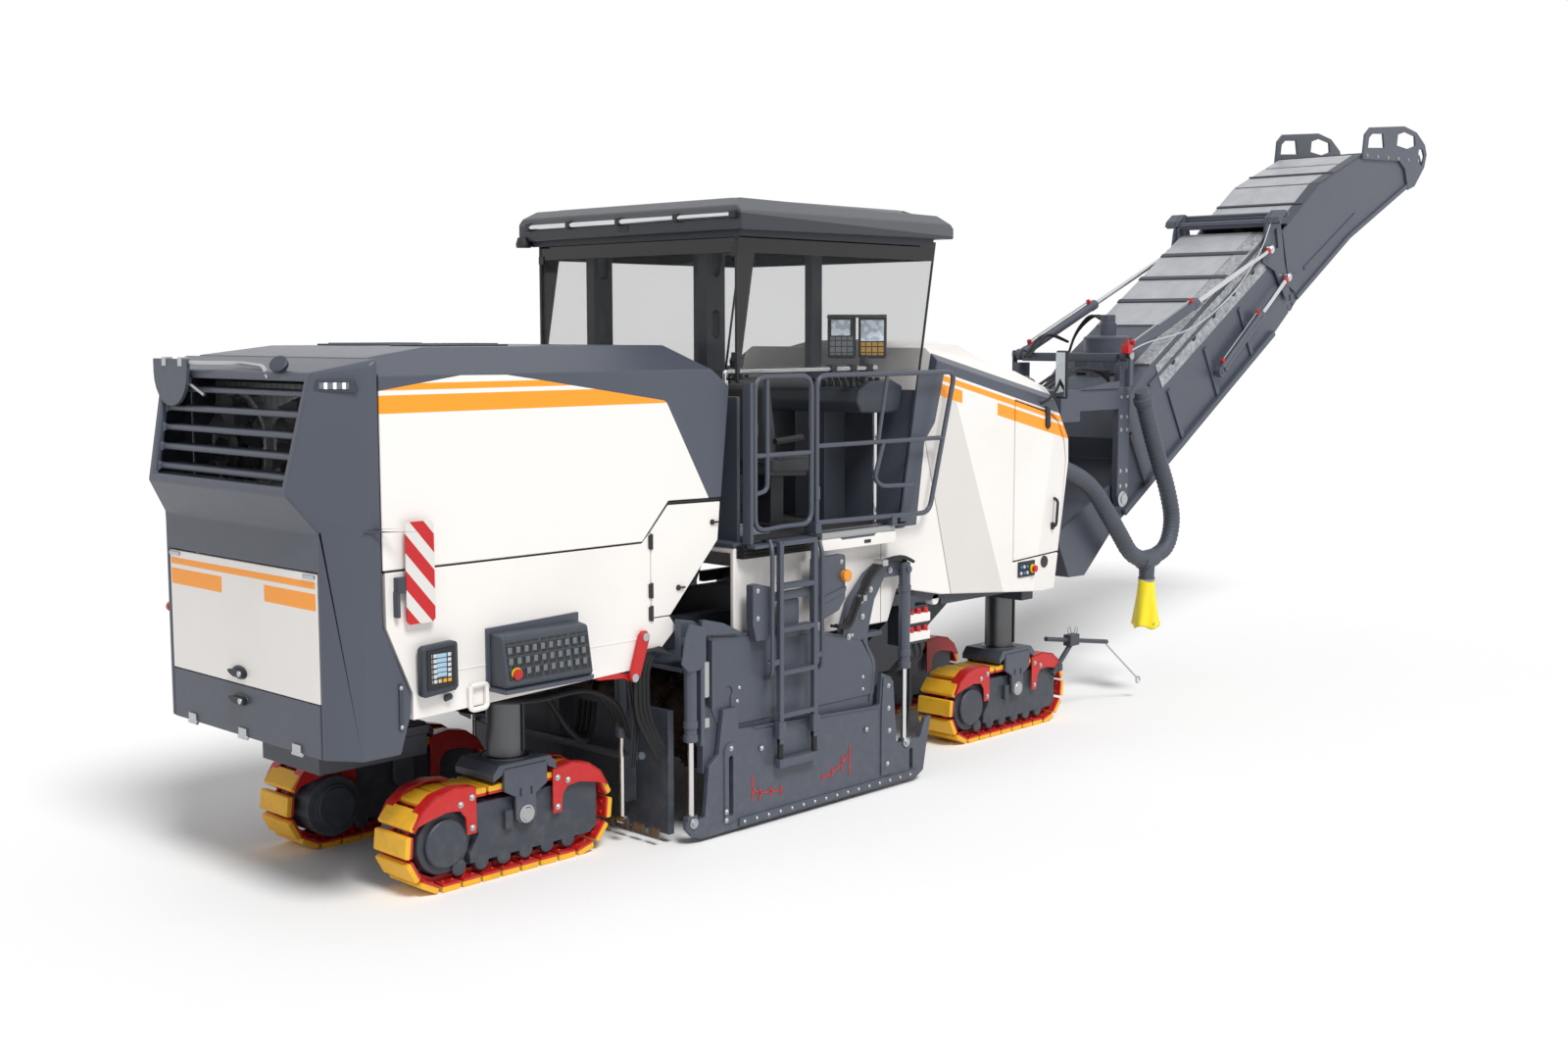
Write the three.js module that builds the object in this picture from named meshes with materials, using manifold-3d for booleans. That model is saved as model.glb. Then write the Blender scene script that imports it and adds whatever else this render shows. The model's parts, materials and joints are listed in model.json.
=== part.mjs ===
// Cold planer milling machine: a crawler road mill with a canopy and a folding discharge conveyor.
// Millimetres. X runs forward from the tail's rear face, Y to the machine's left, Z up from the ground.
import * as THREE from 'three';
import { mergeVertices } from 'three/addons/utils/BufferGeometryUtils.js';
import { ConvexGeometry } from 'three/addons/geometries/ConvexGeometry.js';
import Module from 'manifold-3d';

const wasm = await Module();
wasm.setup();

// ---- driving dimensions ----
const BODY_HALF = 1080; // centre plane to the outside of the body's side panels
const PANEL = 40; // thickness of a stiffened side panel or door
const TOUCH = 0.3; // gap between pieces that are bolted face to face
const RUN = 8; // gap between pieces that move past each other
const SEAM = 6; // open joint round a door or lid

const TAIL_BOTTOM = 975; // lower edge of the tail
const TAIL_SEAM = 285; // tail's front edge, where the hood and side panels start
const CORNER_POST = 228; // from the tail's door to the outside of the body
const DOOR_HALF = BODY_HALF - CORNER_POST; // half the width of the tail's door and flap
const DOOR_TOP = 2040; // top of the tail door
const DOOR_BOTTOM = 1290; // joint between the tail door and the flap under it
const BELT_LINE = 2045; // height of the seam between the hood and the lower panels
const HOOD_TOP = 3310; // flat top of the hood
const HOOD_CREASE = 3150; // where the hood's sides lean in
const HOOD_LEAN = 230; // how far the hood's sides lean in
const HOOD_TOP_HALF = BODY_HALF - HOOD_LEAN; // half the width of the hood's flat top
const HOOD_NOSE = 3038; // hood's front end
const HOOD_CORNER = 2960; // lower end of the hood's front edge

const RAIL_BOTTOM = 1190; // underside of the chassis rails
const RAIL_TOP = 1400; // top of the chassis rails
const RAIL_INNER = 430; // centre plane to a rail's inner face
const RAIL_WIDTH = 130; // width of a rail
const CHASSIS_REAR = 330; // rear end of the rails
const CHASSIS_FRONT = 7000; // front end of the rails

const REAR_COLUMN_X = 1437; // rear lifting columns
const REAR_COLUMN_Y = 669; // centre plane to a rear column
const FRONT_COLUMN_X = 6760; // front lifting columns
const FRONT_COLUMN_Y = 581; // centre plane to a front column
const COLUMN_R = 121; // radius of a lifting column
const COLUMN_TOP = 1380; // upper end of a column inside its sleeve
const SLEEVE_WALL = 38; // wall of a column's sleeve
const SLEEVE_BOTTOM = 1165; // lower end of a column's sleeve

const TRACK_LENGTH = 1617; // over the pads
const TRACK_HEIGHT = 598; // over the pads
const TRACK_WIDTH = 340; // width of a pad
const TRACK_BACK = 73; // how far the track's middle lies behind its column
const PAD_DEPTH = 78; // pad, its plate and the chain link under it
const FRAME_HALF = 128; // half the width of the frame inside the loop
const FORK_TOP = 722; // top of the plate that a column stands on
const FORK_PLATE = 70; // thickness of that plate
const CHEEK = 28; // thickness of a fork's cheek
const PIN_HEIGHT = 380; // height of the pin that the track rocks on
const PIN_R = 45; // radius of that pin

const DRUM_X = 3560; // milling drum's axis
const DRUM_Z = 600; // height of the drum's axis while parked
const DRUM_R = 430; // radius of the drum's tube with its tool holders
const HOUSING_REAR = 2700; // rear edge of the drum housing's side walls
const HOUSING_FRONT = 4440; // front edge of the drum housing's side walls
const HOUSING_PROUD = 20; // how far a side wall's inner face stands outside the body
const HOUSING_Y = BODY_HALF + HOUSING_PROUD; // inner face of a side wall
const DRUM_END = 100; // room between the drum's end and a side wall
const DRUM_HALF = HOUSING_Y - DRUM_END; // half the milling width
const HOUSING_WALL = 60; // thickness of a side wall
const HOUSING_ROOF = 1150; // underside of the housing's roof
const PLATE_GAP = 10; // between a side wall and the side plate outside it
const PLATE_Y = HOUSING_Y + HOUSING_WALL + PLATE_GAP; // inner face of a side plate
const PLATE = 40; // thickness of a side plate
const PLATE_LOW = 25; // height of a side plate's skid over the ground
const REAR_LIFT_X = 2560; // rear cylinder of a side plate
const FRONT_LIFT_X = 4760; // front cylinder of a side plate
const LIFT_ROD_R = 22; // rod of a side plate's cylinder
const LIFT_BARREL_R = 44; // barrel of a side plate's cylinder

const DECK_TOP = 1965; // platform floor
const DECK_REAR = 3070; // rear edge of the platform's floor
const DECK_FRONT = 4830; // foot of the sloping wall in front of the platform
const DECK_PROUD = 5; // how far the platform's edge stands outside the body
const DECK_HALF = BODY_HALF + DECK_PROUD; // centre plane to the edge of the platform
const RAIL_REACH = 95; // from the platform's edge to the guard rails
const RAIL_Y = DECK_HALF + RAIL_REACH; // centre plane to the guard rails
const RAIL_R = 19; // radius of a guard rail's tube
const RAIL_HIGH = 3095; // height of the top guard rail
const GATE_REAR = 3180; // rear tube of the swing gate
const GATE_FRONT = 3743; // front tube of the swing gate
const LADDER_GAP = 30; // between a side plate and the ladder in front of it
const LADDER_Y = PLATE_Y + PLATE + LADDER_GAP; // inner face of the ladder
const LADDER_X = 3345; // rear stile of the ladder
const LADDER_WIDTH = 345; // between the ladder's stiles
const RUNG_STEP = 300; // spacing of the rungs
const RUNG_COUNT = 5; // rungs of the ladder's rigid part

const ROOF_REAR = 3050; // rear edge of the canopy roof
const ROOF_FRONT = 5311; // front edge of the canopy roof
const ROOF_OVER = 110; // how far the canopy roof stands outside the body
const ROOF_HALF = BODY_HALF + ROOF_OVER; // half the width of the canopy roof
const ROOF_TOP = 4292; // top of the canopy roof
const ROOF_EDGE = 4070; // lower edge of the canopy roof's rim
const ROOF_UNDER = 4222; // underside of the roof's skin inside the rim
const MAST_Y = 600; // centre plane to a canopy mast
const REAR_MAST_X = 3340; // rear canopy masts
const FRONT_MAST_X = 4390; // front canopy masts
const GLASS_SET = 28; // how far the side glass stands inside the body's sides
const GLASS_Y = BODY_HALF - GLASS_SET; // centre plane to the outside of the side glass
const GLASS_REAR = 3140; // outside of the rear glass
const GLASS_FRONT = 5215; // outside of the windscreen at its lower edge
const GLASS_LOW = 3070; // lower edge of the glass
const GLASS = 12; // thickness of the glass

const NOSE = 7034; // foremost point of the front body
const NOSE_BEAM_LOW = 2400; // underside of the beam that carries the conveyor
const NOSE_BEAM_HIGH = 2590; // top of that beam
const SLEW_X = 7750; // vertical axis that the discharge conveyor slews about
const SLEW_PIN_R = 120; // radius of the slewing pin

const BELT_HALF = 515; // centre plane to a discharge conveyor's side
const LIFT_X = 8600; // axis that the conveyor is raised about
const LIFT_Z = 1860;
const FOLD_X = 11870; // axis that the upper section folds about
const FOLD_Z = 3670;
const CHEEK_GAP = 20; // between the belt box and a cheek
const CHEEK_Y = BELT_HALF + CHEEK_GAP; // inner face of the slewing frame's cheeks
const CYLINDER_SET = 69; // from the belt box to a cylinder's axis
const CYLINDER_Y = BELT_HALF + CYLINDER_SET; // centre plane to the conveyor's cylinders
const LIFT_LOW = [8620, 3180]; // x and z of the lift cylinders' lower pins
const LIFT_HIGH = [11282, 4233]; // x and z of the lift cylinders' upper pins
const FOLD_LOW = [10347, 3003]; // x and z of the fold cylinders' lower pins
const FOLD_HIGH = [11667, 3960]; // x and z of the fold cylinders' upper pins
const EYE_PIN_R = 24; // radius of the pins in the cylinders' eyes
const POST = 12; // how far a portal post stands proud of the belt box
const HORN = 12; // thickness of a horn's plate
const HOSE_R = 80; // outer radius of the dust hose
const HOSE_REACH = 200; // from the belt box to the dust hose's axis
const HOSE_Y = BELT_HALF + HOSE_REACH; // centre plane to the dust hose's axis

// ---- materials ----
const paint = (color, roughness = 0.5, metalness = 0.1) =>
  new THREE.MeshStandardMaterial({ color, roughness, metalness, flatShading: true });
const GREY = 0x565b67;
const DARK = 0x40454f;
const WHITE = 0xf6f2ee;
const RED = 0xd42323;
const YELLOW = 0xdda920;
const BRIGHT = 0xc9cdd2;
const BLACK = 0x222427;

// ---- shape helpers ----
function solidOf(geometry) {
  const bare = geometry.clone();
  bare.deleteAttribute('normal');
  bare.deleteAttribute('uv');
  const welded = mergeVertices(bare, 1e-3);
  return new wasm.Manifold(
    new wasm.Mesh({
      numProp: 3,
      vertProperties: new Float32Array(welded.attributes.position.array),
      triVerts: new Uint32Array(welded.index.array),
    })
  );
}

// A block between two values on each axis, given in either order.
function block([xa, xb], [ya, yb], [za, zb]) {
  const box = new THREE.BoxGeometry(Math.abs(xb - xa), Math.abs(yb - ya), Math.abs(zb - za));
  return solidOf(box.translate((xa + xb) / 2, (ya + yb) / 2, (za + zb) / 2));
}

function extruded(points, depth) {
  const outline = new THREE.Shape(points.map(([a, b]) => new THREE.Vector2(a, b)));
  return new THREE.ExtrudeGeometry(outline, { depth, bevelEnabled: false });
}

// An outline of x and z points, as thick as the two y values say.
function sidePlate(points, [ya, yb]) {
  const flat = extruded(points, Math.abs(yb - ya)).rotateX(Math.PI / 2);
  return solidOf(flat.translate(0, Math.max(ya, yb), 0));
}

// An outline of x and y points, from one height to another.
function floorPlate(points, [za, zb]) {
  return solidOf(extruded(points, zb - za).translate(0, 0, za));
}

// A round bar between two points.
function bar(from, to, radius, sides = 12) {
  const start = new THREE.Vector3(...from);
  const along = new THREE.Vector3(...to).sub(start);
  const round = new THREE.CylinderGeometry(radius, radius, along.length(), sides);
  const turn = new THREE.Quaternion().setFromUnitVectors(
    new THREE.Vector3(0, 1, 0),
    along.clone().normalize()
  );
  const middle = start.addScaledVector(along, 0.5);
  return solidOf(round.applyQuaternion(turn).translate(middle.x, middle.y, middle.z));
}

// A tube frame: bars along each path of points, each run on a little so that corners close.
function tubeFrame(paths, radius, sides = 6) {
  const pieces = [];
  for (const path of paths) {
    for (let i = 1; i < path.length; i += 1) {
      const start = new THREE.Vector3(...path[i - 1]);
      const end = new THREE.Vector3(...path[i]);
      const past = end.clone().sub(start).setLength(radius * 0.6);
      if (i > 1) start.sub(past);
      if (i < path.length - 1) end.add(past);
      pieces.push(bar(start.toArray(), end.toArray(), radius, sides));
    }
  }
  return joined(...pieces);
}

const joined = (...solids) => solids.reduce((all, next) => all.add(next));
const cutFrom = (solid, ...tools) => tools.reduce((rest, tool) => rest.subtract(tool), solid);
const hull = (points) => solidOf(new ConvexGeometry(points.map((p) => new THREE.Vector3(...p))));
const bothSides = (make) => joined(make(1), make(-1));
const along = (from, to, k) => [from[0] + (to[0] - from[0]) * k, from[1] + (to[1] - from[1]) * k];
const mirrored = (points) => points.flatMap(([x, y, z]) => [[x, y, z], [x, -y, z]]);

const machine = new THREE.Group();

function addPiece(name, solid, material) {
  const { numProp, vertProperties, triVerts } = solid.getMesh();
  const geometry = new THREE.BufferGeometry();
  const place = new Float32Array((vertProperties.length / numProp) * 3);
  for (let i = 0; i < place.length / 3; i += 1) {
    for (let k = 0; k < 3; k += 1) place[3 * i + k] = vertProperties[numProp * i + k];
  }
  geometry.setAttribute('position', new THREE.BufferAttribute(place, 3));
  geometry.setIndex(new THREE.BufferAttribute(new Uint32Array(triVerts), 1));
  geometry.computeVertexNormals();
  const mesh = new THREE.Mesh(geometry, material);
  mesh.name = name;
  machine.add(mesh);
  return mesh;
}

// ---- chassis ----
const columns = {
  rear_right: [REAR_COLUMN_X, -REAR_COLUMN_Y],
  rear_left: [REAR_COLUMN_X, REAR_COLUMN_Y],
  front_right: [FRONT_COLUMN_X, -FRONT_COLUMN_Y],
  front_left: [FRONT_COLUMN_X, FRONT_COLUMN_Y],
};
const SLEEVE_BORE = COLUMN_R + RUN;
const RAIL_OUTER = RAIL_INNER + RAIL_WIDTH;

// Two box rails, cross members that reach the side panels, and a sleeve for each lifting column.
function chassisFrame() {
  const height = [RAIL_BOTTOM, RAIL_TOP];
  const rails = bothSides((s) =>
    block([CHASSIS_REAR, CHASSIS_FRONT], [s * RAIL_INNER, s * RAIL_OUTER], height)
  );
  const reach = BODY_HALF - PANEL - TOUCH;
  const rear = block([CHASSIS_REAR, CHASSIS_REAR + 110], [-reach, reach], [RAIL_BOTTOM + 60, RAIL_TOP]);
  const middle = block([2180, 2300], [-reach, reach], [RAIL_BOTTOM + 60, RAIL_TOP]);
  const behindConveyor = block([4960, 5070], [-reach, reach], [RAIL_BOTTOM + 90, RAIL_TOP]);
  const front = block([6890, 7000], [-RAIL_OUTER, RAIL_OUTER], height);
  let frame = joined(rails, rear, middle, behindConveyor, front, batteryBoxes());
  for (const [x, y] of Object.values(columns)) {
    frame = frame.add(bar([x, y, SLEEVE_BOTTOM], [x, y, RAIL_TOP], SLEEVE_BORE + SLEEVE_WALL, 16));
  }
  for (const [x, y] of Object.values(columns)) {
    frame = frame.subtract(bar([x, y, SLEEVE_BOTTOM - 10], [x, y, RAIL_TOP + 10], SLEEVE_BORE, 20));
  }
  return frame;
}

const ENGINE = { x: [1000, 2350], half: 420, top: 2620 };
addPiece(
  'engine_block',
  block(ENGINE.x, [-ENGINE.half, ENGINE.half], [RAIL_TOP + 20, ENGINE.top]),
  paint(DARK, 0.6)
);

// Battery and tool boxes hung between the rear tracks.
function batteryBoxes() {
  const top = 930;
  const lower = block([300, 1080], [-330, 330], [735, top - 60]);
  const lid = block([290, 1090], [-340, 340], [top - 60, top]);
  const hangers = bothSides((s) => block([380, 430], [s * 250, s * 300], [top - 5, RAIL_BOTTOM + 70]));
  return joined(lower, lid, hangers);
}
addPiece('chassis_frame', chassisFrame(), paint(DARK));

// ---- track units ----
const LOOP_R = TRACK_HEIGHT / 2; // radius of the loop's ends over the pads
const LOOP_REACH = TRACK_LENGTH / 2 - LOOP_R; // middle of the loop to the centre of an end

// A slot shape with round ends in x and z, centred on the loop.
function slotShape(radius, half, steps = 8) {
  const points = [];
  for (const end of [1, -1]) {
    for (let i = 0; i <= steps; i += 1) {
      const a = -Math.PI / 2 + (Math.PI * i) / steps + (end < 0 ? Math.PI : 0);
      points.push([-TRACK_BACK + end * LOOP_REACH + radius * Math.cos(a), LOOP_R + radius * Math.sin(a)]);
    }
  }
  return sidePlate(points, [-half, half]);
}

function trackLoop() {
  return slotShape(LOOP_R, TRACK_WIDTH / 2).subtract(slotShape(LOOP_R - PAD_DEPTH, TRACK_WIDTH));
}

const CHEEK_IN = TRACK_WIDTH / 2 + RUN;
const GUARD_TOP = TRACK_HEIGHT + 42;

// The beam with its rollers and end wheels, the drive's housing on the inner side and the end guards.
function trackFrame(side) {
  const beam = slotShape(LOOP_R - PAD_DEPTH - RUN, FRAME_HALF);
  const drive = bar(
    [-TRACK_BACK - LOOP_REACH, -side * FRAME_HALF, LOOP_R],
    [-TRACK_BACK - LOOP_REACH, -side * 300, LOOP_R],
    LOOP_R - PAD_DEPTH - 12,
    20
  );
  const outer = side * FRAME_HALF;
  const guard = (x0, x1, slope) => {
    const arm = block([(x0 + x1) / 2 - 45, (x0 + x1) / 2 + 45], [outer, side * CHEEK_IN], [330, 430]);
    const skirt = sidePlate(
      [
        [x0, 470],
        [x0 + slope, GUARD_TOP],
        [x1 + slope, GUARD_TOP],
        [x1, 470],
        [(x0 + x1) / 2 + 60, 320],
        [(x0 + x1) / 2 - 60, 320],
      ],
      [side * CHEEK_IN, side * (CHEEK_IN + 14)]
    );
    const cap = block(
      [x0 + slope, x1 + slope],
      [-side * (TRACK_WIDTH / 2 - 10), side * (CHEEK_IN + 14)],
      [TRACK_HEIGHT + RUN, GUARD_TOP]
    );
    return joined(arm, skirt, cap);
  };
  const back = guard(-TRACK_BACK - LOOP_REACH - 60, -TRACK_BACK - LOOP_REACH + 190, 20);
  const fore = guard(-TRACK_BACK + LOOP_REACH - 190, -TRACK_BACK + LOOP_REACH + 60, -20);
  const pinHole = bar([0, -400, PIN_HEIGHT], [0, 400, PIN_HEIGHT], PIN_R + 3, 12);
  return cutFrom(joined(beam, drive, back, fore), pinHole);
}

// A lifting column on the plate and two cheeks that straddle its track, with the rocking pin.
function columnFork() {
  const column = bar([0, 0, FORK_TOP - 5], [0, 0, COLUMN_TOP], COLUMN_R, 20);
  const wide = CHEEK_IN + CHEEK;
  const plate = block([-190, 190], [-wide, wide], [FORK_TOP - FORK_PLATE, FORK_TOP]);
  const cheek = [
    [-190, FORK_TOP],
    [190, FORK_TOP],
    [190, 560],
    [95, 330],
    [-95, 330],
    [-190, 560],
  ];
  const cheeks = bothSides((s) => sidePlate(cheek, [s * CHEEK_IN, s * wide]));
  const pin = bar([0, -wide, PIN_HEIGHT], [0, wide, PIN_HEIGHT], PIN_R, 12);
  return joined(column, plate, cheeks, pin);
}

for (const [place, [x, y]] of Object.entries(columns)) {
  const side = Math.sign(y);
  addPiece(`${place}_track_loop`, trackLoop(), paint(YELLOW)).position.set(x, y, 0);
  addPiece(`${place}_track_frame`, trackFrame(side), paint(DARK)).position.set(x, y, 0);
  addPiece(`${place}_column_fork`, columnFork(), paint(GREY)).position.set(x, y, 0);
}

// ---- milling drum and its housing ----
// Roof, front wall and two side walls over the drum, with the side plates' cylinder barrels.
function drumHousing() {
  const wall = [
    [HOUSING_REAR, 450],
    [HOUSING_REAR, 1400],
    [3800, 1290],
    [4330, 1165],
    [HOUSING_FRONT, 1000],
    [HOUSING_FRONT, 450],
  ];
  const walls = bothSides((s) => sidePlate(wall, [s * HOUSING_Y, s * (HOUSING_Y + HOUSING_WALL)]));
  const reach = HOUSING_Y + 10;
  const roof = block([2560, 4600], [-reach, reach], [HOUSING_ROOF, HOUSING_ROOF + 36]);
  const front = block([HOUSING_FRONT - 30, HOUSING_FRONT], [-reach, reach], [330, HOUSING_ROOF]);
  const intake = block([HOUSING_FRONT - 60, HOUSING_FRONT + 30], [-395, 395], [300, 760]);
  const bearings = bothSides((s) =>
    bar([DRUM_X, s * (HOUSING_Y + 20), DRUM_Z], [DRUM_X, s * (DRUM_HALF + RUN), DRUM_Z], 190, 16)
  );
  const lifts = bothSides((s) => joined(rearLift(s), frontLift(s)));
  return cutFrom(joined(walls, roof, front, bearings, lifts), intake);
}

const LIFT_Y = PLATE_Y + PLATE / 2;

function barrel(x, s, low, high) {
  const tube = bar([x, s * LIFT_Y, low], [x, s * LIFT_Y, high], LIFT_BARREL_R, 10);
  return tube.subtract(bar([x, s * LIFT_Y, low - 10], [x, s * LIFT_Y, high - 50], LIFT_ROD_R + 6, 10));
}

function rearLift(s) {
  const ear = sidePlate(
    [
      [REAR_LIFT_X - 60, 1250],
      [REAR_LIFT_X - 60, 1520],
      [REAR_LIFT_X + 60, 1500],
      [HOUSING_REAR + 90, 1390],
      [HOUSING_REAR + 90, 1180],
      [HOUSING_REAR - 20, 1250],
    ],
    [s * (HOUSING_Y + 4), s * (PLATE_Y - RUN)]
  );
  const across = [s * (PLATE_Y - RUN - 2), s * LIFT_Y];
  const eye = block([REAR_LIFT_X - 45, REAR_LIFT_X + 45], across, [1352, 1400]);
  return joined(ear, eye, barrel(REAR_LIFT_X, s, 700, 1400));
}

function frontLift(s) {
  const arch = sidePlate(
    [
      [4070, 1150],
      [4197, 1471],
      [4372, 1639],
      [4491, 1700],
      [FRONT_LIFT_X + 60, 1700],
      [FRONT_LIFT_X + 60, 1590],
      [4560, 1590],
      [4450, 1440],
      [4363, 1150],
    ],
    [s * (HOUSING_Y + 4), s * (PLATE_Y - RUN)]
  );
  const across = [s * (PLATE_Y - RUN - 2), s * LIFT_Y];
  const eye = block([FRONT_LIFT_X - 45, FRONT_LIFT_X + 45], across, [1642, 1690]);
  return joined(arch, eye, barrel(FRONT_LIFT_X, s, 890, 1690));
}
addPiece('drum_housing', drumHousing(), paint(GREY));

// The drum turns on the bearing drums at both ends of its housing.
function millingDrum() {
  const profile = [
    [0, -DRUM_HALF + 20],
    [DRUM_R - 40, -DRUM_HALF + 20],
    [DRUM_R, -DRUM_HALF + 60],
    [DRUM_R, DRUM_HALF - 60],
    [DRUM_R - 40, DRUM_HALF - 20],
    [0, DRUM_HALF - 20],
  ];
  const drum = new THREE.LatheGeometry(profile.map(([r, h]) => new THREE.Vector2(r, h)), 24);
  return solidOf(drum.translate(DRUM_X, 0, DRUM_Z));
}
addPiece('milling_drum', millingDrum(), paint(0x6a655e, 0.6, 0.6));

// A side plate that floats on the ground beside the drum, with the rods that lift it.
function sidePlateWithRods(s) {
  const plate = sidePlate(
    [
      [2500, 110],
      [2560, 50],
      [2640, PLATE_LOW],
      [4890, PLATE_LOW],
      [4975, 70],
      [5065, 486],
      [4990, 480],
      [4930, 335],
      [4625, 335],
      [4596, 851],
      [4474, 900],
      [4450, 650],
      [3000, 720],
      [2975, 880],
      [2840, 880],
      [2800, 560],
      [2700, 500],
      [2670, 170],
      [2500, 170],
    ],
    [s * PLATE_Y, s * (PLATE_Y + PLATE)]
  );
  const rod = (x, low, high) => bar([x, s * LIFT_Y, low], [x, s * LIFT_Y, high], LIFT_ROD_R - 2, 8);
  return joined(plate, rod(REAR_LIFT_X, 130, 1080), rod(FRONT_LIFT_X, 300, 1360));
}
addPiece('right_side_plate', sidePlateWithRods(-1), paint(GREY));
addPiece('left_side_plate', sidePlateWithRods(1), paint(GREY));

// The blade behind the drum that holds back the milled material.
const SCRAPER_X = 2470;
function rearScraper() {
  const blade = block([SCRAPER_X, SCRAPER_X + 50], [-1070, 1070], [60, 900]);
  const rib = (y) => block([SCRAPER_X - 90, SCRAPER_X + 1], [y - 40, y + 40], [240, 880]);
  const ribs = [-700, 0, 700].map(rib);
  return joined(blade, ...ribs);
}
addPiece('rear_scraper', rearScraper(), paint(DARK));

// ---- tail ----
// Upper part bulges rearward round the grille, lower part runs straight down.
function tailShape(inset) {
  const half = BODY_HALF - inset;
  const front = TAIL_SEAM + (inset ? 60 : 0);
  const upper = mirrored([
    [inset, 890 - inset, 2271 + inset * 0.4],
    [210, half, 2271 + inset * 0.4],
    [front, half, 2271 + inset * 0.4],
    [inset - 150, 800 - inset, 2490],
    [240, half, 2490],
    [inset - 5, 855 - inset, 3172 - inset],
    [240, half, 3215 - inset],
    [front, half, 3250 - inset],
  ]);
  const lower = mirrored([
    [inset, 890 - inset, TAIL_BOTTOM - (inset ? 60 : 0)],
    [130, half, TAIL_BOTTOM - (inset ? 60 : 0)],
    [front, half, TAIL_BOTTOM - (inset ? 60 : 0)],
    [inset, 890 - inset, 2280 + inset * 0.4],
    [210, half, 2280 + inset * 0.4],
    [front, half, 2280 + inset * 0.4],
  ]);
  return joined(hull(upper), hull(lower));
}

function tailHousing() {
  const shell = tailShape(0).subtract(tailShape(PANEL));
  const half = DOOR_HALF + SEAM;
  const doorway = block([-200, 60], [-half, half], [TAIL_BOTTOM - 50, DOOR_TOP + SEAM]);
  const window = sidePlateFromRear(
    [
      [-745, 2535],
      [745, 2535],
      [800, 3120],
      [-800, 3120],
    ],
    [-300, 130]
  );
  const corner = bothSides((s) =>
    sidePlate(
      [
        [TAIL_SEAM - 1, TAIL_BOTTOM],
        [TAIL_SEAM - 1, 1720],
        [292, 1720],
        [461, 1319],
        [458, 1202],
        [387, TAIL_BOTTOM],
      ],
      [s * (BODY_HALF - PANEL), s * BODY_HALF]
    )
  );
  return cutFrom(joined(shell, corner), doorway, window);
}

// An outline of y and z points, from one x to another.
function sidePlateFromRear(points, [xa, xb]) {
  const flat = extruded(points, xb - xa).rotateX(Math.PI / 2).rotateZ(Math.PI / 2);
  return solidOf(flat.translate(xa, 0, 0));
}

// Five slats across the opening, let into the cheeks at both ends.
const GRILLE_HALF = 812;
function tailGrille() {
  const slatAt = (z) => -150 + 40 + ((z - 2490) / 680) * 150;
  const slats = [];
  for (let i = 0; i < 5; i += 1) {
    const z = 2560 + 118 * i;
    const x = slatAt(z);
    slats.push(block([x, x + 150], [-GRILLE_HALF, GRILLE_HALF], [z, z + 36]));
  }
  return joined(...slats);
}
addPiece('tail_housing', tailHousing().add(tailGrille()), paint(GREY));

// Cooler core with the shrouds of its two fans.
function coolerPack() {
  const core = block([300, 420], [-760, 760], [2250, 3090]);
  const shroud = bothSides((s) => bar([230, s * 370, 2720], [301, s * 370, 2720], 330, 16));
  const wells = bothSides((s) => bar([200, s * 370, 2720], [290, s * 370, 2720], 300, 16));
  const hubs = bothSides((s) => bar([250, s * 370, 2720], [301, s * 370, 2720], 75, 8));
  const feet = bothSides((s) => block([300, 420], [s * 600, s * 700], [2050, 2251]));
  return joined(core, shroud, feet).subtract(wells).add(hubs);
}
addPiece('cooler_pack', coolerPack(), paint(BRIGHT, 0.6, 0.3));

const DOOR_SKIN = 36;
addPiece(
  'tail_door',
  block([0, DOOR_SKIN], [-DOOR_HALF, DOOR_HALF], [DOOR_BOTTOM + SEAM / 2, DOOR_TOP]),
  paint(WHITE)
);
addPiece(
  'tail_flap',
  block([0, DOOR_SKIN], [-DOOR_HALF, DOOR_HALF], [TAIL_BOTTOM, DOOR_BOTTOM - SEAM / 2]),
  paint(GREY)
);

// ---- hood and lower panels ----
// Side outline of the hood, drawn in by an inset on the closed edges and run out at the open ones.
function hoodShape(inset) {
  const out = inset ? 60 : 0;
  const side = sidePlate(
    [
      [TAIL_SEAM + SEAM - out, BELT_LINE + SEAM - out],
      [2250 - inset + out, BELT_LINE + SEAM - out],
      [2480 - inset, 2300 - out],
      [HOOD_CORNER - inset, 2292 - out],
      [HOOD_NOSE - inset, 3037 - inset * 0.5],
      [2650 - inset * 0.3, HOOD_TOP - inset],
      [753, HOOD_TOP - inset],
      [TAIL_SEAM + SEAM - out, 3252 - inset - (inset ? 8 : 0)],
    ],
    [-BODY_HALF + inset, BODY_HALF - inset]
  );
  const lean = (HOOD_TOP - HOOD_CREASE) / (BODY_HALF - HOOD_TOP_HALF);
  const chamfer = bothSides((s) =>
    sidePlateFromRear(
      [
        [s * (BODY_HALF + 100), HOOD_CREASE - inset - 100 * lean],
        [s * (HOOD_TOP_HALF - 100), HOOD_TOP - inset + 100 * lean],
        [s * (BODY_HALF + 100), HOOD_TOP + 200],
      ],
      [TAIL_SEAM - 200, HOOD_NOSE + 200]
    )
  );
  return side.subtract(chamfer);
}
addPiece('hood', hoodShape(0).subtract(hoodShape(PANEL)), paint(WHITE));

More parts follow.
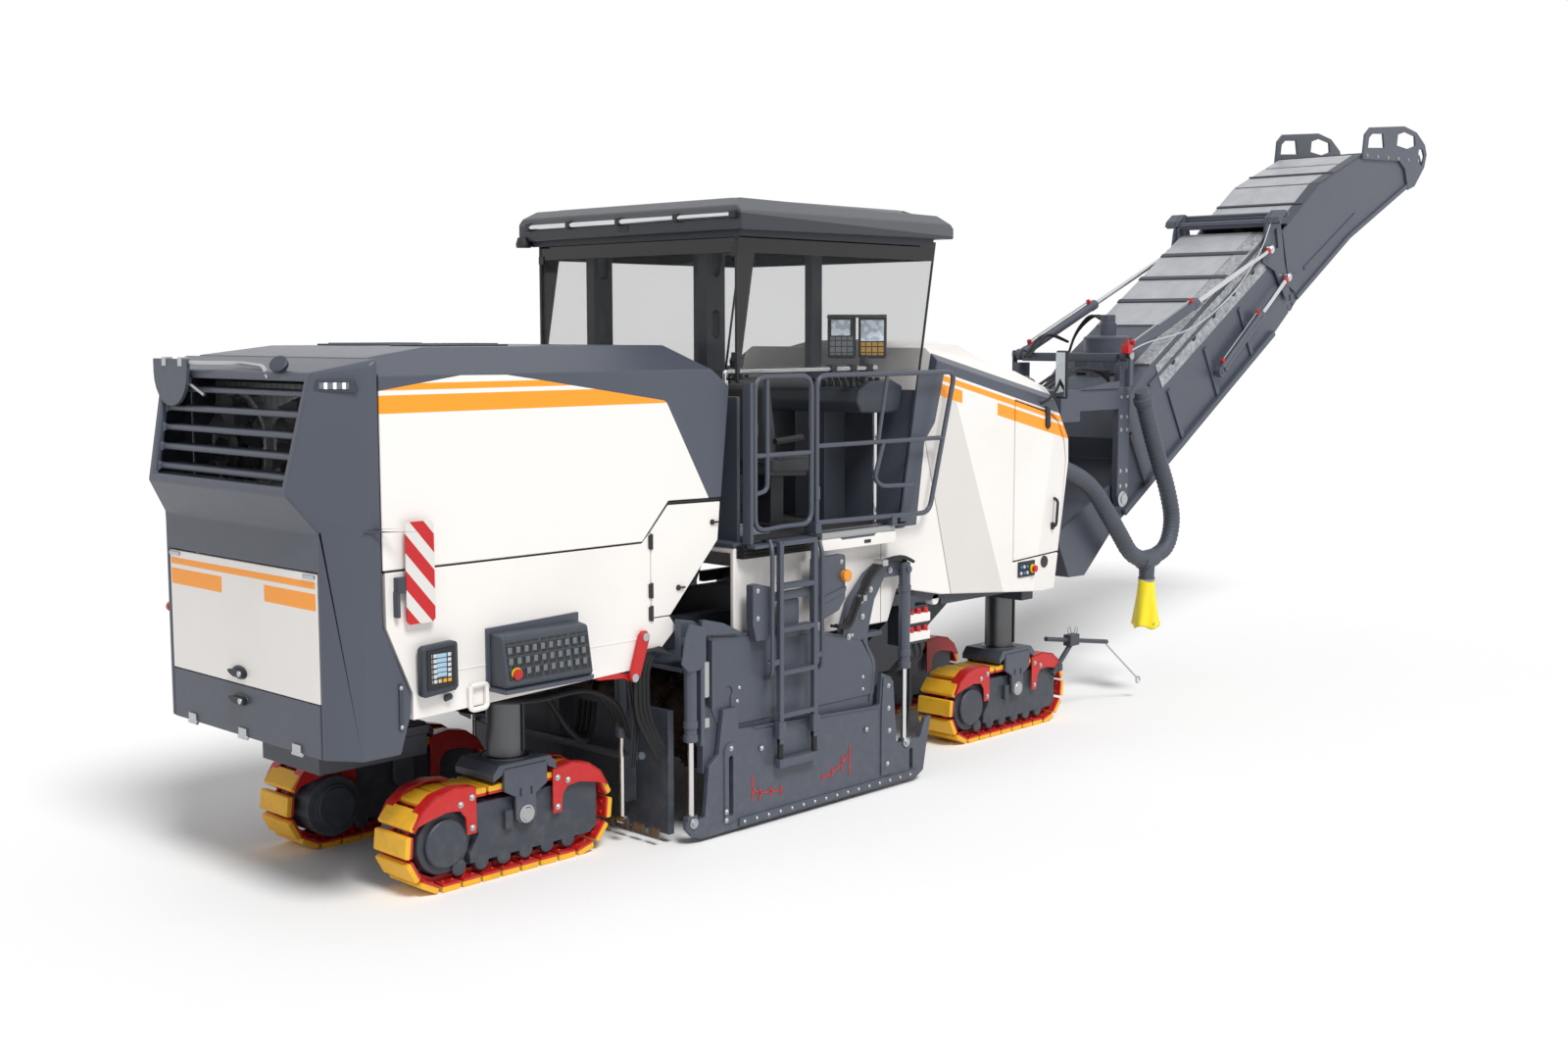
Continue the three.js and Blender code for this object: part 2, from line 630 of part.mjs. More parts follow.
const DOOR_HINGE_X = 2322;
function lowerPanel(s) {
  return sidePlate(
    [
      [TAIL_SEAM + SEAM + 12, 1722],
      [TAIL_SEAM + SEAM + 12, BELT_LINE - SEAM],
      [2245, BELT_LINE - SEAM],
      [DOOR_HINGE_X - SEAM, 2100],
      [DOOR_HINGE_X - SEAM, 1537],
      [2483, 1537],
      [2544, 1454],
      [2281, 1228],
      [470, 1166],
      [472, 1325],
    ],
    [s * (BODY_HALF - PANEL), s * BODY_HALF]
  );
}
addPiece('right_lower_panel', lowerPanel(-1), paint(WHITE));
addPiece('left_lower_panel', lowerPanel(1), paint(WHITE));

function engineDoor(s) {
  return sidePlate(
    [
      [DOOR_HINGE_X, 1545],
      [DOOR_HINGE_X, 2106],
      [2478, 2272],
      [HOOD_CORNER - 12, 2264],
      [HOOD_CORNER - 36, 2007],
      [2490, 1545],
    ],
    [s * (BODY_HALF - PANEL), s * BODY_HALF]
  );
}
addPiece('right_engine_door', engineDoor(-1), paint(WHITE));
addPiece('left_engine_door', engineDoor(1), paint(WHITE));

// Ground-level control box with its shelf, on the right-hand lower panel.
function controlConsole() {
  const tray = block([985, 1696], [-BODY_HALF - TOUCH, -BODY_HALF - 190], [1262, 1290]);
  const back = block([985, 1696], [-BODY_HALF - TOUCH, -BODY_HALF - 20], [1262, 1640]);
  const face = sidePlateFromRear(
    [
      [-BODY_HALF - 15, 1285],
      [-BODY_HALF - 175, 1285],
      [-BODY_HALF - 130, 1590],
      [-BODY_HALF - 15, 1610],
    ],
    [1010, 1670]
  );
  return joined(tray, back, face);
}
addPiece('control_console', controlConsole(), paint(DARK, 0.6));

// ---- platform ----
// Floor, rear wall and sloping front wall as one welded tub.
const TUB = 30;
function platformTub() {
  const floor = block([DECK_REAR, DECK_FRONT + 60], [-DECK_HALF, DECK_HALF], [DECK_TOP - TUB, DECK_TOP]);
  const wall = GLASS_REAR + GLASS + RUN;
  const rear = block([wall, wall + TUB], [-1030, 1030], [DECK_TOP - 5, 2960]);
  const front = sidePlate(
    [
      [DECK_FRONT + 20, DECK_TOP - 5],
      [5060, 2960],
      [5060 + TUB, 2960],
      [DECK_FRONT + 20 + TUB, DECK_TOP - 5],
    ],
    [-1030, 1030]
  );
  const kick = bothSides((s) =>
    block([3850, 4640], [s * (DECK_HALF - 3), s * (RAIL_Y - 10)], [1850, DECK_TOP - 10])
  );
  return joined(floor, rear, front, kick);
}
addPiece('platform_tub', platformTub(), paint(GREY));

// Driver's console across the front of the platform, with a wing towards each side.
function platformConsole() {
  const pedestal = bothSides((s) => block([4560, 4800], [s * 250, s * 560], [DECK_TOP + TOUCH, 2800]));
  const desk = sidePlate(
    [
      [4480, 2870],
      [4840, 2790],
      [4960, 2790],
      [5010, 3000],
      [4880, 3040],
      [4490, 2970],
    ],
    [-960, 960]
  );
  return joined(pedestal, desk);
}

// Two seats on one slide rail, so that the driver can sit on either side.
const SEAT_X = 3700;
function seatPair() {
  const rail = block([SEAT_X + 80, SEAT_X + 360], [-800, 800], [DECK_TOP + TOUCH, DECK_TOP + 50]);
  const back = [
    [SEAT_X + 10, 2480],
    [SEAT_X - 60, 3030],
    [SEAT_X + 40, 3030],
    [SEAT_X + 120, 2480],
  ];
  const seat = (s) =>
    joined(
      block([SEAT_X + 150, SEAT_X + 290], [s * 500, s * 680], [DECK_TOP + 45, 2380]),
      block([SEAT_X + 10, SEAT_X + 440], [s * 370, s * 810], [2370, 2490]),
      sidePlate(back, [s * 380, s * 800])
    );
  return joined(rail, seat(1), seat(-1));
}
addPiece('seat_pair', seatPair(), paint(BLACK, 0.8));

// Rail beside the seats with two screens at its front end, standing on the desk.
const SCREEN_RAIL_Z = 3130;
const SCREEN_TURN = 38; // degrees that the screens are turned towards the right-hand side
function screens() {
  const rail = bar([3190, -930, SCREEN_RAIL_Z], [4760, -930, SCREEN_RAIL_Z], 22, 8);
  const foot = block([4590, 4670], [-945, -815], [2960, 3230]);
  const frames = new THREE.BoxGeometry(60, 440, 320);
  frames.rotateZ(THREE.MathUtils.degToRad(SCREEN_TURN));
  frames.translate(4620, -830, 3360);
  return joined(rail, foot, solidOf(frames));
}
addPiece('platform_console', platformConsole().add(screens()), paint(DARK, 0.6));

function guardRail(s) {
  const y = s * RAIL_Y;
  const at = (x, z) => [x, y, z];
  const rear = GATE_FRONT + 55;
  return joined(
    tubeFrame(
      [
        [at(rear, 1990), at(rear, RAIL_HIGH), at(5350, RAIL_HIGH), at(5056, 2035), at(rear, 2060)],
        [at(rear, 2600), at(5210, 2600)],
        [at(4560, 2602), at(4480, 2330), at(4560, 2270), at(4860, 2262)],
        [at(rear + 130, RAIL_HIGH), at(rear + 130, 2600)],
      ],
      RAIL_R
    ),
    block([rear - 30, rear + 30], [s * (DECK_HALF + TOUCH), s * (RAIL_Y + 25)], [1985, 2060]),
    block([4600, 4660], [s * (DECK_HALF + TOUCH), s * (RAIL_Y + 25)], [1975, 2055])
  );
}
addPiece('right_guard_rail', guardRail(-1), paint(GREY));
addPiece('left_guard_rail', guardRail(1), paint(GREY));

function swingGate(s) {
  const at = (x, z) => [x, s * RAIL_Y, z];
  return tubeFrame(
    [
      [at(GATE_REAR, 2030), at(GATE_REAR, RAIL_HIGH), at(GATE_FRONT, RAIL_HIGH), at(GATE_FRONT, 2060),
        at(GATE_REAR, 2060)],
      [at(GATE_REAR, 2560), at(GATE_FRONT, 2560)],
      [at(GATE_REAR + 120, 3050), at(GATE_REAR + 120, 2300), at(GATE_REAR, 2300)],
    ],
    RAIL_R
  );
}
addPiece('right_gate', swingGate(-1), paint(GREY));
addPiece('left_gate', swingGate(1), paint(GREY));

// Gate post and ladder share one bolted frame below the platform's edge.
function ladder(s) {
  const y = [s * LADDER_Y, s * (LADDER_Y + 40)];
  const stile = (x) => block([x - 20, x + 20], y, [430, 1960]);
  const second = LADDER_X + LADDER_WIDTH;
  const rungs = [];
  for (let i = 0; i <= RUNG_COUNT; i += 1) {
    const z = 440 + RUNG_STEP * i;
    rungs.push(block([LADDER_X, second], y, [z, z + 36]));
  }
  const hangers = [LADDER_X, second].map((x) =>
    block([x - 20, x + 20], [s * (DECK_HALF + TOUCH), s * (LADDER_Y + 5)], [DECK_TOP - 30, DECK_TOP - 5])
  );
  const boxSide = [s * (HOUSING_Y + HOUSING_WALL + 6), s * (LADDER_Y - 4)];
  const boxes = [
    block([3106, 3300], boxSide, [1420, 1690]),
    block([3740, 4048], boxSide, [1420, 1815]),
    block([3290, 3750], [s * (LADDER_Y - 40), s * (LADDER_Y + 1)], [1560, 1620]),
  ];
  const across = [s * (DECK_HALF + TOUCH), s * (RAIL_Y + 20)];
  const post = block([GATE_REAR - 60, GATE_REAR - 30], across, [1960, 3060]);
  const foot = block([GATE_REAR - 60, LADDER_X], [s * (RAIL_Y - 20), s * (LADDER_Y + 5)], [1935, 1960.1]);
  return joined(stile(LADDER_X), stile(second), ...rungs, ...hangers, ...boxes, post, foot);
}
addPiece('right_ladder', ladder(-1), paint(GREY));
addPiece('left_ladder', ladder(1), paint(GREY));

// ---- canopy ----
function canopyRoof() {
  const outer = sidePlate(
    [
      [ROOF_REAR, ROOF_EDGE],
      [ROOF_REAR, 4235],
      [ROOF_REAR + 90, ROOF_TOP],
      [5200, 4262],
      [ROOF_FRONT, 4170],
      [ROOF_FRONT, 4090],
    ],
    [-ROOF_HALF, ROOF_HALF]
  );
  const edge = bothSides((s) =>
    sidePlateFromRear(
      [
        [s * (ROOF_HALF + 20), 4180],
        [s * (ROOF_HALF - 150), ROOF_TOP + 40],
        [s * (ROOF_HALF + 20), ROOF_TOP + 40],
      ],
      [ROOF_REAR - 50, ROOF_FRONT + 50]
    )
  );
  const rim = ROOF_HALF - 45;
  const under = block([ROOF_REAR + 45, ROOF_FRONT - 110], [-rim, rim], [4000, ROOF_UNDER]);
  return cutFrom(outer, edge, under);
}
addPiece('canopy_roof', canopyRoof(), paint(GREY));

// Four masts that telescope down beside the platform's seats, with the beams under the roof.
function canopyMasts() {
  const high = ROOF_UNDER - TOUCH;
  const masts = bothSides((s) =>
    joined(
      block([REAR_MAST_X - 90, REAR_MAST_X + 90], [s * (MAST_Y - 45), s * (MAST_Y + 45)], [2560, high]),
      block([FRONT_MAST_X - 60, FRONT_MAST_X + 60], [s * (MAST_Y - 35), s * (MAST_Y + 35)], [3060, high]),
      block([REAR_MAST_X - 90, FRONT_MAST_X + 60], [s * (MAST_Y - 35), s * (MAST_Y + 35)], [4080, high])
    )
  );
  const cross = block([REAR_MAST_X - 40, REAR_MAST_X + 40], [-1000, 1000], [4085, high - 1]);
  const foreCross = block([FRONT_MAST_X - 40, FRONT_MAST_X + 40], [-1000, 1000], [4085, high - 1]);
  return joined(masts, cross, foreCross);
}
addPiece('canopy_masts', canopyMasts(), paint(DARK));

// Rear, side and front panes, joined at the corners by their clamps.
function canopyGlass() {
  const high = 4075;
  const lean = 0.18;
  const front = (z) => GLASS_FRONT - 100 + (z - GLASS_LOW - 140) * lean;
  const ring = sidePlate(
    [
      [GLASS_REAR, GLASS_LOW],
      [GLASS_REAR, high],
      [front(high), high],
      [front(GLASS_LOW + 140), GLASS_LOW + 140],
    ],
    [-GLASS_Y, GLASS_Y]
  );
  const inside = sidePlate(
    [
      [GLASS_REAR + GLASS, GLASS_LOW - 40],
      [GLASS_REAR + GLASS, high + 40],
      [front(high + 40) - GLASS, high + 40],
      [front(GLASS_LOW - 40) - GLASS, GLASS_LOW - 40],
    ],
    [-GLASS_Y + GLASS, GLASS_Y - GLASS]
  );
  return ring.subtract(inside);
}
addPiece('canopy_glass', canopyGlass(), paint(0xdfe5e6, 0.05, 0));

// ---- front body ----
// Outline of the front body's side, drawn in by an inset on the closed edges.
function frontShape(inset, y) {
  const out = inset ? 80 : 0;
  return sidePlate(
    [
      [DECK_REAR + 5 - out, 1235 - out],
      [DECK_REAR + 5 - out, DECK_TOP - TUB - TOUCH - inset],
      [DECK_FRONT + 62 + inset, DECK_TOP - TUB - TOUCH - inset],
      [5222 + inset, 2985 - inset],
      [5290 + inset, 3280 - inset],
      [6619, 3075 - inset],
      [6944 - inset * 0.5, 2930 - inset],
      [7019 - inset, 2814 - inset],
      [NOSE - inset, 2320],
      [6852 - inset, 1259 + inset - out],
      [6669, 1254 + inset - out * 1.2],
      [5340, 1373 + inset - out * 1.5],
      [4807, 1476 - out],
      [4700, 1235 - out],
    ],
    y
  );
}
const FRONT_DOOR = [
  [6270, 1530],
  [6270, 2855],
  [6760, 2740],
  [6870, 2670],
  [6970, 2500],
  [7000, 2330],
  [6905, 1560],
];

// What is cut away above the body's side, where its shoulder leans in to the top.
const SHOULDER_REAR = [5000, 3239]; // x and z of the shoulder's edge at its rear end
const SHOULDER_SLOPE = 0.2265; // how fast that edge falls towards the nose
function shoulderCut(s, inset) {
  const y = BODY_HALF - inset;
  const ends = [SHOULDER_REAR[0], NOSE + 100].flatMap((x) => {
    const edge = SHOULDER_REAR[1] - (x - SHOULDER_REAR[0]) * SHOULDER_SLOPE - inset;
    return [
      [x, s * (y + 1), edge],
      [x, s * (y + 300), edge],
      [x, s * (y - 330), edge + 250],
      [x, s * (y + 300), edge + 250],
    ];
  });
  return hull(ends);
}

// The same at the nose's upper corner, where the edge drops to the front.
function noseCut(s, inset) {
  const y = BODY_HALF - inset;
  const ends = [[6780, 2895], [7060, 2450]].flatMap(([x, z]) => {
    const [near, low] = [x - inset * 0.85, z - inset * 0.53];
    return [
      [near, s * (y + 1), low],
      [near, s * (y + 300), low],
      [near + 169, s * (y - 240), low + 107],
      [near + 169, s * (y + 300), low + 107],
    ];
  });
  return hull(ends);
}
const shouldered = (solid, inset) =>
  cutFrom(solid, ...[1, -1].flatMap((s) => [shoulderCut(s, inset), noseCut(s, inset)]));

// White shell over the primary conveyor: closed sides and top, open below, with a mouth at the nose.
function frontBody() {
  const outer = shouldered(frontShape(0, [-BODY_HALF, BODY_HALF]), 0);
  const inner = shouldered(frontShape(PANEL, [-BODY_HALF + PANEL, BODY_HALF - PANEL]), PANEL);
  const mouth = joined(
    block([6600, NOSE + 50], [-520, 520], [900, 2700]),
    block([6600, NOSE + 50], [-760, 760], [900, RAIL_TOP + 30])
  );
  const doors = bothSides((s) => sidePlate(FRONT_DOOR, [s * (BODY_HALF - PANEL - 60), s * (BODY_HALF + 60)]));
  const crown = hull(
    mirrored([
      [5330, 700, 3240],
      [5330, 300, 3330],
      [6500, 300, 3290],
      [6950, 420, 3060],
      [6850, 700, 2950],
    ])
  );
  return cutFrom(joined(outer.subtract(inner), crown.subtract(inner)), mouth, doors);
}
addPiece('front_body', frontBody(), paint(WHITE));

// The door fills its opening with an even seam.
function frontDoor(s) {
  const middle = [6640, 2250];
  const shrink = ([x, z]) => {
    const reach = Math.hypot(x - middle[0], z - middle[1]);
    const scale = 1 - (SEAM * 2.6) / reach;
    return [middle[0] + (x - middle[0]) * scale, middle[1] + (z - middle[1]) * scale];
  };
  return sidePlate(FRONT_DOOR.map(shrink), [s * (BODY_HALF - PANEL), s * BODY_HALF]);
}
addPiece('right_front_door', frontDoor(-1), paint(WHITE));
addPiece('left_front_door', frontDoor(1), paint(WHITE));

// ---- conveyors ----
// Belt box that lifts the milled material from the drum to the nose.
const PRIMARY_TAIL = [5010, 560];
const PRIMARY_HEAD = [7750, 2250];
const PRIMARY_DEEP = 190; // half its depth as far as the nose
const PRIMARY_SLIM = 110; // half its depth at the head
const PRIMARY_HALF = 395;
const SIDE_WALL = 30;
function primaryConveyor() {
  const run = [PRIMARY_HEAD[0] - PRIMARY_TAIL[0], PRIMARY_HEAD[1] - PRIMARY_TAIL[1]];
  const length = Math.hypot(...run);
  const up = [-run[1] / length, run[0] / length];
  const at = ([x, z], k) => [x + up[0] * k, z + up[1] * k];
  const neck = along(PRIMARY_TAIL, PRIMARY_HEAD, 0.7);
  const outline = [
    at(PRIMARY_TAIL, -PRIMARY_DEEP),
    at(neck, -PRIMARY_DEEP),
    at(along(PRIMARY_TAIL, PRIMARY_HEAD, 0.76), -PRIMARY_SLIM),
    at(PRIMARY_HEAD, -PRIMARY_SLIM),
    at(PRIMARY_HEAD, PRIMARY_SLIM),
    at(PRIMARY_TAIL, PRIMARY_DEEP),
  ];
  const box = sidePlate(outline, [-PRIMARY_HALF, PRIMARY_HALF]);
  const tailIn = along(PRIMARY_TAIL, PRIMARY_HEAD, 0.04);
  const headIn = along(PRIMARY_TAIL, PRIMARY_HEAD, 0.95);
  const channel = sidePlate(
    [at(tailIn, -250), at(headIn, -250), at(headIn, 30), at(tailIn, 60)],
    [-PRIMARY_HALF + SIDE_WALL, PRIMARY_HALF - SIDE_WALL]
  );
  const lowEnd = sidePlate(
    [
      [HOUSING_FRONT + 20, 330],
      [HOUSING_FRONT + 20, 740],
      at(PRIMARY_TAIL, PRIMARY_DEEP - 5),
      at(PRIMARY_TAIL, 5 - PRIMARY_DEEP),
    ],
    [-PRIMARY_HALF, PRIMARY_HALF]
  );
  return joined(box.subtract(channel), lowEnd);
}
addPiece('primary_conveyor', primaryConveyor(), paint(DARK));

// Portal on the chassis that carries the slewing bearing over the primary conveyor's head.
function noseConsole() {
  const legs = bothSides((s) =>
    block([6895, 6995], [s * RAIL_INNER, s * (RAIL_INNER + 70)], [RAIL_TOP + TOUCH, NOSE_BEAM_HIGH])
  );
  const beam = floorPlate(
    [
      [6895, -500],
      [7100, -500],
      [7500, -300],
      [SLEW_X + 190, -260],
      [SLEW_X + 190, 260],
      [7500, 300],
      [7100, 500],
      [6895, 500],
    ],
    [NOSE_BEAM_LOW, NOSE_BEAM_HIGH]
  );
  const bore = bar([SLEW_X, 0, 2300], [SLEW_X, 0, 2700], SLEW_PIN_R + 6, 24);
  return cutFrom(joined(legs, beam), bore);
}
addPiece('nose_console', noseConsole(), paint(DARK));

// Slewing frame: pin and crosshead over the bearing, arms forward and cheeks down to the conveyor.
const CHEEK_THICK = 66;
function slewingFrame() {
  const pin = bar([SLEW_X, 0, NOSE_BEAM_LOW + 20], [SLEW_X, 0, 2700], SLEW_PIN_R, 24);
  const half = CHEEK_Y + CHEEK_THICK;
  const head = block([7600, 7900], [-half, half], [NOSE_BEAM_HIGH + RUN, 2880]);
  const arms = bothSides((s) =>
    block([7700, 8690], [s * CHEEK_Y, s * (CHEEK_Y + CHEEK_THICK)], [2690, 2880])
  );
  const cheek = [
    [8520, 1900],
    [8530, 3230],
    [8690, 3250],
    [8710, 3110],
    [8700, 1900],
    [8660, 1790],
    [8560, 1790],
  ];
  const cheeks = bothSides((s) => sidePlate(cheek, [s * CHEEK_Y, s * (CHEEK_Y + CHEEK_THICK)]));
  const clear = bothSides((s) =>
    block([8500, 8800], [s * (CYLINDER_Y - 62), s * (CYLINDER_Y + 62)], [LIFT_LOW[1] - 75, 3300])
  );
  const ears = bothSides((s) =>
    block([8590, 8650], [s * (CYLINDER_Y + 50 + RUN), s * (CYLINDER_Y + 82)], [2900, LIFT_LOW[1] + 40])
  );
  const stand = bothSides((s) =>
    block([8590, 8650], [s * (CHEEK_Y + 20), s * (CYLINDER_Y + 82)], [2900, 3060])
  );
  const pivots = bothSides((s) =>
    bar([LIFT_X, s * (BELT_HALF - 40), LIFT_Z], [LIFT_X, s * (CHEEK_Y + 30), LIFT_Z], 40, 16)
  );
  const pins = bothSides((s) =>
    bar(
      [LIFT_LOW[0], s * (CYLINDER_Y - 40), LIFT_LOW[1]],
      [LIFT_LOW[0], s * (CYLINDER_Y + 75), LIFT_LOW[1]],
      EYE_PIN_R,
      12
    )
  );
  return joined(pin, head, arms, cutFrom(cheeks, clear), stand, ears, pivots, pins);
}
addPiece('slewing_frame', slewingFrame(), paint(GREY));

// Lower section: loading trough, belt deck between two side walls, fan drum and portal.
function lowerConveyor() {
  const outline = [
    [7705, 1540],
    [7890, 1190],
    [8140, 1185],
    [8625, 1600],
    [9825, 2290],
    [11480, 3330],
    [FOLD_X - 25, 3600],
    [FOLD_X - 25, 3740],
    [11640, 4230],
    [11400, 4420],
    [9100, 3040],
    [8780, 2760],
    [8560, 1990],
    [8200, 1830],
    [7735, 1620],
  ];
  const box = sidePlate(outline, [-BELT_HALF, BELT_HALF]);
  const trough = sidePlate(
    [
      [7740, 2200],
      [7775, 1560],
      [8000, 1400],
      [8600, 1820],
      [8900, 2200],
      [8760, 2500],
      [8500, 2200],
    ],
    [-BELT_HALF + PANEL, BELT_HALF - PANEL]
  );
  const channel = sidePlate(
    [
      [8860, 1560],
      [9010, 2300],
      [9220, 2760],
      [11385, 4200],
      [11560, 4090],
      [11740, 3740],
      [11740, 3300],
    ],
    [-BELT_HALF + SIDE_WALL, BELT_HALF - SIDE_WALL]
  );
  const bores = bothSides((s) =>
    bar([LIFT_X, s * (BELT_HALF - 60), LIFT_Z], [LIFT_X, s * (BELT_HALF + 20), LIFT_Z], 45, 16)
  );
  const fan = joined(
    bar([9230, 0, 2950], [9230, 0, 3350], 225, 24),
    bar([9230, 0, 3340], [9230, 0, 3560], 70, 12)
  );
  const foldGap = bar([FOLD_X, -700, FOLD_Z], [FOLD_X, 700, FOLD_Z], 68, 16);
  return cutFrom(joined(box, fan, foldPortal(), foldCylinderLugs()), trough, channel, bores, foldGap);
}

// Arched portal at the fold, with two cross tubes. The lift cylinders' rods end at its posts.
function foldPortal() {
  const post = [
    [11290, 4190],
    [11290, 4480],
    [11420, 4600],
    [11480, 4600],
    [11560, 4330],
    [11600, 4180],
    [11500, 4100],
  ];
  const posts = bothSides((s) => sidePlate(post, [s * (BELT_HALF - 20), s * (BELT_HALF + POST)]));
  const tubes = joined(
    bar([11340, -BELT_HALF, 4500], [11340, BELT_HALF, 4500], 36, 12),
    bar([11450, -BELT_HALF, 4570], [11450, BELT_HALF, 4570], 26, 12)
  );
  return joined(posts, tubes);
}

function foldCylinderLugs() {
  return bothSides((s) =>
    bar(
      [FOLD_LOW[0], s * (BELT_HALF - 30), FOLD_LOW[1]],
      [FOLD_LOW[0], s * (CYLINDER_Y + 38), FOLD_LOW[1]],
      EYE_PIN_R,
      12
    )
  );
}
addPiece('lower_conveyor', lowerConveyor(), paint(GREY));

// Horns that the fold cylinders' rods push, set just outside the lower section's sides.
function foldHorns() {
  const inner = BELT_HALF + RUN;
  const horn = [
    [FOLD_HIGH[0] - 45, FOLD_HIGH[1] - 20],
    [FOLD_HIGH[0] - 30, FOLD_HIGH[1] + 40],
    [FOLD_X + 90, FOLD_Z + 330],
    [FOLD_X + 170, FOLD_Z + 240],
    [FOLD_X + 90, FOLD_Z + 130],
  ];
  const root = (s) =>
    block(
      [FOLD_X + 60, FOLD_X + 110],
      [s * (BELT_HALF - 20), s * (inner + HORN)],
      [FOLD_Z + 180, FOLD_Z + 290]
    );
  return bothSides((s) => sidePlate(horn, [s * inner, s * (inner + HORN)]).add(root(s)));
}

// Upper section with its fold hinge, the horns of the fold cylinders and the head's guard plates.
function upperConveyor() {
  const outline = [
    [FOLD_X + 35, FOLD_Z - 30],
    [12110, 3800],
    [13158, 4417],
    [14650, 5085],
    [14774, 5139],
    [14960, 5330],
    [14880, 5440],
    [13446, 5340],
    [12440, 4960],
    [11760, 4500],
    [11665, 4420],
    [FOLD_X - 5, 3790],
  ];
  const channel = [
    [12080, 3640],
    [12010, 3880],
    [11840, 4380],
    [12490, 4830],
    [13475, 5205],
    [14640, 5290],
    [14700, 5180],
    [14640, 4950],
  ];
  const box = sidePlate(outline, [-BELT_HALF, BELT_HALF]).subtract(
    sidePlate(channel, [-BELT_HALF + SIDE_WALL, BELT_HALF - SIDE_WALL])
  );
  const headPlate = [
    [13410, 5310],
    [13450, 5560],
    [13560, 5650],
    [14400, 5735],
    [14726, 5690],
    [14980, 5540],
    [15018, 5450],
    [14960, 5300],
    [14700, 5060],
    [14300, 5000],
  ];
  const heads = bothSides((s) => sidePlate(headPlate, [s * (BELT_HALF - 1), s * (BELT_HALF + 26)]));
  const knuckle = bar([FOLD_X, -BELT_HALF, FOLD_Z], [FOLD_X, BELT_HALF, FOLD_Z], 60, 16);
  const web = sidePlate(
    [
      [FOLD_X - 10, FOLD_Z - 45],
      [FOLD_X + 48, FOLD_Z - 15],
      [FOLD_X + 60, FOLD_Z + 130],
      [FOLD_X - 10, FOLD_Z + 130],
    ],
    [-BELT_HALF, BELT_HALF]
  );
  return joined(box, heads, knuckle, web, foldHorns());
}
addPiece('upper_conveyor', upperConveyor(), paint(GREY));

// A cylinder barrel from its pin towards the far pin, with a bore for the rod.
const BARREL_R = 50;
const ROD_R = 25;
const BORE_R = ROD_R + 6;
const PIN_FIT = 4;

function cylinderBarrel(low, high, y, share, solidShare) {
  const end = along(low, high, share);
  const bottom = along(low, high, solidShare);
  const tube = bar([low[0], y, low[1]], [end[0], y, end[1]], BARREL_R, 12);
  const past = along(low, high, share + 0.01);
  const bore = bar([bottom[0], y, bottom[1]], [past[0], y, past[1]], BORE_R, 12);
  const eye = bar([low[0], y - 30, low[1]], [low[0], y + 30, low[1]], 55, 12);
  const pin = bar([low[0], y - 200, low[1]], [low[0], y + 200, low[1]], EYE_PIN_R + PIN_FIT, 12);
  return cutFrom(joined(tube, eye), bore, pin);
}

// A rod with its eye, and a pin that ends just short of the plate it belongs to.
function cylinderRod(low, high, y, share, plateFace) {
  const start = along(low, high, share);
  const rod = bar([start[0], y, start[1]], [high[0], y, high[1]], ROD_R, 12);
  const eye = bar([high[0], y - 28, high[1]], [high[0], y + 28, high[1]], 42, 12);
  const near = Math.sign(y) * (plateFace + RUN);
  const pin = bar([high[0], near, high[1]], [high[0], y + Math.sign(y) * 34, high[1]], EYE_PIN_R, 12);
  return joined(rod, eye, pin);
}

for (const [place, s] of [['right', -1], ['left', 1]]) {
  const y = s * CYLINDER_Y;
  const chrome = paint(BRIGHT, 0.2, 0.9);
  addPiece(`${place}_lift_barrel`, cylinderBarrel(LIFT_LOW, LIFT_HIGH, y, 0.47, 0.1), paint(GREY));
  addPiece(`${place}_lift_rod`, cylinderRod(LIFT_LOW, LIFT_HIGH, y, 0.26, BELT_HALF + POST), chrome);
  addPiece(`${place}_fold_barrel`, cylinderBarrel(FOLD_LOW, FOLD_HIGH, y, 0.6, 0.12), paint(GREY));
  addPiece(`${place}_fold_rod`, cylinderRod(FOLD_LOW, FOLD_HIGH, y, 0.3, BELT_HALF + RUN + HORN), chrome);
}

// ---- dust hose ----
// Corrugated hose from the nose down to a branch piece and up to the slewing frame.
function dustHose() {
  const side = -HOSE_Y;
  const route = [
    [NOSE + 10, side, 2300],
    [7400, side, 2230],
    [7850, side, 2090],
    [8230, side, 1740],
    [8560, side, 1370],
    [8870, side, 1270],
    [9180, side, 1350],
    [9290, side, 1560],
    [9180, side, 1900],
    [8960, side, 2330],
    [8800, side, 2650],
    [8720, side, 2830],
  ].map((p) => new THREE.Vector3(...p));
  const ring = new THREE.Shape().absarc(0, 0, HOSE_R, 0, Math.PI * 2);
  const hose = new THREE.ExtrudeGeometry(ring, {
    extrudePath: new THREE.CatmullRomCurve3(route),
    steps: 18,
    curveSegments: 4,
    bevelEnabled: false,
  });
  const branch = bar([8870, side, 1270], [8870, side, 1100], 72, 12);
  return solidOf(hose).add(branch);
}
addPiece('dust_hose', dustHose(), paint(DARK, 0.7));
addPiece(
  'dust_sleeve',
  block([8800, 8940], [-HOSE_Y - 10, -HOSE_Y + 10], [650, 1100 - TOUCH]),
  paint(0xf6dc16, 0.8)
);

// ---- stands on the ground, over the middle of its footprint ----
const extent = new THREE.Box3().setFromObject(machine);
machine.position.set(-(extent.min.x + extent.max.x) / 2, -(extent.min.y + extent.max.y) / 2, -extent.min.z);

const root = new THREE.Group();
root.add(machine);
export default root;
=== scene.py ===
# Cold planer milling machine: its looks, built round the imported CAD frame. Metres throughout.
import json
import math

import bpy
from mathutils import Matrix, Vector

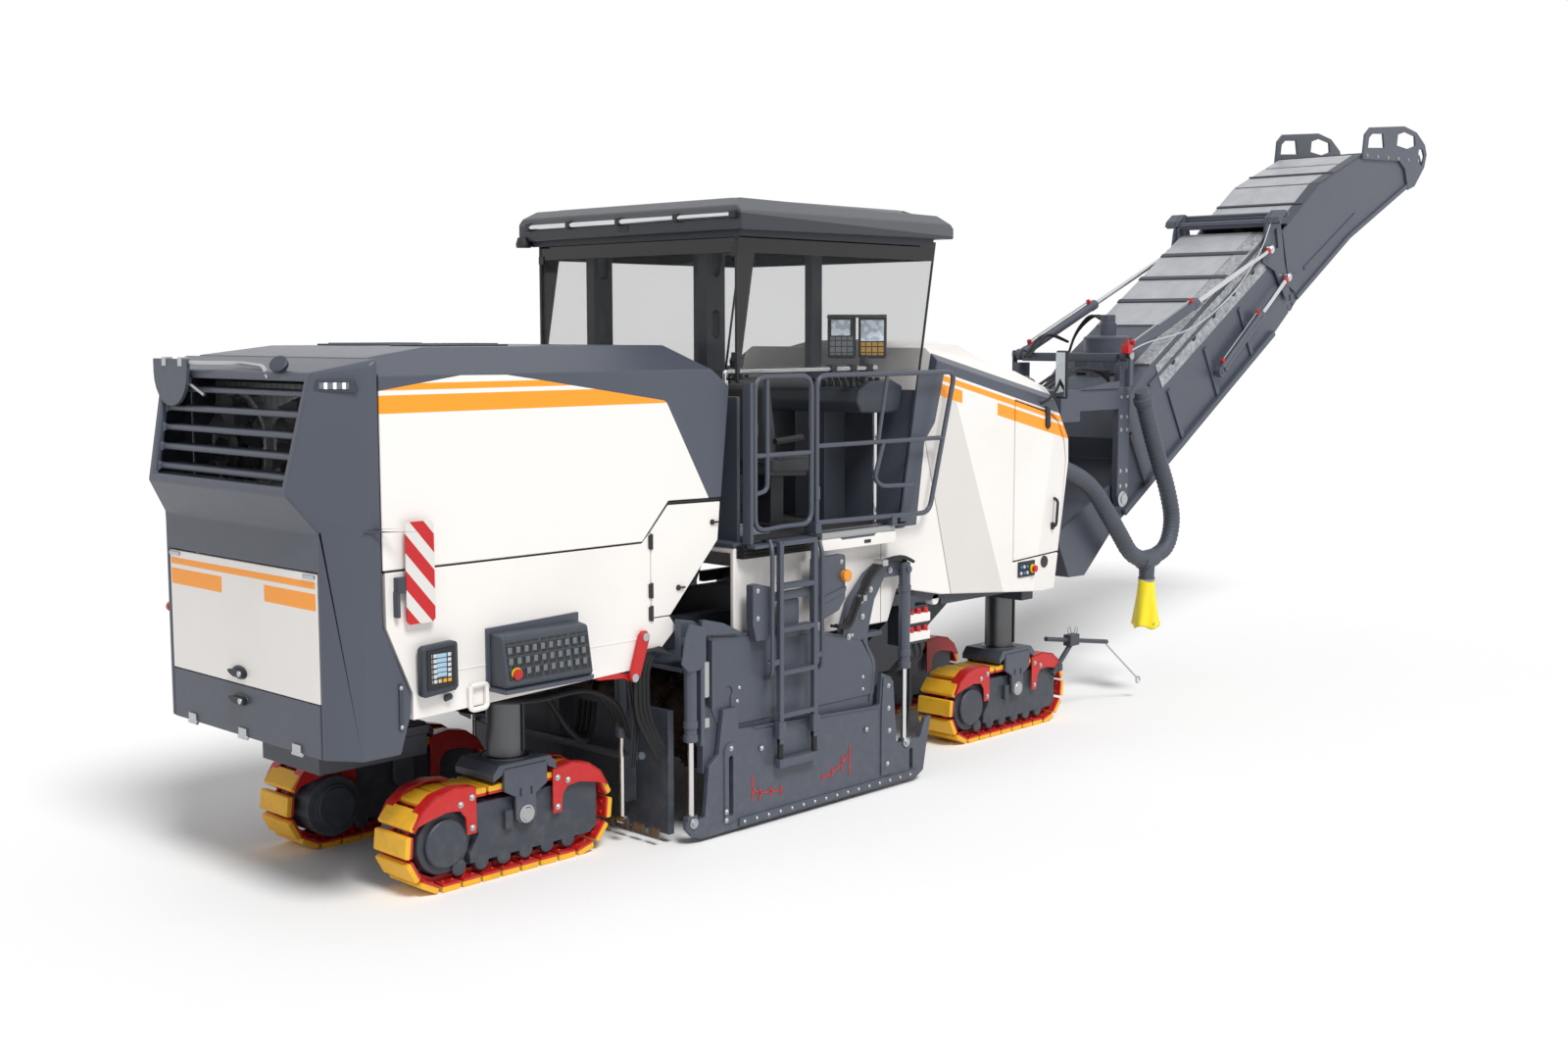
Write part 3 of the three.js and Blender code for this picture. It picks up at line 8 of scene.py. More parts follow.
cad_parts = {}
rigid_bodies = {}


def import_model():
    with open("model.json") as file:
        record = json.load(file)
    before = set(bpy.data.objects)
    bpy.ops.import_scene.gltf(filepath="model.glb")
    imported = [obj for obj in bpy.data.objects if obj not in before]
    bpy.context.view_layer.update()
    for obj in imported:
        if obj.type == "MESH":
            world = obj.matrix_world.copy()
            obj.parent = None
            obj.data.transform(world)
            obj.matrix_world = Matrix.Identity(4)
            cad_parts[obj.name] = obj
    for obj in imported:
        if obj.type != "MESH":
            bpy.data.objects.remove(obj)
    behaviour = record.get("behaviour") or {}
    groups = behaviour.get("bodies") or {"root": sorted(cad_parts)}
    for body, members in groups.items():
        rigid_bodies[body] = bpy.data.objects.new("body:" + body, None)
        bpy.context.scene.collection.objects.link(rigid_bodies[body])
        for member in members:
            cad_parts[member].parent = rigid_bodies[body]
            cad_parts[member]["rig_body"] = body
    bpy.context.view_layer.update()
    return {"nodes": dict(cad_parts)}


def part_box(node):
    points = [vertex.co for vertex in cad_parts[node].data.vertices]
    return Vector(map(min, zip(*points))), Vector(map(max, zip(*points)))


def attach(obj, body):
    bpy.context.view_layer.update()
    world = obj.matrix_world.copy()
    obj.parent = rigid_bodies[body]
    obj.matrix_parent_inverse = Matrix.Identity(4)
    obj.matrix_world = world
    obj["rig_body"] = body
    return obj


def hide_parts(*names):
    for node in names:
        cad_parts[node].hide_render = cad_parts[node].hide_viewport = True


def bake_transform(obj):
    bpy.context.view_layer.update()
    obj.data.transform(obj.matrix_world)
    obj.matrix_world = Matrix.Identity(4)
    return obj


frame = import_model()

# ---- camera, floor and light ----
# A camera at standing height behind the machine's right-hand corner, a white floor that runs
# out to a white horizon, an even sky and one large soft lamp high on the right-hand side.
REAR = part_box("tail_door")[0].x


def at(x, y, z):
    """A place measured from the tail's rear face, the centre plane and the ground."""
    return Vector((REAR + x, y, z))


bpy.ops.object.select_all(action="DESELECT")
bpy.ops.object.camera_add(location=at(-5.259, -9.509, 3.4),
    rotation=(math.radians(83.76), 0, math.radians(-46.33)))
camera = bpy.context.object
camera.data.lens = 40.31
camera.data.clip_end = 400
bpy.context.scene.camera = camera
bpy.context.scene.view_settings.view_transform = "Standard"

bpy.ops.object.light_add(type="SUN", rotation=(math.radians(36), math.radians(-12), 0))
lamp = bpy.context.object
lamp.data.energy = 2.36
lamp.data.angle = math.radians(20)


class Wire:
    """A socket of a shader that sums can be written with."""

    def __init__(self, finish, socket):
        self.finish = finish
        self.socket = socket

    def sum(self, operation, *values):
        inputs = dict(enumerate(values))
        return self.finish.node("ShaderNodeMath", {"operation": operation}, inputs)

    def __add__(self, other):
        return self.sum("ADD", self, other)

    def __radd__(self, other):
        return self.sum("ADD", other, self)

    def __sub__(self, other):
        return self.sum("SUBTRACT", self, other)

    def __rsub__(self, other):
        return self.sum("SUBTRACT", other, self)

    def __mul__(self, other):
        return self.sum("MULTIPLY", self, other)

    def __rmul__(self, other):
        return self.sum("MULTIPLY", other, self)

    def __truediv__(self, other):
        return self.sum("DIVIDE", self, other)

    def __gt__(self, other):
        return self.sum("GREATER_THAN", self, other)

    def __lt__(self, other):
        return self.sum("LESS_THAN", self, other)

    def least(self, other):
        return self.sum("MINIMUM", self, other)

    def most(self, other):
        return self.sum("MAXIMUM", self, other)

    def size(self):
        return self.sum("ABSOLUTE", self)

    def wave(self):
        return self.sum("SINE", self)

    def remainder(self, length):
        return self.sum("WRAP", self, length, 0.0)

    def between(self, low, high):
        return (self > low) * (self < high)

    def step(self, low, high):
        """0 below low, 1 above high and even in between."""
        wires = {0: self, 1: low, 2: high}
        return self.finish.node("ShaderNodeMapRange", {"clamp": True}, wires)


class Finish:
    """A material made of nodes round one Principled shader."""

    def __init__(self, name, slot="console_plastic"):
        self.slot = slot
        self.material = bpy.data.materials.new(name)
        self.material.use_nodes = True
        self.tree = self.material.node_tree
        self.shader = self.tree.nodes["Principled BSDF"]

    def node(self, kind, settings=None, inputs=None, output=0):
        new = self.tree.nodes.new(kind)
        for key, value in (settings or {}).items():
            setattr(new, key, value)
        for key, value in (inputs or {}).items():
            self.plug(new.inputs[key], value)
        return Wire(self, new.outputs[output])

    def plug(self, socket, value):
        if isinstance(value, Wire):
            self.tree.links.new(value.socket, socket)
        else:
            socket.default_value = value

    def set(self, **values):
        """Sets the shader's own sockets, with _ for a space in their names."""
        for key, value in values.items():
            self.plug(self.shader.inputs[key.replace("_", " ")], value)

    def place(self):
        return self.node("ShaderNodeTexCoord", output="Object")

    def split(self, vector):
        apart = self.tree.nodes.new("ShaderNodeSeparateXYZ")
        self.plug(apart.inputs[0], vector)
        return [Wire(self, socket) for socket in apart.outputs]

    def noise(self, place, scale, detail=2.0, rough=0.5):
        inputs = {"Vector": place, "Scale": scale, "Detail": detail, "Roughness": rough}
        return self.node("ShaderNodeTexNoise", None, inputs)

    def stretch(self, place, by):
        """The same pattern, drawn out along some axes."""
        inputs = {0: place, 1: by}
        return self.node("ShaderNodeVectorMath", {"operation": "MULTIPLY"}, inputs)

    def mix(self, share, first, second):
        """A colour between two colours, which may be written as codes."""
        first, second = (tone(c) if isinstance(c, str) else c for c in (first, second))
        settings = {"data_type": "RGBA"}
        return self.node("ShaderNodeMix", settings, {0: share, 6: first, 7: second}, 2)

    def bump(self, height, distance, strength=1.0, normal=None):
        inputs = {"Height": height, "Distance": distance, "Strength": strength}
        if normal:
            inputs["Normal"] = normal
        return self.node("ShaderNodeBump", None, inputs)


def tone(code, light=1.0):
    """A written colour such as 4a505c as the shader wants it, darker or lighter by a factor."""
    parts = [int(code[i : i + 2], 16) / 255 for i in (0, 2, 4)]
    linear = [p / 12.92 if p < 0.04045 else ((p + 0.055) / 1.055) ** 2.4 for p in parts]
    return [min(1.0, p * light) for p in linear] + [1.0]


bpy.ops.mesh.primitive_plane_add(size=260)
floor = bpy.context.object
floor.name = "floor"
ground = Finish("studio_floor")
grain = ground.noise(ground.place(), 0.8)
ground.set(Base_Color=ground.mix(grain, "fdfdfd", "ffffff"), Roughness=0.9,
    Specular_IOR_Level=0.0)
floor.data.materials.append(ground.material)

sky = bpy.data.worlds.new("studio")
bpy.context.scene.world = sky
sky.use_nodes = True
nodes, links = sky.node_tree.nodes, sky.node_tree.links
path = nodes.new("ShaderNodeLightPath")
seen = nodes.new("ShaderNodeMath")
seen.operation = "MAXIMUM"
links.new(path.outputs["Is Camera Ray"], seen.inputs[0])
mirrored_ray = nodes.new("ShaderNodeMath")
mirrored_ray.operation = "MAXIMUM"
links.new(path.outputs["Is Glossy Ray"], mirrored_ray.inputs[0])
links.new(path.outputs["Is Transmission Ray"], mirrored_ray.inputs[1])
links.new(mirrored_ray.outputs[0], seen.inputs[1])
level = nodes.new("ShaderNodeMapRange")
level.inputs["To Min"].default_value = 0.44
level.inputs["To Max"].default_value = 1.0
links.new(seen.outputs[0], level.inputs["Value"])
backdrop = nodes["Background"]
backdrop.inputs["Color"].default_value = (1, 1, 1, 1)
links.new(level.outputs[0], backdrop.inputs["Strength"])

# ---- tail ----
# The rear end is one welded steel housing in blue-grey enamel. Its upper half bulges rearwards
# round an open grille, and the panels beside the door run down to two chamfered corner covers.


def rest():
    """Object mode, with nothing selected."""
    if bpy.context.object and bpy.context.object.mode != "OBJECT":
        bpy.ops.object.mode_set(mode="OBJECT")
    bpy.ops.object.select_all(action="DESELECT")


def take(piece):
    rest()
    piece.select_set(True)
    bpy.context.view_layer.objects.active = piece
    return piece


def edit(piece):
    take(piece)
    bpy.ops.object.mode_set(mode="EDIT")
    bpy.ops.mesh.select_all(action="SELECT")
    return piece


def modify(piece, kind, **settings):
    take(piece)
    bpy.ops.object.modifier_add(type=kind)
    modifier = piece.modifiers[-1]
    for key, value in settings.items():
        setattr(modifier, key, value)
    bpy.ops.object.modifier_apply(modifier=modifier.name)


def soften(piece, width=0.004, segments=2, crease=30, clamp=True):
    """Rounds the edges and leaves the flats shading flat."""
    angle = math.radians(crease)
    if width:
        modify(piece, "BEVEL", width=width, segments=segments, limit_method="ANGLE",
            angle_limit=angle, use_clamp_overlap=clamp)
    take(piece)
    bpy.ops.object.shade_smooth_by_angle(angle=math.radians(40))
    modify(piece, "WEIGHTED_NORMAL", keep_sharp=True)
    return piece


def outward(piece):
    edit(piece)
    bpy.ops.mesh.remove_doubles(threshold=0.00005)
    bpy.ops.mesh.normals_make_consistent(inside=False)
    rest()
    return piece


def block(name, low, high, soft=0.004):
    """A box between two places, with rounded edges."""
    rest()
    a, b = at(*low), at(*high)
    bpy.ops.mesh.primitive_cube_add(size=1, location=(a + b) / 2)
    piece = bpy.context.object
    piece.name = name
    piece.scale = [abs(n) for n in b - a]
    bpy.ops.object.transform_apply(location=True, rotation=True, scale=True)
    return soften(piece, soft)


PLANES = {"xz": (0, 2, 1), "yz": (1, 2, 0), "xy": (0, 1, 2)}


def cut(name, outline, near, far, soft=0.004, segments=2, plane="xz"):
    """A plate cut to an outline in one plane, as thick as from near to far."""
    rest()
    bpy.ops.mesh.primitive_circle_add(vertices=len(outline), fill_type="NGON")
    piece = bpy.context.object
    piece.name = name
    first, second, across = PLANES[plane]
    for vertex, (u, v) in zip(piece.data.vertices, outline):
        place = [0.0, 0.0, 0.0]
        place[first], place[second], place[across] = u, v, near
        vertex.co = at(*place)
    reach = [0.0, 0.0, 0.0]
    reach[across] = far - near
    edit(piece)
    bpy.ops.mesh.extrude_region_move(TRANSFORM_OT_translate={"value": reach})
    bpy.ops.mesh.select_all(action="SELECT")
    bpy.ops.mesh.normals_make_consistent(inside=False)
    rest()
    return soften(piece, soft, segments)


def turned(name, start, end, profile, sides=24, soft=0.0):
    """A round piece: its profile gives radii at distances along the line from start."""
    rest()
    bpy.ops.mesh.primitive_circle_add(vertices=sides, radius=profile[0][1], fill_type="NGON")
    piece = bpy.context.object
    piece.name = name
    edit(piece)
    before, width = profile[0]
    for along, radius in profile[1:]:
        bpy.ops.mesh.extrude_region_move(TRANSFORM_OT_translate={"value": (0, 0, along - before)})
        scale = radius / width
        bpy.ops.transform.resize(value=(scale, scale, 1))
        before, width = along, radius
    bpy.ops.mesh.select_all(action="SELECT")
    bpy.ops.mesh.remove_doubles(threshold=0.00005)
    bpy.ops.mesh.normals_make_consistent(inside=False)
    rest()
    a, b = at(*start), at(*end)
    spin = (b - a).to_track_quat("Z", "Y").to_matrix().to_4x4()
    shift = Matrix.Translation((0, 0, profile[0][0]))
    piece.data.transform(Matrix.Translation(a) @ spin @ shift)
    return soften(piece, soft)


def rod(name, start, end, radius, sides=16, soft=0.0):
    length = (Vector(end) - Vector(start)).length
    edge = min(radius * 0.2, length * 0.2, soft or radius * 0.12)
    profile = [(0, radius - edge), (edge, radius), (length - edge, radius),
        (length, radius - edge)]
    return turned(name, start, end, profile, sides)


def bent(points, radius, steps=5):
    """The points of a path whose corners are rounded to a radius."""
    path = [Vector(points[0])]
    for before, corner, after in zip(points, points[1:], points[2:]):
        corner = Vector(corner)
        back, on = Vector(before) - corner, Vector(after) - corner
        reach = min(radius, back.length * 0.48, on.length * 0.48)
        a, b = corner + back.normalized() * reach, corner + on.normalized() * reach
        for i in range(steps + 1):
            t = i / steps
            path.append(a * (1 - t) ** 2 + corner * 2 * t * (1 - t) + b * t**2)
    path.append(Vector(points[-1]))
    return path


def upright(y, *spots):
    """Places of a path in one upright plane, from their x and z."""
    return [(x, y, z) for x, z in spots]


def swept(name, path, radius, roundness, crease, widths=(1.0,)):
    """A round section carried along a path; its width follows the list of widths in turn."""
    curve = bpy.data.curves.new(name, "CURVE")
    curve.dimensions = "3D"
    curve.bevel_depth = radius
    curve.bevel_resolution = roundness
    curve.use_fill_caps = True
    line = curve.splines.new("POLY")
    line.points.add(len(path) - 1)
    for i, (point, place) in enumerate(zip(line.points, path)):
        point.co = (*at(*place), 1)
        point.radius = widths[i % len(widths)]
    piece = bpy.data.objects.new(name, curve)
    bpy.context.scene.collection.objects.link(piece)
    take(piece)
    bpy.ops.object.convert(target="MESH")
    piece = bpy.context.object
    piece.name = name
    outward(piece)
    take(piece)
    bpy.ops.object.shade_smooth_by_angle(angle=math.radians(crease))
    return piece


def tube(name, points, radius, bend=0.06, sides=10):
    """A tube or hose along a path with rounded corners."""
    path = bent(points, bend) if bend else [Vector(p) for p in points]
    return swept(name, path, radius, max(1, sides // 4 - 1), 50)


def join(name, *pieces):
    rest()
    for piece in pieces:
        piece.select_set(True)
    bpy.context.view_layer.objects.active = pieces[0]
    bpy.ops.object.join()
    pieces[0].name = name
    return pieces[0]


def repeat(name, piece, moves):
    """One piece and its copies at each move, a distance or a matrix, as one mesh."""
    rest()
    made = []
    for move in moves:
        copy = piece.copy()
        copy.data = piece.data.copy()
        turn = move if isinstance(move, Matrix) else Matrix.Translation(Vector(move))
        copy.data.transform(turn)
        bpy.context.scene.collection.objects.link(copy)
        made.append(copy)
    bpy.data.objects.remove(piece)
    return join(name, *made)


def about(x, y, z, axis, degrees):
    """A turn about an axis through a place."""
    centre = at(x, y, z)
    turn = Matrix.Rotation(math.radians(degrees), 4, axis)
    return Matrix.Translation(centre) @ turn @ Matrix.Translation(-centre)


def paint(piece, finish, *nodes, slot=None):
    """Paints a piece and hides the CAD nodes that it stands for."""
    piece.data.materials.clear()
    piece.data.materials.append(finish.material)
    slot or finish.slot
    if nodes:
        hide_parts(*nodes)
    return piece


def fit(piece, finish, body="chassis", *nodes, slot=None):
    """Paints a piece and fixes it to its body."""
    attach(piece, body)
    return paint(piece, finish, *nodes, slot=slot)


def both(piece, finish, body="chassis", *nodes, slot=None):
    """Fits a right-hand piece, and the same piece mirrored to the left-hand side."""
    fit(piece, finish, body, *nodes, slot=slot)
    twin = piece.copy()
    twin.data = piece.data.copy()
    for key in list(twin.keys()):
        del twin[key]
    twin.parent = None
    bpy.context.scene.collection.objects.link(twin)
    twin.data.transform(Matrix.Scale(-1, 4, (0, 1, 0)))
    twin.data.flip_normals()
    name = piece.name
    twin.name = name.replace("right", "left") if "right" in name else name + "_left"
    lefts = [node.replace("right", "left") for node in nodes]
    fit(twin, finish, body.replace("right", "left"), *lefts, slot=slot)


def shell(node, finish, soft=0.006, segments=2, crease=25, slot=None):
    """A cast of a CAD node with merged faces and rounded edges, which stands for it."""
    rest()
    source = frame["nodes"][node]
    take(source)
    bpy.ops.object.duplicate()
    piece = bpy.context.object
    body = piece["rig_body"]
    for key in list(piece.keys()):
        del piece[key]
    piece.parent = None
    piece.name = node + "_shell"
    edit(piece)
    bpy.ops.mesh.remove_doubles(threshold=0.0002)
    bpy.ops.mesh.dissolve_limited(angle_limit=math.radians(1.0))
    soften(piece, soft, segments, crease, clamp=False)
    return fit(piece, finish, body, node, slot=slot)


def enamel(name, colour, rough=0.42, pattern=None, slot="grey_paint"):
    """Sprayed enamel: a faint orange peel, slow changes of shade and dust near the ground."""
    finish = Finish(name, slot)
    place = finish.place()
    base = tone(colour)
    darker = [part * 0.93 for part in base[:3]] + [1.0]
    cloud = finish.noise(place, 0.9, 3.0)
    fine = finish.noise(place, 14.0, 4.0, 0.6)
    shade = finish.mix(cloud.step(0.35, 0.65), darker, base)
    if pattern:
        shade = pattern(finish, place, shade)
    height = finish.split(place)[2]
    dust = (1 - height.step(0.0, 1.1)) * fine.step(0.45, 0.75) * 0.16
    shade = finish.mix(dust, shade, "9a9389")
    peel = finish.noise(place, 260.0, 2.0)
    normal = finish.bump(peel, 0.0004, 0.35)
    finish.set(Base_Color=shade, Roughness=fine * 0.12 + (rough - 0.06) + dust, Normal=normal,
        Coat_Roughness=0.25)
    return finish


GREY = "4b505c"
grey = enamel("blue_grey_enamel", GREY)
dark = enamel("dark_grey_enamel", "3a3f49", 0.5, slot="dark_paint")
shell("tail_housing", grey, 0.014, 3, 20)


def plastic(name, colour, rough=0.55, grain=420.0, slot="console_plastic"):
    """Moulded plastic with a fine leather grain."""
    finish = Finish(name, slot)
    place = finish.place()
    cloud = finish.noise(place, 3.0, 3.0)
    shade = finish.mix(cloud, tone(colour, 0.85), tone(colour, 1.12))
    leather = finish.noise(place, grain, 3.0, 0.6)
    finish.set(Base_Color=shade, Roughness=leather * 0.2 + (rough - 0.1),
        Normal=finish.bump(leather, 0.0005, 0.5))
    return finish


def bare(name, colour, rough=0.25, brush=(1.0, 1.0, 1.0), dirt=0.2, slot="column_steel"):
    """Bare metal with faint marks along one direction and dull patches."""
    finish = Finish(name, slot)
    place = finish.place()
    marks = finish.noise(finish.stretch(place, brush), 60.0, 4.0, 0.6)
    patch = finish.noise(place, 4.0, 4.0, 0.6)
    shade = finish.mix(patch.step(0.4, 0.8) * dirt, colour, "5c5853")
    finish.set(Base_Color=shade, Metallic=1.0,
        Roughness=marks * 0.14 + patch * 0.1 + (rough - 0.12),
        Normal=finish.bump(marks, 0.0003, 0.3))
    return finish


black = plastic("black_plastic", "1e2024", 0.5)
chrome = bare("polished_chrome", "d8d9db", 0.16, (1, 1, 6), 0.1, slot="chrome_rod")
zinc = bare("zinc_plated_steel", "b9bbbd", 0.34)
red = enamel("red_enamel", "c41d1d", 0.4, slot="console_plastic")

# Two fans in round shrouds draw air through a pale finned cooler behind the grille.
alloy = Finish("cooler_fins", slot="column_steel")
place = alloy.place()
y, z = alloy.split(place)[1:]
fins = (z * 900.0).wave() * 0.5 + 0.5
tubes = (y * 90.0).wave().step(0.4, 0.9)
alloy.set(Base_Color=alloy.mix(fins * 0.5 + tubes * 0.3, "c3c5c4", "74777a"), Metallic=0.6,
    Roughness=alloy.noise(place, 20.0) * 0.2 + 0.4, Normal=alloy.bump(fins, 0.002, 0.6))
shell("cooler_pack", alloy, 0.003, slot="cooler_alloy")
for side in (-1, 1):
    blade = cut("fan_blade",
        [(0.0, 0.05), (0.05, 0.07), (0.16, 0.24), (0.05, 0.28), (-0.03, 0.26)], 0.0, 0.012, 0.002,
        plane="yz")
    blade.data.transform(Matrix.Translation(-at(0, 0, 0)))
    blade.data.transform(Matrix.Rotation(math.radians(26), 4, "Z"))
    centre = Matrix.Translation(at(0.225, side * 0.37, 2.72))
    blades = repeat("blades", blade,
        [centre @ Matrix.Rotation(math.radians(45 * i), 4, "X") for i in range(8)])
    cap = turned("hub", (0.18, side * 0.37, 2.72), (0.26, side * 0.37, 2.72),
        [(0, 0.03), (0.012, 0.06), (0.075, 0.075)], 20)
    name = "right_fan" if side < 0 else "left_fan"
    fit(join(name, blades, cap), black)

# A half-round shield hangs on a chrome rail over the grille, with two bent grab tubes beside it.
shield_outline = [(0.87, 3.235), (0.45, 3.235), (0.45, 3.16)]
shield_outline += [
    (0.66 - 0.21 * math.cos(math.radians(a)), 3.155 - 0.21 * math.sin(math.radians(a)))
    for a in range(0, 181, 15)]
shield_outline += [(0.87, 3.16)]
fit(cut("round_shield", shield_outline, -0.055, -0.03, 0.004, plane="yz"), grey)
rail = tube("shield_rail",
    [(-0.02, 0.86, 3.19), (-0.035, 0.8, 3.215), (-0.035, 0.3, 3.215), (0.05, 0.0, 3.215),
        (0.03, -0.3, 3.2), (-0.01, -0.42, 3.13)], 0.013, 0.05)
clamps = repeat("clamps", block("clamp", (-0.06, 0.7, 3.19), (-0.01, 0.75, 3.245)),
    [(0, 0, 0), (0, -0.2, 0)])
lower_tube = tube("lower_tube", [(-0.01, 0.62, 3.02), (-0.03, 0.5, 3.1), (-0.02, 0.3, 3.02)],
    0.011)
fit(join("shield_rail", rail, lower_tube), zinc, slot="chrome_rod")
fit(clamps, zinc)
knob = turned("filler_cap", (0.02, -0.52, 3.19), (-0.05, -0.56, 3.25),
    [(0, 0.03), (0.02, 0.03), (0.022, 0.052), (0.05, 0.055), (0.058, 0.045)], 24)
fit(knob, dark)

# Lamp with four diodes in a chamfered recess of the right cheek.
cheek = at(0.09, -0.955, 3.1)
bezel = cut("lamp_bezel", [(-0.13, -0.035), (0.13, -0.035), (0.105, 0.035), (-0.105, 0.035)],
    -0.012, 0.0, 0.004, plane="yz")
window = cut("lamp_window", [(-0.085, -0.018), (0.085, -0.018), (0.085, 0.018), (-0.085, 0.018)],
    -0.02, -0.01, 0.003, plane="yz")
turn = Matrix.Translation(cheek) @ Matrix.Rotation(math.radians(41), 4, "Z")
for part in (bezel, window):
    part.data.transform(turn @ Matrix.Translation(-at(0, 0, 0)))
led = Finish("lamp_diodes")
y = led.split(led.place())[1]
dots = (y * 160.0).wave().step(0.2, 0.7)
led.set(Base_Color=led.mix(dots, "6f767c", "f4f8fa"), Roughness=dots * 0.1 + 0.08,
    Emission_Color=led.mix(dots, "000000", "ffffff"), Emission_Strength=0.35,
    Normal=led.bump(dots, 0.004, 0.5))
both(bezel, dark)
both(window, led)

# A red side lamp at the tail's left edge, and the bolted strips of the corner covers.
lens = Finish("red_lens")
ridges = (lens.split(lens.place())[2] * 500.0).wave()
lens.set(Base_Color=lens.mix(ridges * 0.5 + 0.5, "a30f12", "d92024"), Roughness=0.15,
    Normal=lens.bump(ridges, 0.001, 0.4))
fit(turned("left_side_lamp", (0.05, 0.87, 1.66), (0.05, 0.985, 1.66),
        [(0.06, 0.02), (0.07, 0.035), (0.1, 0.032), (0.115, 0.016)], 16), lens)
both(cut("right_corner_strip", [(0.372, 1.12), (0.397, 1.12), (0.397, 1.39), (0.372, 1.39)],
        -1.092, -1.08, 0.002), dark)


def bolt(name, start, end, radius=0.012):
    """A hexagon head on a round washer."""
    washer = turned("washer", start, end, [(0, radius * 1.6), (radius * 0.3, radius * 1.6)], 14)
    head = turned("head", start, end,
        [(0, radius), (radius * 0.8, radius), (radius, radius * 0.8)], 6)
    return join(name, washer, head)


both(repeat("right_corner_screws",
        bolt("screw", (0.384, -1.09, 1.14), (0.384, -1.12, 1.14), 0.008),
        [(0, 0, 0), (0, 0, 0.23)]), zinc)

# ---- tail door and flap ----
# Two sheet-steel leaves close the tail: a white door with orange bands, hinged along its top,
# and a grey flap hinged along its foot. Each has a folding grip with a round lock in its dish.
ORANGE = "ff9f20"


def door_bands(finish, place, base):
    y, z = finish.split(place)[1:]
    thin = z.between(1.954, 1.995)
    thick = z.between(1.829, 1.928) * ((y + 0.032).size() > 0.246)
    bands = (thin + thick) * (y.size() < 0.838)
    return finish.mix(bands, base, ORANGE)


WHITE = "f2eeea"
door_paint = enamel("tail_door_enamel", WHITE, 0.36, door_bands, slot="white_paint")
shell("tail_door", door_paint, 0.006)
shell("tail_flap", grey, 0.006)
for body, z in (("tail_door", 1.365), ("tail_flap", 1.2)):
    dish = turned(body + "_dish", (0.001, 0.03, z), (-0.02, 0.03, z),
        [(0, 0.085), (0.006, 0.083), (0.009, 0.075)], 28)
    dish.data.transform(Matrix.Translation(at(0, 0, z)) @ Matrix.Scale(0.5, 4,
            (0, 0, 1)) @ Matrix.Translation(-at(0, 0, z)))
    grip = cut(body + "_grip",
        [(-0.08, -0.022), (0.03, -0.026), (0.085, -0.008), (0.1, 0.012), (0.03, 0.02),
            (-0.08, 0.022)], -0.034, -0.008, 0.005, plane="yz")
    grip.data.transform(Matrix.Translation((0, 0.03, z)))
    lock = turned(body + "_lock", (-0.03, -0.02, z), (-0.05, -0.02, z),
        [(0, 0.02), (0.01, 0.018)], 16)
    fit(dish, dark, body)
    fit(grip, black, body)
    fit(lock, zinc, body)
leaf = block("hinge_leaf", (-0.014, 0.57, 0.978), (0.0, 0.66, 1.03), 0.002)
knuckle = rod("hinge_pin", (-0.006, 0.565, 0.972), (-0.006, 0.665, 0.972), 0.012, 12)
fit(repeat("flap_hinges", join("hinge", leaf, knuckle),
        [(0, 0, 0), (0, -0.61, 0), (0, -1.22, 0)]), zinc, "tail_flap")
fit(repeat("door_top_catches", block("catch", (-0.012, 0.72, 2.012), (0.0, 0.84, 2.034), 0.003),
        [(0, 0, 0), (0, -1.56, 0)]), zinc, "tail_door")

# ---- hood ----
# A hinged sheet-metal hood over the engine: blue-grey on top and at its front end, and warm
# white on its flanks, where two orange bands run forward and end against the grey.


def over(finish, x, z, first, last):
    """How far a place lies under the line through two places of the side view."""
    slope = (last[1] - first[1]) / (last[0] - first[0])
    return (x - REAR) * slope + (first[1] - first[0] * slope) - z


def hood_colours(finish, place, base):
    x, y, z = finish.split(place)
    corners = [(0.284, 3.068), (0.85, 3.147), (1.194, 3.144), (1.407, 3.112), (2.392, 2.973)]
    field = over(finish, x, z, *corners[0:2])
    for first, last in zip(corners[1:], corners[2:]):
        field = field.least(over(finish, x, z, first, last))
    nose = over(finish, x, z, (2.485, 2.914), (2.834, 2.309)) * 0.5
    field = finish.node("ShaderNodeMath", {"operation": "SMOOTH_MIN"},
        {0: field, 1: nose, 2: 0.03})
    flank = (field > 0.0) * (y.size() > 1.07)
    bands = z.between(2.94, 3.043) + z.between(3.07, 3.108)
    side = finish.mix(bands, WHITE, ORANGE)
    return finish.mix(flank, base, side)


hood_paint = enamel("hood_enamel", GREY, 0.38, hood_colours, slot="white_paint")
shell("hood", hood_paint, 0.008, 3, 20)
shell("engine_block", plastic("engine_casting", "3c3d40", 0.7, 120.0, slot="engine_casting"),
    0.02)

# Two louvred covers and the rain cap of the exhaust sit on the hood's flat top.
cover = cut("hood_cover", [(0.95, 0.2), (1.55, 0.2), (1.55, 0.62), (0.95, 0.62)], 3.31, 3.322,
    0.004, plane="xy")
louvre = block("louvre", (1.0, 0.25, 3.32), (1.03, 0.57, 3.328), 0.003)
louvres = repeat("louvres", louvre, [(0.06 * i, 0, 0) for i in range(9)])
both(join("hood_cover", cover, louvres), grey, "hood")

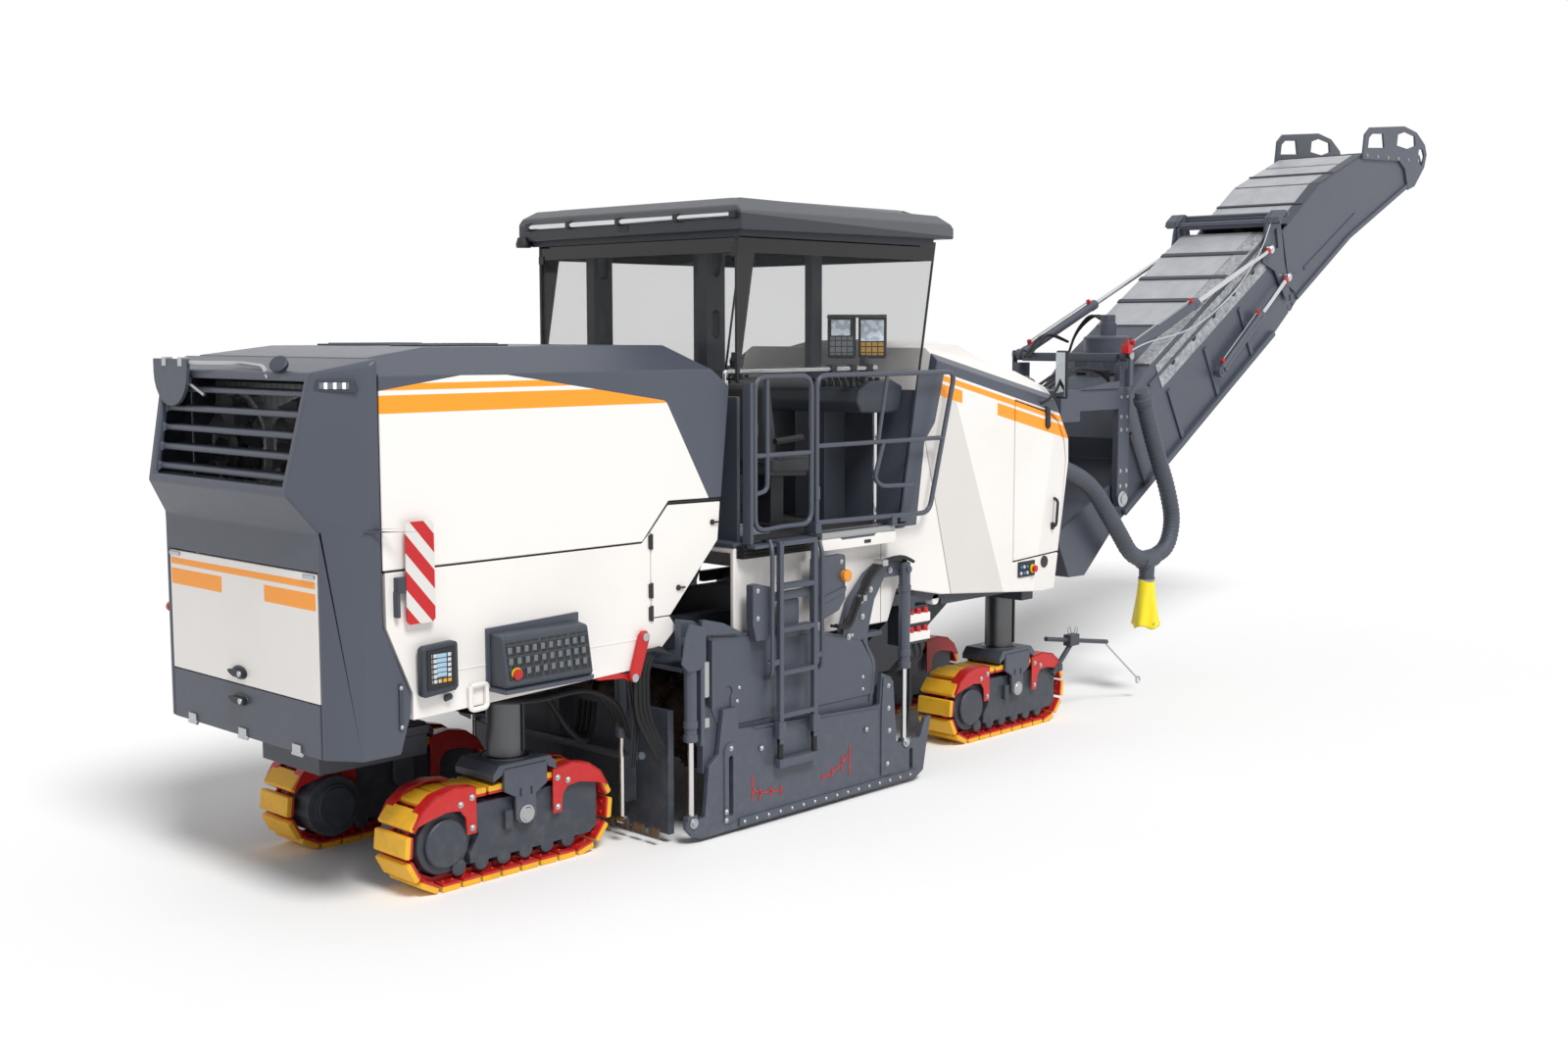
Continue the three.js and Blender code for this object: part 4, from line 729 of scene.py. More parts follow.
# ---- side panels and engine doors ----
# Below the hood each flank is closed by a white steel panel and, in front of it, a door on
# three black hinges. A thin black rubber seam shows between hood and panel.
white = enamel("white_enamel", WHITE, 0.36, slot="white_paint")
rubber = plastic("black_rubber", "141517", 0.7, slot="hose_rubber")
for side in ("right", "left"):
    shell(side + "_lower_panel", white, 0.005)
    shell(side + "_engine_door", white, 0.005)
seam = tube("right_belt_seal",
    upright(-1.066, (0.3, 2.047), (2.247, 2.047), (2.478, 2.285), (2.95, 2.279)), 0.009, 0.0, 8)
both(seam, rubber)
leaf = block("hinge_leaf", (2.295, -1.09, 2.0), (2.312, -1.082, 2.09), 0.002)
pin = rod("hinge_pin", (2.322, -1.082, 1.995), (2.322, -1.082, 2.095), 0.013, 12)
both(repeat("right_door_hinges", join("hinge", leaf, pin),
        [(0, 0, 0), (0, 0, -0.32), (0, 0, -0.47)]), black)
for name, x, z in (("right_door_latch", 2.872, 2.13), ("right_door_lock", 2.56, 1.72)):
    both(join(name, turned("rose", (x, -1.08, z), (x, -1.1, z),
                [(0, 0.02), (0.008, 0.018), (0.012, 0.012)], 16),
            block("bar", (x - 0.02, -1.1, z - 0.006), (x + 0.05, -1.088, z + 0.006), 0.002)),
        black, "right_engine_door")
fold = block("right_panel_lip", (0.5, -1.0835, 1.415), (2.24, -1.0795, 1.425), 0.0015)
both(fold, white)

# Warning board: an aluminium plate with rounded corners and slanting red and white bars.
board_shape = [(0.43, 1.735), (0.585, 1.735), (0.605, 1.755), (0.605, 2.304), (0.585, 2.324),
    (0.43, 2.324), (0.411, 2.304), (0.411, 1.755)]
board = cut("right_warning_board", board_shape, -1.128, -1.12, 0.0)
bars = Finish("red_and_white_bars", slot="white_paint")
x, y, z = bars.split(bars.place())
stripe = ((x - REAR) * 1.15 + z).remainder(0.21) > 0.1
peel = bars.noise(bars.place(), 300.0)
bars.set(Base_Color=bars.mix(stripe, "dcdad6", "c2161b"), Roughness=peel * 0.1 + 0.3,
    Normal=bars.bump(peel, 0.0003, 0.3))
both(board, bars)
both(join("right_board_bracket", block("a", (0.355, -1.125, 1.92), (0.42, -1.08, 2.01), 0.004),
        block("b", (0.35, -1.12, 1.78), (0.375, -1.08, 1.93), 0.004)), dark)

# ---- ground-level controls ----
# A console for the crew on the ground stands on a white shelf under the right-hand panel: a dark
# moulded box whose sloping face holds switches, a red stop knob and labels' blank windows.
key_face = Finish("switch_panel")
x, y, z = key_face.split(key_face.place())
grid = (x - REAR).remainder(0.058).step(0.006, 0.009) * z.remainder(0.07).step(0.008, 0.012)
speck = key_face.noise(key_face.place(), 500.0)
key_face.set(Base_Color=key_face.mix(grid, "3a3d42", "1a1c1f"), Roughness=speck * 0.2 + 0.4,
    Normal=key_face.bump(grid, 0.002, 0.5))
tray = cut("console_tray",
    [(0.985, -1.2795), (1.03, -1.2795), (1.65, -1.2795), (1.696, -1.24), (1.696, -1.08),
        (0.985, -1.08)], 1.262, 1.286, 0.006, plane="xy")
back = cut("console_back", [(0.985, 1.262), (1.696, 1.262), (1.696, 1.66), (0.985, 1.64)], -1.096,
    -1.081, 0.004)
fit(join("console_shelf", tray, back), grey, "chassis", "control_console")
fit(cut("console_case",
        [(-1.096, 1.288), (-1.25, 1.288), (-1.262, 1.31), (-1.215, 1.585), (-1.2, 1.6),
            (-1.096, 1.612)], 1.01, 1.672, 0.012, 3, plane="yz"),
    plastic("console_case", "3b424b", 0.5))
lean = Matrix.Rotation(math.radians(-9.7), 4, "X")


def on_face(x, z):
    """A place on the console's sloping face."""
    return (x, -1.262 + (z - 1.31) * 0.171, z)


plates, keys, reds = [], [], []
for x0, x1 in ((1.03, 1.28), (1.30, 1.50), (1.52, 1.655)):
    a, b = on_face(x0, 1.335), on_face(x1, 1.565)
    plate = block("plate", (x0, -1.266, 1.335), (x1, -1.258, 1.565), 0.006)
    tip = Matrix.Translation(
        at(*on_face(x0, 1.335))) @ lean @ Matrix.Translation(-at(x0, -1.262, 1.335))
    plate.data.transform(tip)
    plates.append(plate)
for i in range(10):
    for j in range(3):
        x, z = 1.05 + i * 0.062, 1.385 + j * 0.065
        if j == 0 and i < 2:
            continue
        key = block("key", (x - 0.015, 0.0, z - 0.019), (x + 0.015, 0.012, z + 0.019), 0.004)
        key.data.transform(Matrix.Translation((0, on_face(x, z)[1] - 0.014, 0)))
        keys.append(key)
stop = turned("stop_knob", on_face(1.085, 1.375), (1.085, -1.3, 1.37),
    [(0.002, 0.02), (0.016, 0.02), (0.018, 0.032), (0.028, 0.033), (0.034, 0.024)], 20)
collar = turned("stop_collar", on_face(1.085, 1.375), (1.085, -1.28, 1.373),
    [(0, 0.038), (0.006, 0.038), (0.008, 0.03)], 20)
stop.data.transform(Matrix.Translation((0, 0.006, 0)))
yellow = enamel("signal_yellow", "e8c512", 0.4, slot="console_plastic")
fit(join("console_plates", *plates), key_face)
fit(join("console_keys", *keys), plastic("grey_keys", "6a6f76", 0.5))
fit(stop, red)
fit(collar, yellow)

# A display with rows of keys hangs behind it on an arm, beside a white ring handle.
bezel = cut("display_bezel",
    [(0.486, 1.31), (0.51, 1.3), (0.72, 1.318), (0.738, 1.34), (0.736, 1.6), (0.715, 1.612),
        (0.505, 1.6), (0.486, 1.58)], -1.16, -1.1, 0.012, 3)
arm = rod("display_arm", (0.70, -1.12, 1.28), (0.70, -1.03, 1.24), 0.02, 12)
screen = cut("display_face", [(0.515, 1.34), (0.71, 1.352), (0.71, 1.585), (0.515, 1.575)],
    -1.166, -1.155, 0.004)
icons = Finish("display_icons")
x, y, z = icons.split(icons.place())
cell = (x - REAR - 0.515).remainder(0.033).step(0.008, 0.01)
cell = cell * (z - 1.34).remainder(0.03).step(0.008, 0.01)
inner = (x - REAR).between(0.545, 0.68) * z.between(1.38, 1.55)
middle = (x - REAR).between(0.582, 0.648) * z.between(1.41, 1.55)
ruled = (z - 1.41).remainder(0.028).step(0.004, 0.006)
key = icons.mix((z < 1.405) * (x - REAR > 0.6), "c9ced2", "d8a516")
face = icons.mix(cell * inner * (1 - middle), "131416", key)
face = icons.mix(middle * ruled, face, "9fc0d6")
icons.set(Base_Color=face, Roughness=cell * 0.1 + 0.2, Normal=icons.bump(cell, 0.001, 0.3))
fit(join("display_box", bezel, arm), plastic("display_case", "2f3740", 0.5))
fit(screen, icons)
fit(tube("ring_handle",
        upright(-1.1, (0.86, 1.31), (0.98, 1.315), (0.98, 1.17), (0.86, 1.165), (0.86, 1.31)),
        0.017, 0.03, 10), white)

# Red crank with a round boss: it disconnects the drum drive through a rod to a red fork.
crank_outline = [(2.19, 1.45), (2.215, 1.475), (2.25, 1.475), (2.275, 1.44), (2.262, 1.39),
    (2.19, 1.18), (2.165, 1.155), (2.125, 1.15), (2.105, 1.175), (2.11, 1.205)]
crank = cut("red_crank", crank_outline, -1.12, -1.086, 0.01, 3)
fork = cut("red_fork",
    [(1.86, 1.195), (2.1, 1.175), (2.13, 1.15), (2.13, 1.2), (1.95, 1.24), (1.86, 1.235)], -1.075,
    -1.045, 0.008)
fit(join("red_crank", crank, fork), red, slot="grey_paint")
fit(repeat("crank_bosses", turned("boss", (2.235, -1.12, 1.435), (2.235, -1.14, 1.435),
            [(0, 0.028), (0.006, 0.028), (0.01, 0.02)], 20), [(0, 0, 0), (-0.095, 0, -0.255)]),
    zinc)
fit(join("crank_cables",
        *[tube("cable", [(2.13 + i * 0.02, -1.06, 1.16), (2.15 + i * 0.03, -1.05, 1.02),
                    (2.2 + i * 0.03, -1.02, 0.86), (2.21 + i * 0.02, -0.98, 0.55)], 0.008, 0.1, 8)
            for i in range(3)]), rubber)

# ---- chassis frame ----
# Welded box rails and cross members in dark enamel. Four round sleeves guide the lifting
# columns, and boxes for batteries and tools hang between the rear tracks on two straps.
shell("chassis_frame", dark, 0.006)
lids = []
for i in range(4):
    for y in (-0.17, 0.17):
        x = 0.31 + i * 0.195
        lid = block("lid", (x, y - 0.155, 0.928), (x + 0.18, y + 0.155, 0.948), 0.008)
        hoop = upright(y, (0.03, 0.945), (0.03, 0.975), (0.15, 0.975), (0.15, 0.945))
        grab = tube("grab", [(x + dx, y, z) for dx, y, z in hoop], 0.008, 0.02, 8)
        lids += [lid, grab]
fit(join("battery_lids", *lids), black)
lines = []
for i, y in enumerate((-0.93, -0.88, -0.83)):
    route = [(1.0, y, 1.17), (1.45 + i * 0.05, y, 1.1), (1.9, y, 1.12), (2.15, y, 1.0),
        (2.3, y + 0.05, 0.72)]
    lines.append(tube("line", route, 0.016, 0.15, 8))
both(join("right_frame_hoses", *lines), rubber)
both(join("frame_brackets", block("a", (5.4, -1.03, 1.28), (6.9, -0.97, 1.36), 0.006),
        block("b", (6.52, -0.99, 1.18), (6.68, -0.6, 1.3), 0.01),
        block("c", (4.75, -1.03, 1.33), (5.42, -0.97, 1.42), 0.006)), dark)

# ---- crawler tracks ----
# Each corner stands on a steel chain of red plates with yellow polyurethane pads, laid round a
# closed side frame with rollers, a drive wheel and red guards. A plate and two cheeks straddle
# it under the ground steel column that raises and steers it.
PADS = 24
COLUMNS = {"rear_right": (1.437, -0.669), "rear_left": (1.437, 0.669),
    "front_right": (6.76, -0.581), "front_left": (6.76, 0.581)}
END, MID = 0.299, 0.5095  # radius of the loop's ends, and half the way between them
BEHIND = 0.073  # from a column back to the loop's middle
BEND = END - 0.045  # radius of the plates' path round an end


def round_loop(distance):
    """The place and the turn of a plate at a distance along the chain, round both ends."""
    straight, bend = 2 * MID, math.pi * BEND
    distance %= 2 * (straight + bend)
    radius = BEND
    if distance < straight:
        return Vector((-MID + distance, 0, END - radius)), 0.0
    if distance < straight + bend:
        turn = (distance - straight) / radius
        return Vector((MID + radius * math.sin(turn), 0, END - radius * math.cos(turn))), turn
    if distance < 2 * straight + bend:
        return Vector((MID - (distance - straight - bend), 0, END + radius)), math.pi
    turn = math.pi + (distance - 2 * straight - bend) / radius
    return Vector((-MID + radius * math.sin(turn), 0, END - radius * math.cos(turn))), turn


pad_yellow = Finish("polyurethane_pad", slot="pad_polyurethane")
place = pad_yellow.place()
scuff = pad_yellow.noise(place, 9.0, 5.0, 0.65)
fine = pad_yellow.noise(place, 120.0, 3.0)
pad_yellow.set(Base_Color=pad_yellow.mix(scuff.step(0.5, 0.75) * 0.35, "efb428", "a5801f"),
    Roughness=fine * 0.2 + 0.45, Normal=pad_yellow.bump(fine, 0.001, 0.5))
pad = cut("pad",
    [(-0.062, -0.045), (0.058, -0.045), (0.066, -0.036), (0.066, -0.008), (-0.069, -0.008),
        (-0.069, -0.036)], -0.17, 0.17, 0.006)
plate = block("plate", (-0.066, -0.168, -0.008), (0.064, 0.168, 0.008), 0.002)
link = [block("link", (-0.072, y - 0.016, 0.006), (0.072, y + 0.016, 0.04), 0.006)
    for y in (-0.06, 0.06)]
heads = [bolt("head", (x, y, 0.006), (x, y, 0.03), 0.011) for x in (-0.035, 0.035)
    for y in (-0.12, 0.12)]
pitch = 2 * (2 * MID + math.pi * BEND) / PADS
steps = [round_loop(i * pitch + 0.03) for i in range(PADS)]
for part in [pad, plate, *link, *heads]:
    part.data.transform(Matrix.Translation(-at(0, 0, 0)))
metal = join("plates", plate, *link, *heads)


def chain(name, part, x, y):
    """One part of every shoe of a chain, set round the loop of the track at x and y."""
    copy = part.copy()
    copy.data = part.data.copy()
    bpy.context.scene.collection.objects.link(copy)
    moves = [Matrix.Translation(at(x - BEHIND, y, 0) + spot) @ Matrix.Rotation(-turn, 4, "Y")
        for spot, turn in steps]
    return repeat(name, copy, moves)


def slot_ring(reach, radius, x, steps=10):
    """A slot outline with round ends about the loop's middle."""
    points = []
    for end in (1, -1):
        for i in range(steps + 1):
            a = -math.pi / 2 + math.pi * i / steps + (math.pi if end < 0 else 0)
            points.append(
                (x - BEHIND + end * reach + radius * math.cos(a), END + radius * math.sin(a)))
    return points


column_steel = bare("ground_column_steel", "66686b", 0.42, (1, 1, 0.05), 0.4)
for name, (x, y) in COLUMNS.items():
    side = -1 if y < 0 else 1
    body = name + "_track"
    fit(chain(name + "_pads", pad, x, y), pad_yellow, body, name + "_track_loop")
    fit(chain(name + "_plates", metal, x, y), red, body, slot="pad_polyurethane")
    face = y + side * 0.128
    out = y + side * 0.176
    low, high = min(face, out), max(face, out)
    frame_plate = cut("side",
        [(x - 0.4, 0.13), (x + 0.56, 0.13), (x + 0.62, 0.17), (x + 0.62, 0.46), (x + 0.57, 0.5),
            (x - 0.35, 0.5), (x - 0.38, 0.46), (x - 0.33, 0.3), (x - 0.4, 0.2)], y - 0.15,
        y + 0.15, 0.008)
    beam = cut("beam", slot_ring(MID - 0.02, 0.19, x), y - 0.09, y + 0.09, 0.006)
    wheel = turned("wheel", (x - BEHIND - MID, y - side * 0.13, END),
        (x - BEHIND - MID, y + side * 0.2, END),
        [(0, 0.2), (0.25, 0.2), (0.262, 0.19), (0.264, 0.15), (0.292, 0.15), (0.3, 0.142)], 32)
    drive = turned("drive", (x - BEHIND - MID, y - side * 0.12, END),
        (x - BEHIND - MID, y - side * 0.3, END),
        [(0, 0.2), (0.135, 0.2), (0.138, 0.196), (0.14, 0.15), (0.155, 0.148), (0.158, 0.13),
            (0.172, 0.128)], 32)
    idler = turned("idler", (x - BEHIND + MID, y - 0.1, END), (x - BEHIND + MID, y + 0.1, END),
        [(0, 0.19), (0.03, 0.205), (0.17, 0.205), (0.2, 0.19)], 28)
    rollers = []
    for i in range(6):
        rx = x - 0.48 + i * 0.172
        rollers.append(turned("roller", (rx, y - 0.155, 0.125), (rx, y + 0.155, 0.125),
                [(0, 0.036), (0.01, 0.052), (0.3, 0.052), (0.31, 0.036)], 16))
    pocket = cut("pocket", [(x - 0.15, 0.3), (x - 0.09, 0.3), (x - 0.09, 0.42), (x - 0.15, 0.42)],
        low + side * 0.01, high - side * 0.012, 0.004)
    fit(join(name + "_frame", frame_plate, beam, wheel, drive, idler, pocket, *rollers), dark,
        body, name + "_track_frame")
    guards = []
    for end in (-1, 1):
        def g(dx, z):
            return (x - BEHIND + end * dx, z)
        edge = [g(0.3, 0.33), g(0.3, 0.62), g(0.45, 0.64), g(0.6, 0.61), g(0.7, 0.54),
            g(0.76, 0.44), g(0.66, 0.47), g(0.52, 0.5), g(0.42, 0.49), g(0.38, 0.44),
            g(0.37, 0.33)]
        guards.append(cut("skirt", edge, y + side * 0.178, y + side * 0.19, 0.003))
        brim = [g(0.3, 0.61), g(0.3, 0.622), g(0.45, 0.642), g(0.6, 0.612), g(0.7, 0.542),
            g(0.76, 0.442), g(0.752, 0.436), g(0.692, 0.534), g(0.595, 0.602), g(0.45, 0.631)]
        guards.append(cut("brim", brim, y + side * 0.1, y + side * 0.19, 0.002))
        if end > 0 or name.startswith("rear"):
            inner_brim = cut("brim", brim, y - side * 0.19, y - side * 0.1, 0.002)
            guards.append(inner_brim)
            guards.append(cut("skirt", edge, y - side * 0.19, y - side * 0.178, 0.003))
    fit(join(name + "_guards", *guards), red, body, slot="grey_paint")
    studs = [bolt("stud", (x - BEHIND + e * dx, y + side * 0.19, z),
            (x - BEHIND + e * dx, y + side * 0.3, z), 0.013) for e in (-1, 1) for dx,
        z in ((0.335, 0.37), (0.335, 0.56), (0.42, 0.53))]
    fit(join(name + "_studs", *studs), zinc, body)
    arch = cut("arch",
        [(y - 0.2, 0.4), (y - 0.2, 0.652), (y - 0.17, 0.718), (y + 0.17, 0.718), (y + 0.2, 0.652),
            (y + 0.2, 0.4), (y + 0.182, 0.4), (y + 0.182, 0.64), (y - 0.182, 0.64),
            (y - 0.182, 0.4)], x - 0.07, x + 0.07, 0.006, plane="yz")
    wings = []
    for s in (-1, 1):
        a, b = sorted((y + s * 0.178, y + s * 0.206))
        wings.append(
            cut("cheek", [(x - 0.17, 0.55), (x - 0.08, 0.5), (x - 0.08, 0.36), (x - 0.05, 0.325),
                    (x + 0.05, 0.325), (x + 0.08, 0.36), (x + 0.08, 0.5), (x + 0.17, 0.55),
                    (x + 0.17, 0.69), (x - 0.17, 0.69)], a, b, 0.006))
    crown = cut("crown", [(x - 0.25, 0.62), (x - 0.25, 0.665), (x - 0.2, 0.722), (x + 0.2, 0.722),
            (x + 0.25, 0.665), (x + 0.25, 0.62), (x + 0.18, 0.655), (x + 0.16, 0.69),
            (x - 0.16, 0.69), (x - 0.18, 0.655)], y - 0.2, y + 0.2, 0.006)
    fit(join(name + "_fork", arch, crown, *wings), grey, body, name + "_column_fork")
    tower = turned(name + "_column", (x, y, 0.715), (x, y, 1.4),
        [(0, 0.15), (0.012, 0.148), (0.02, 0.121), (0.68, 0.121)], 48)
    groove = block("groove", (x + 0.04, y + side * 0.113 - 0.012, 0.76),
        (x + 0.058, y + side * 0.113 + 0.012, 1.36), 0.002)
    fit(tower, column_steel, body)
    fit(groove, black, body).name = name + "_column_groove"
    pivot = turned(name + "_pin", (x, y + side * 0.2, 0.38), (x, y + side * 0.3, 0.38),
        [(0, 0.06), (0.012, 0.058), (0.014, 0.045), (0.022, 0.04)], 24)
    marks = [block("mark", (x + dx, y + side * 0.206 - 0.004, 0.5),
            (x + dx + 0.012, y + side * 0.206 + 0.004, 0.55), 0.001) for dx in (-0.05, 0.035)]
    fit(pivot, zinc, body)
    fit(join(name + "_fork_slots", *marks), black, body)
bpy.data.objects.remove(pad)
bpy.data.objects.remove(metal)

# A grey T bar on an arm ahead of the front right-hand track carries a thin rod with a ring, the
# sight that the driver steers along.
fit(join("sight_bar", block("arm", (7.36, -0.79, 0.44), (7.42, -0.75, 0.5), 0.004),
        tube("arm", [(7.3, -0.765, 0.42), (7.58, -0.765, 0.66)], 0.024, 0.0, 8),
        tube("bar", [(7.2, -0.76, 0.745), (8.15, -0.76, 0.6)], 0.022, 0.0, 8),
        block("clamp", (7.52, -0.8, 0.64), (7.66, -0.72, 0.74), 0.006)), dark,
    "front_right_track")
fit(join("sight_rod",
        tube("rod", upright(-0.76, (8.13, 0.62), (8.15, 0.57), (8.66, 0.2)), 0.008, 0.03, 8),
        tube("ring",
            upright(-0.76, (8.66, 0.2), (8.66, 0.145), (8.715, 0.145), (8.715, 0.2), (8.66, 0.2)),
            0.009, 0.026, 8),
        tube("pin", upright(-0.76, (7.55, 0.73), (7.53, 0.79), (7.57, 0.81), (7.59, 0.74)), 0.005,
            0.02, 6),
        tube("pin", upright(-0.76, (7.63, 0.73), (7.65, 0.8), (7.69, 0.78), (7.66, 0.72)), 0.005,
            0.02, 6)), zinc, "front_right_track", slot="chrome_rod")

# ---- drum, housing and side plates ----
# The milling drum turns in a welded steel housing between the tracks. Its side plates ride on
# the ground on skids, lifted by upright cylinders at both ends, and its picks are carbide.


def bolts(name, places, face, out, radius=0.014):
    """Bolt heads at x and z places on an upright face, pointing outwards."""
    made = [bolt("head", (x, face, z), (x, face + out, z), radius) for x, z in places]
    return join(name, *made)


def hole(piece, cutter):
    """Cuts one piece out of another."""
    modify(piece, "BOOLEAN", operation="DIFFERENCE", solver="EXACT", object=cutter)
    bpy.data.objects.remove(cutter)
    return piece


def slot_outline(x, low, high, half):
    """An upright slot with round ends."""
    top = [(x + half * math.cos(math.radians(a)), high - half + half * math.sin(math.radians(a)))
        for a in range(0, 181, 30)]
    foot = [(x + half * math.cos(math.radians(a)), low + half + half * math.sin(math.radians(a)))
        for a in range(180, 361, 30)]
    return top + foot


steel = Finish("drum_steel", slot="drum_steel")
place = steel.place()
rust = steel.noise(place, 7.0, 6.0, 0.65)
fine = steel.noise(place, 90.0, 4.0, 0.7)
shade = steel.mix(rust.step(0.42, 0.62), "4a4641", "7a5c42")
steel.set(Base_Color=steel.mix(fine.step(0.55, 0.75) * 0.5, shade, "a39c92"), Metallic=0.6,
    Roughness=fine * 0.3 + 0.4, Normal=steel.bump(fine, 0.002, 0.7))
tube_body = turned("drum_tube", (3.56, -0.98, 0.6), (3.56, 0.98, 0.6),
    [(0, 0.3), (0.0, 0.355), (0.02, 0.365), (1.94, 0.365), (1.96, 0.355), (1.96, 0.3)], 48)
holder = block("holder", (3.52, -0.03, 0.96), (3.6, 0.03, 1.005), 0.006)
pick = turned("pick", (3.555, 0, 0.995), (3.585, 0, 1.03),
    [(0, 0.016), (0.02, 0.014), (0.03, 0.008), (0.044, 0.003)], 8)
tool = join("tool", holder, pick)
moves = []
for i in range(144):
    along = -0.95 + 1.9 * i / 143
    angle = abs(along) * 5.2 * 57.3 + (i % 3) * 120
    moves.append(about(3.56, 0, 0.6, "Y", angle) @ Matrix.Translation((0, along, 0)))
fit(join("drum_with_picks", tube_body, repeat("tools", tool, moves)), steel, "drum",
    "milling_drum")

shell("drum_housing", grey, 0.005)
shell("rear_scraper", dark, 0.005)
keyhole = slot_outline(2.93, 0.80, 1.0, 0.026)
flange = cut("right_housing_flange",
    [(2.74, 0.95), (2.74, 1.375), (3.78, 1.267), (4.05, 1.215), (4.3, 1.15), (4.41, 1.0),
        (4.43, 0.93), (4.41, 0.74), (3.0, 0.74), (2.82, 0.78)], -1.169, -1.159, 0.0)
hole(flange, cut("slot", keyhole, -1.2, -1.1, 0.0))
hole(flange,
    turned("eye", (2.93, -1.2, 0.975), (2.93, -1.1, 0.975), [(0, 0.042), (0.1, 0.042)], 20))
soften(flange, 0.003)
both(flange, grey)
both(cut("right_flange_rim",
        [(4.31, 1.16), (4.33, 1.165), (4.445, 1.0), (4.455, 0.93), (4.44, 0.76), (4.41, 0.7),
            (4.385, 0.69), (4.41, 0.77), (4.425, 0.93), (4.415, 0.99)], -1.1712, -1.16, 0.001),
    grey)
spots = [(2.79, 1.29), (2.79, 1.17), (2.79, 1.05), (3.04, 0.99), (3.02, 0.9), (4.32, 0.88),
    (4.32, 0.79), (3.86, 1.2), (4.2, 1.205)]
both(bolts("right_housing_bolts", spots, -1.1575, -0.1), zinc)

# Each plate: skid, guide slot, depth marks and the bolted front arm.
plate_outline = [(2.5, 0.115), (2.56, 0.055), (2.637, 0.027), (4.892, 0.03), (4.975, 0.075),
    (5.02, 0.3), (5.062, 0.482), (4.995, 0.475), (4.935, 0.335), (4.64, 0.335), (4.62, 0.5),
    (4.594, 0.845), (4.48, 0.893), (4.46, 0.66), (4.4, 0.65), (3.12, 0.708), (2.99, 0.72),
    (2.974, 0.872), (2.845, 0.872), (2.8, 0.57), (2.71, 0.5), (2.672, 0.168), (2.5, 0.168)]
plate = cut("right_plate", plate_outline, -1.21, -1.172, 0.0)
for x, low, high in ((2.907, 0.13, 0.55), (4.83, 0.10, 0.27)):
    hole(plate, cut("slot", slot_outline(x, low, high, 0.02), -1.3, -1.1, 0.0))
soften(plate, 0.004)
skid = cut("skid",
    [(2.98, 0.048), (2.99, 0.042), (4.87, 0.044), (4.88, 0.052), (4.876, 0.1), (2.984, 0.098)],
    -1.226, -1.206, 0.004)
ledge = cut("ledge", [(3.13, 0.7), (3.13, 0.712), (4.44, 0.655), (4.44, 0.643)], -1.222, -1.205,
    0.003)
guide = cut("guide", slot_outline(2.907, 0.08, 0.64, 0.06), -1.221, -1.206, 0.0)
hole(guide, cut("slot", slot_outline(2.907, 0.13, 0.55, 0.02), -1.3, -1.1, 0.0))
soften(guide, 0.003)
arm = cut("arm",
    [(4.47, 0.12), (4.6, 0.12), (4.645, 0.33), (4.63, 0.5), (4.6, 0.82), (4.49, 0.86),
        (4.47, 0.6)], -1.222, -1.206, 0.003)
lug = cut("lug", [(2.51, 0.115), (2.6, 0.115), (2.6, 0.2), (2.51, 0.2)], -1.215, -1.165, 0.006)
toe = cut("toe", [(4.72, 0.3), (4.82, 0.3), (4.82, 0.36), (4.72, 0.36)], -1.22, -1.165, 0.006)
both(join("right_side_plate_body", plate, skid, ledge, guide, arm, lug, toe), grey,
    "right_side_plate", "right_side_plate")
spots = [(3.03 + i * 0.118, 0.07) for i in range(16)] + [(2.907, 0.6), (2.86, 0.17), (2.86, 0.11),
    (4.545, 0.79), (4.55, 0.62), (4.56, 0.45), (4.54, 0.2), (3.2, 0.55), (4.3, 0.5)]
both(bolts("right_plate_bolts", spots, -1.219, -0.1, 0.012), zinc, "right_side_plate")
lines = [((3.12, 0.19), (3.12, 0.37)), ((3.12, 0.28), (3.18, 0.235)),
    ((3.19, 0.185), (3.19, 0.275)), ((3.18, 0.235), (3.3, 0.225)), ((3.3, 0.2), (3.3, 0.26)),
    ((3.3, 0.225), (3.4, 0.215)), ((3.4, 0.18), (3.4, 0.25)), ((3.83, 0.2), (3.83, 0.255)),
    ((3.83, 0.225), (3.93, 0.235)), ((3.93, 0.205), (3.93, 0.29)), ((3.93, 0.24), (4.04, 0.29)),
    ((4.04, 0.23), (4.04, 0.35)), ((4.04, 0.3), (4.12, 0.345)), ((4.12, 0.19), (4.12, 0.41))]
marks = []
for (x0, z0), (x1, z1) in lines:
    long = math.hypot(x1 - x0, z1 - z0)
    across = Vector((-(z1 - z0), x1 - x0)) / long * 0.005
    marks.append(cut("mark", [(x0 - across.x, z0 - across.y), (x1 - across.x, z1 - across.y),
                (x1 + across.x, z1 + across.y), (x0 + across.x, z0 + across.y)], -1.2135, -1.209,
            0.0))
both(join("right_depth_marks", *marks), red, "right_side_plate", slot="grey_paint")
rods = []
for x, low, high in ((2.56, 0.15, 0.9), (4.76, 0.32, 1.1)):
    rods.append(rod("rod", (x, -1.19, low), (x, -1.19, high), 0.0205, 20))
both(join("right_plate_rods", *rods), chrome, "right_side_plate")
eyes = []
for x, z in ((2.56, 0.15), (4.76, 0.325)):
    eyes.append(turned("eye", (x, -1.225, z), (x, -1.16, z),
            [(0, 0.034), (0.005, 0.038), (0.06, 0.038), (0.065, 0.034)], 20))
    eyes.append(
        turned("pin", (x, -1.235, z), (x, -1.15, z), [(0, 0.016), (0.005, 0.02), (0.085, 0.02)],
            16))
both(join("right_rod_eyes", *eyes), zinc, "right_side_plate")

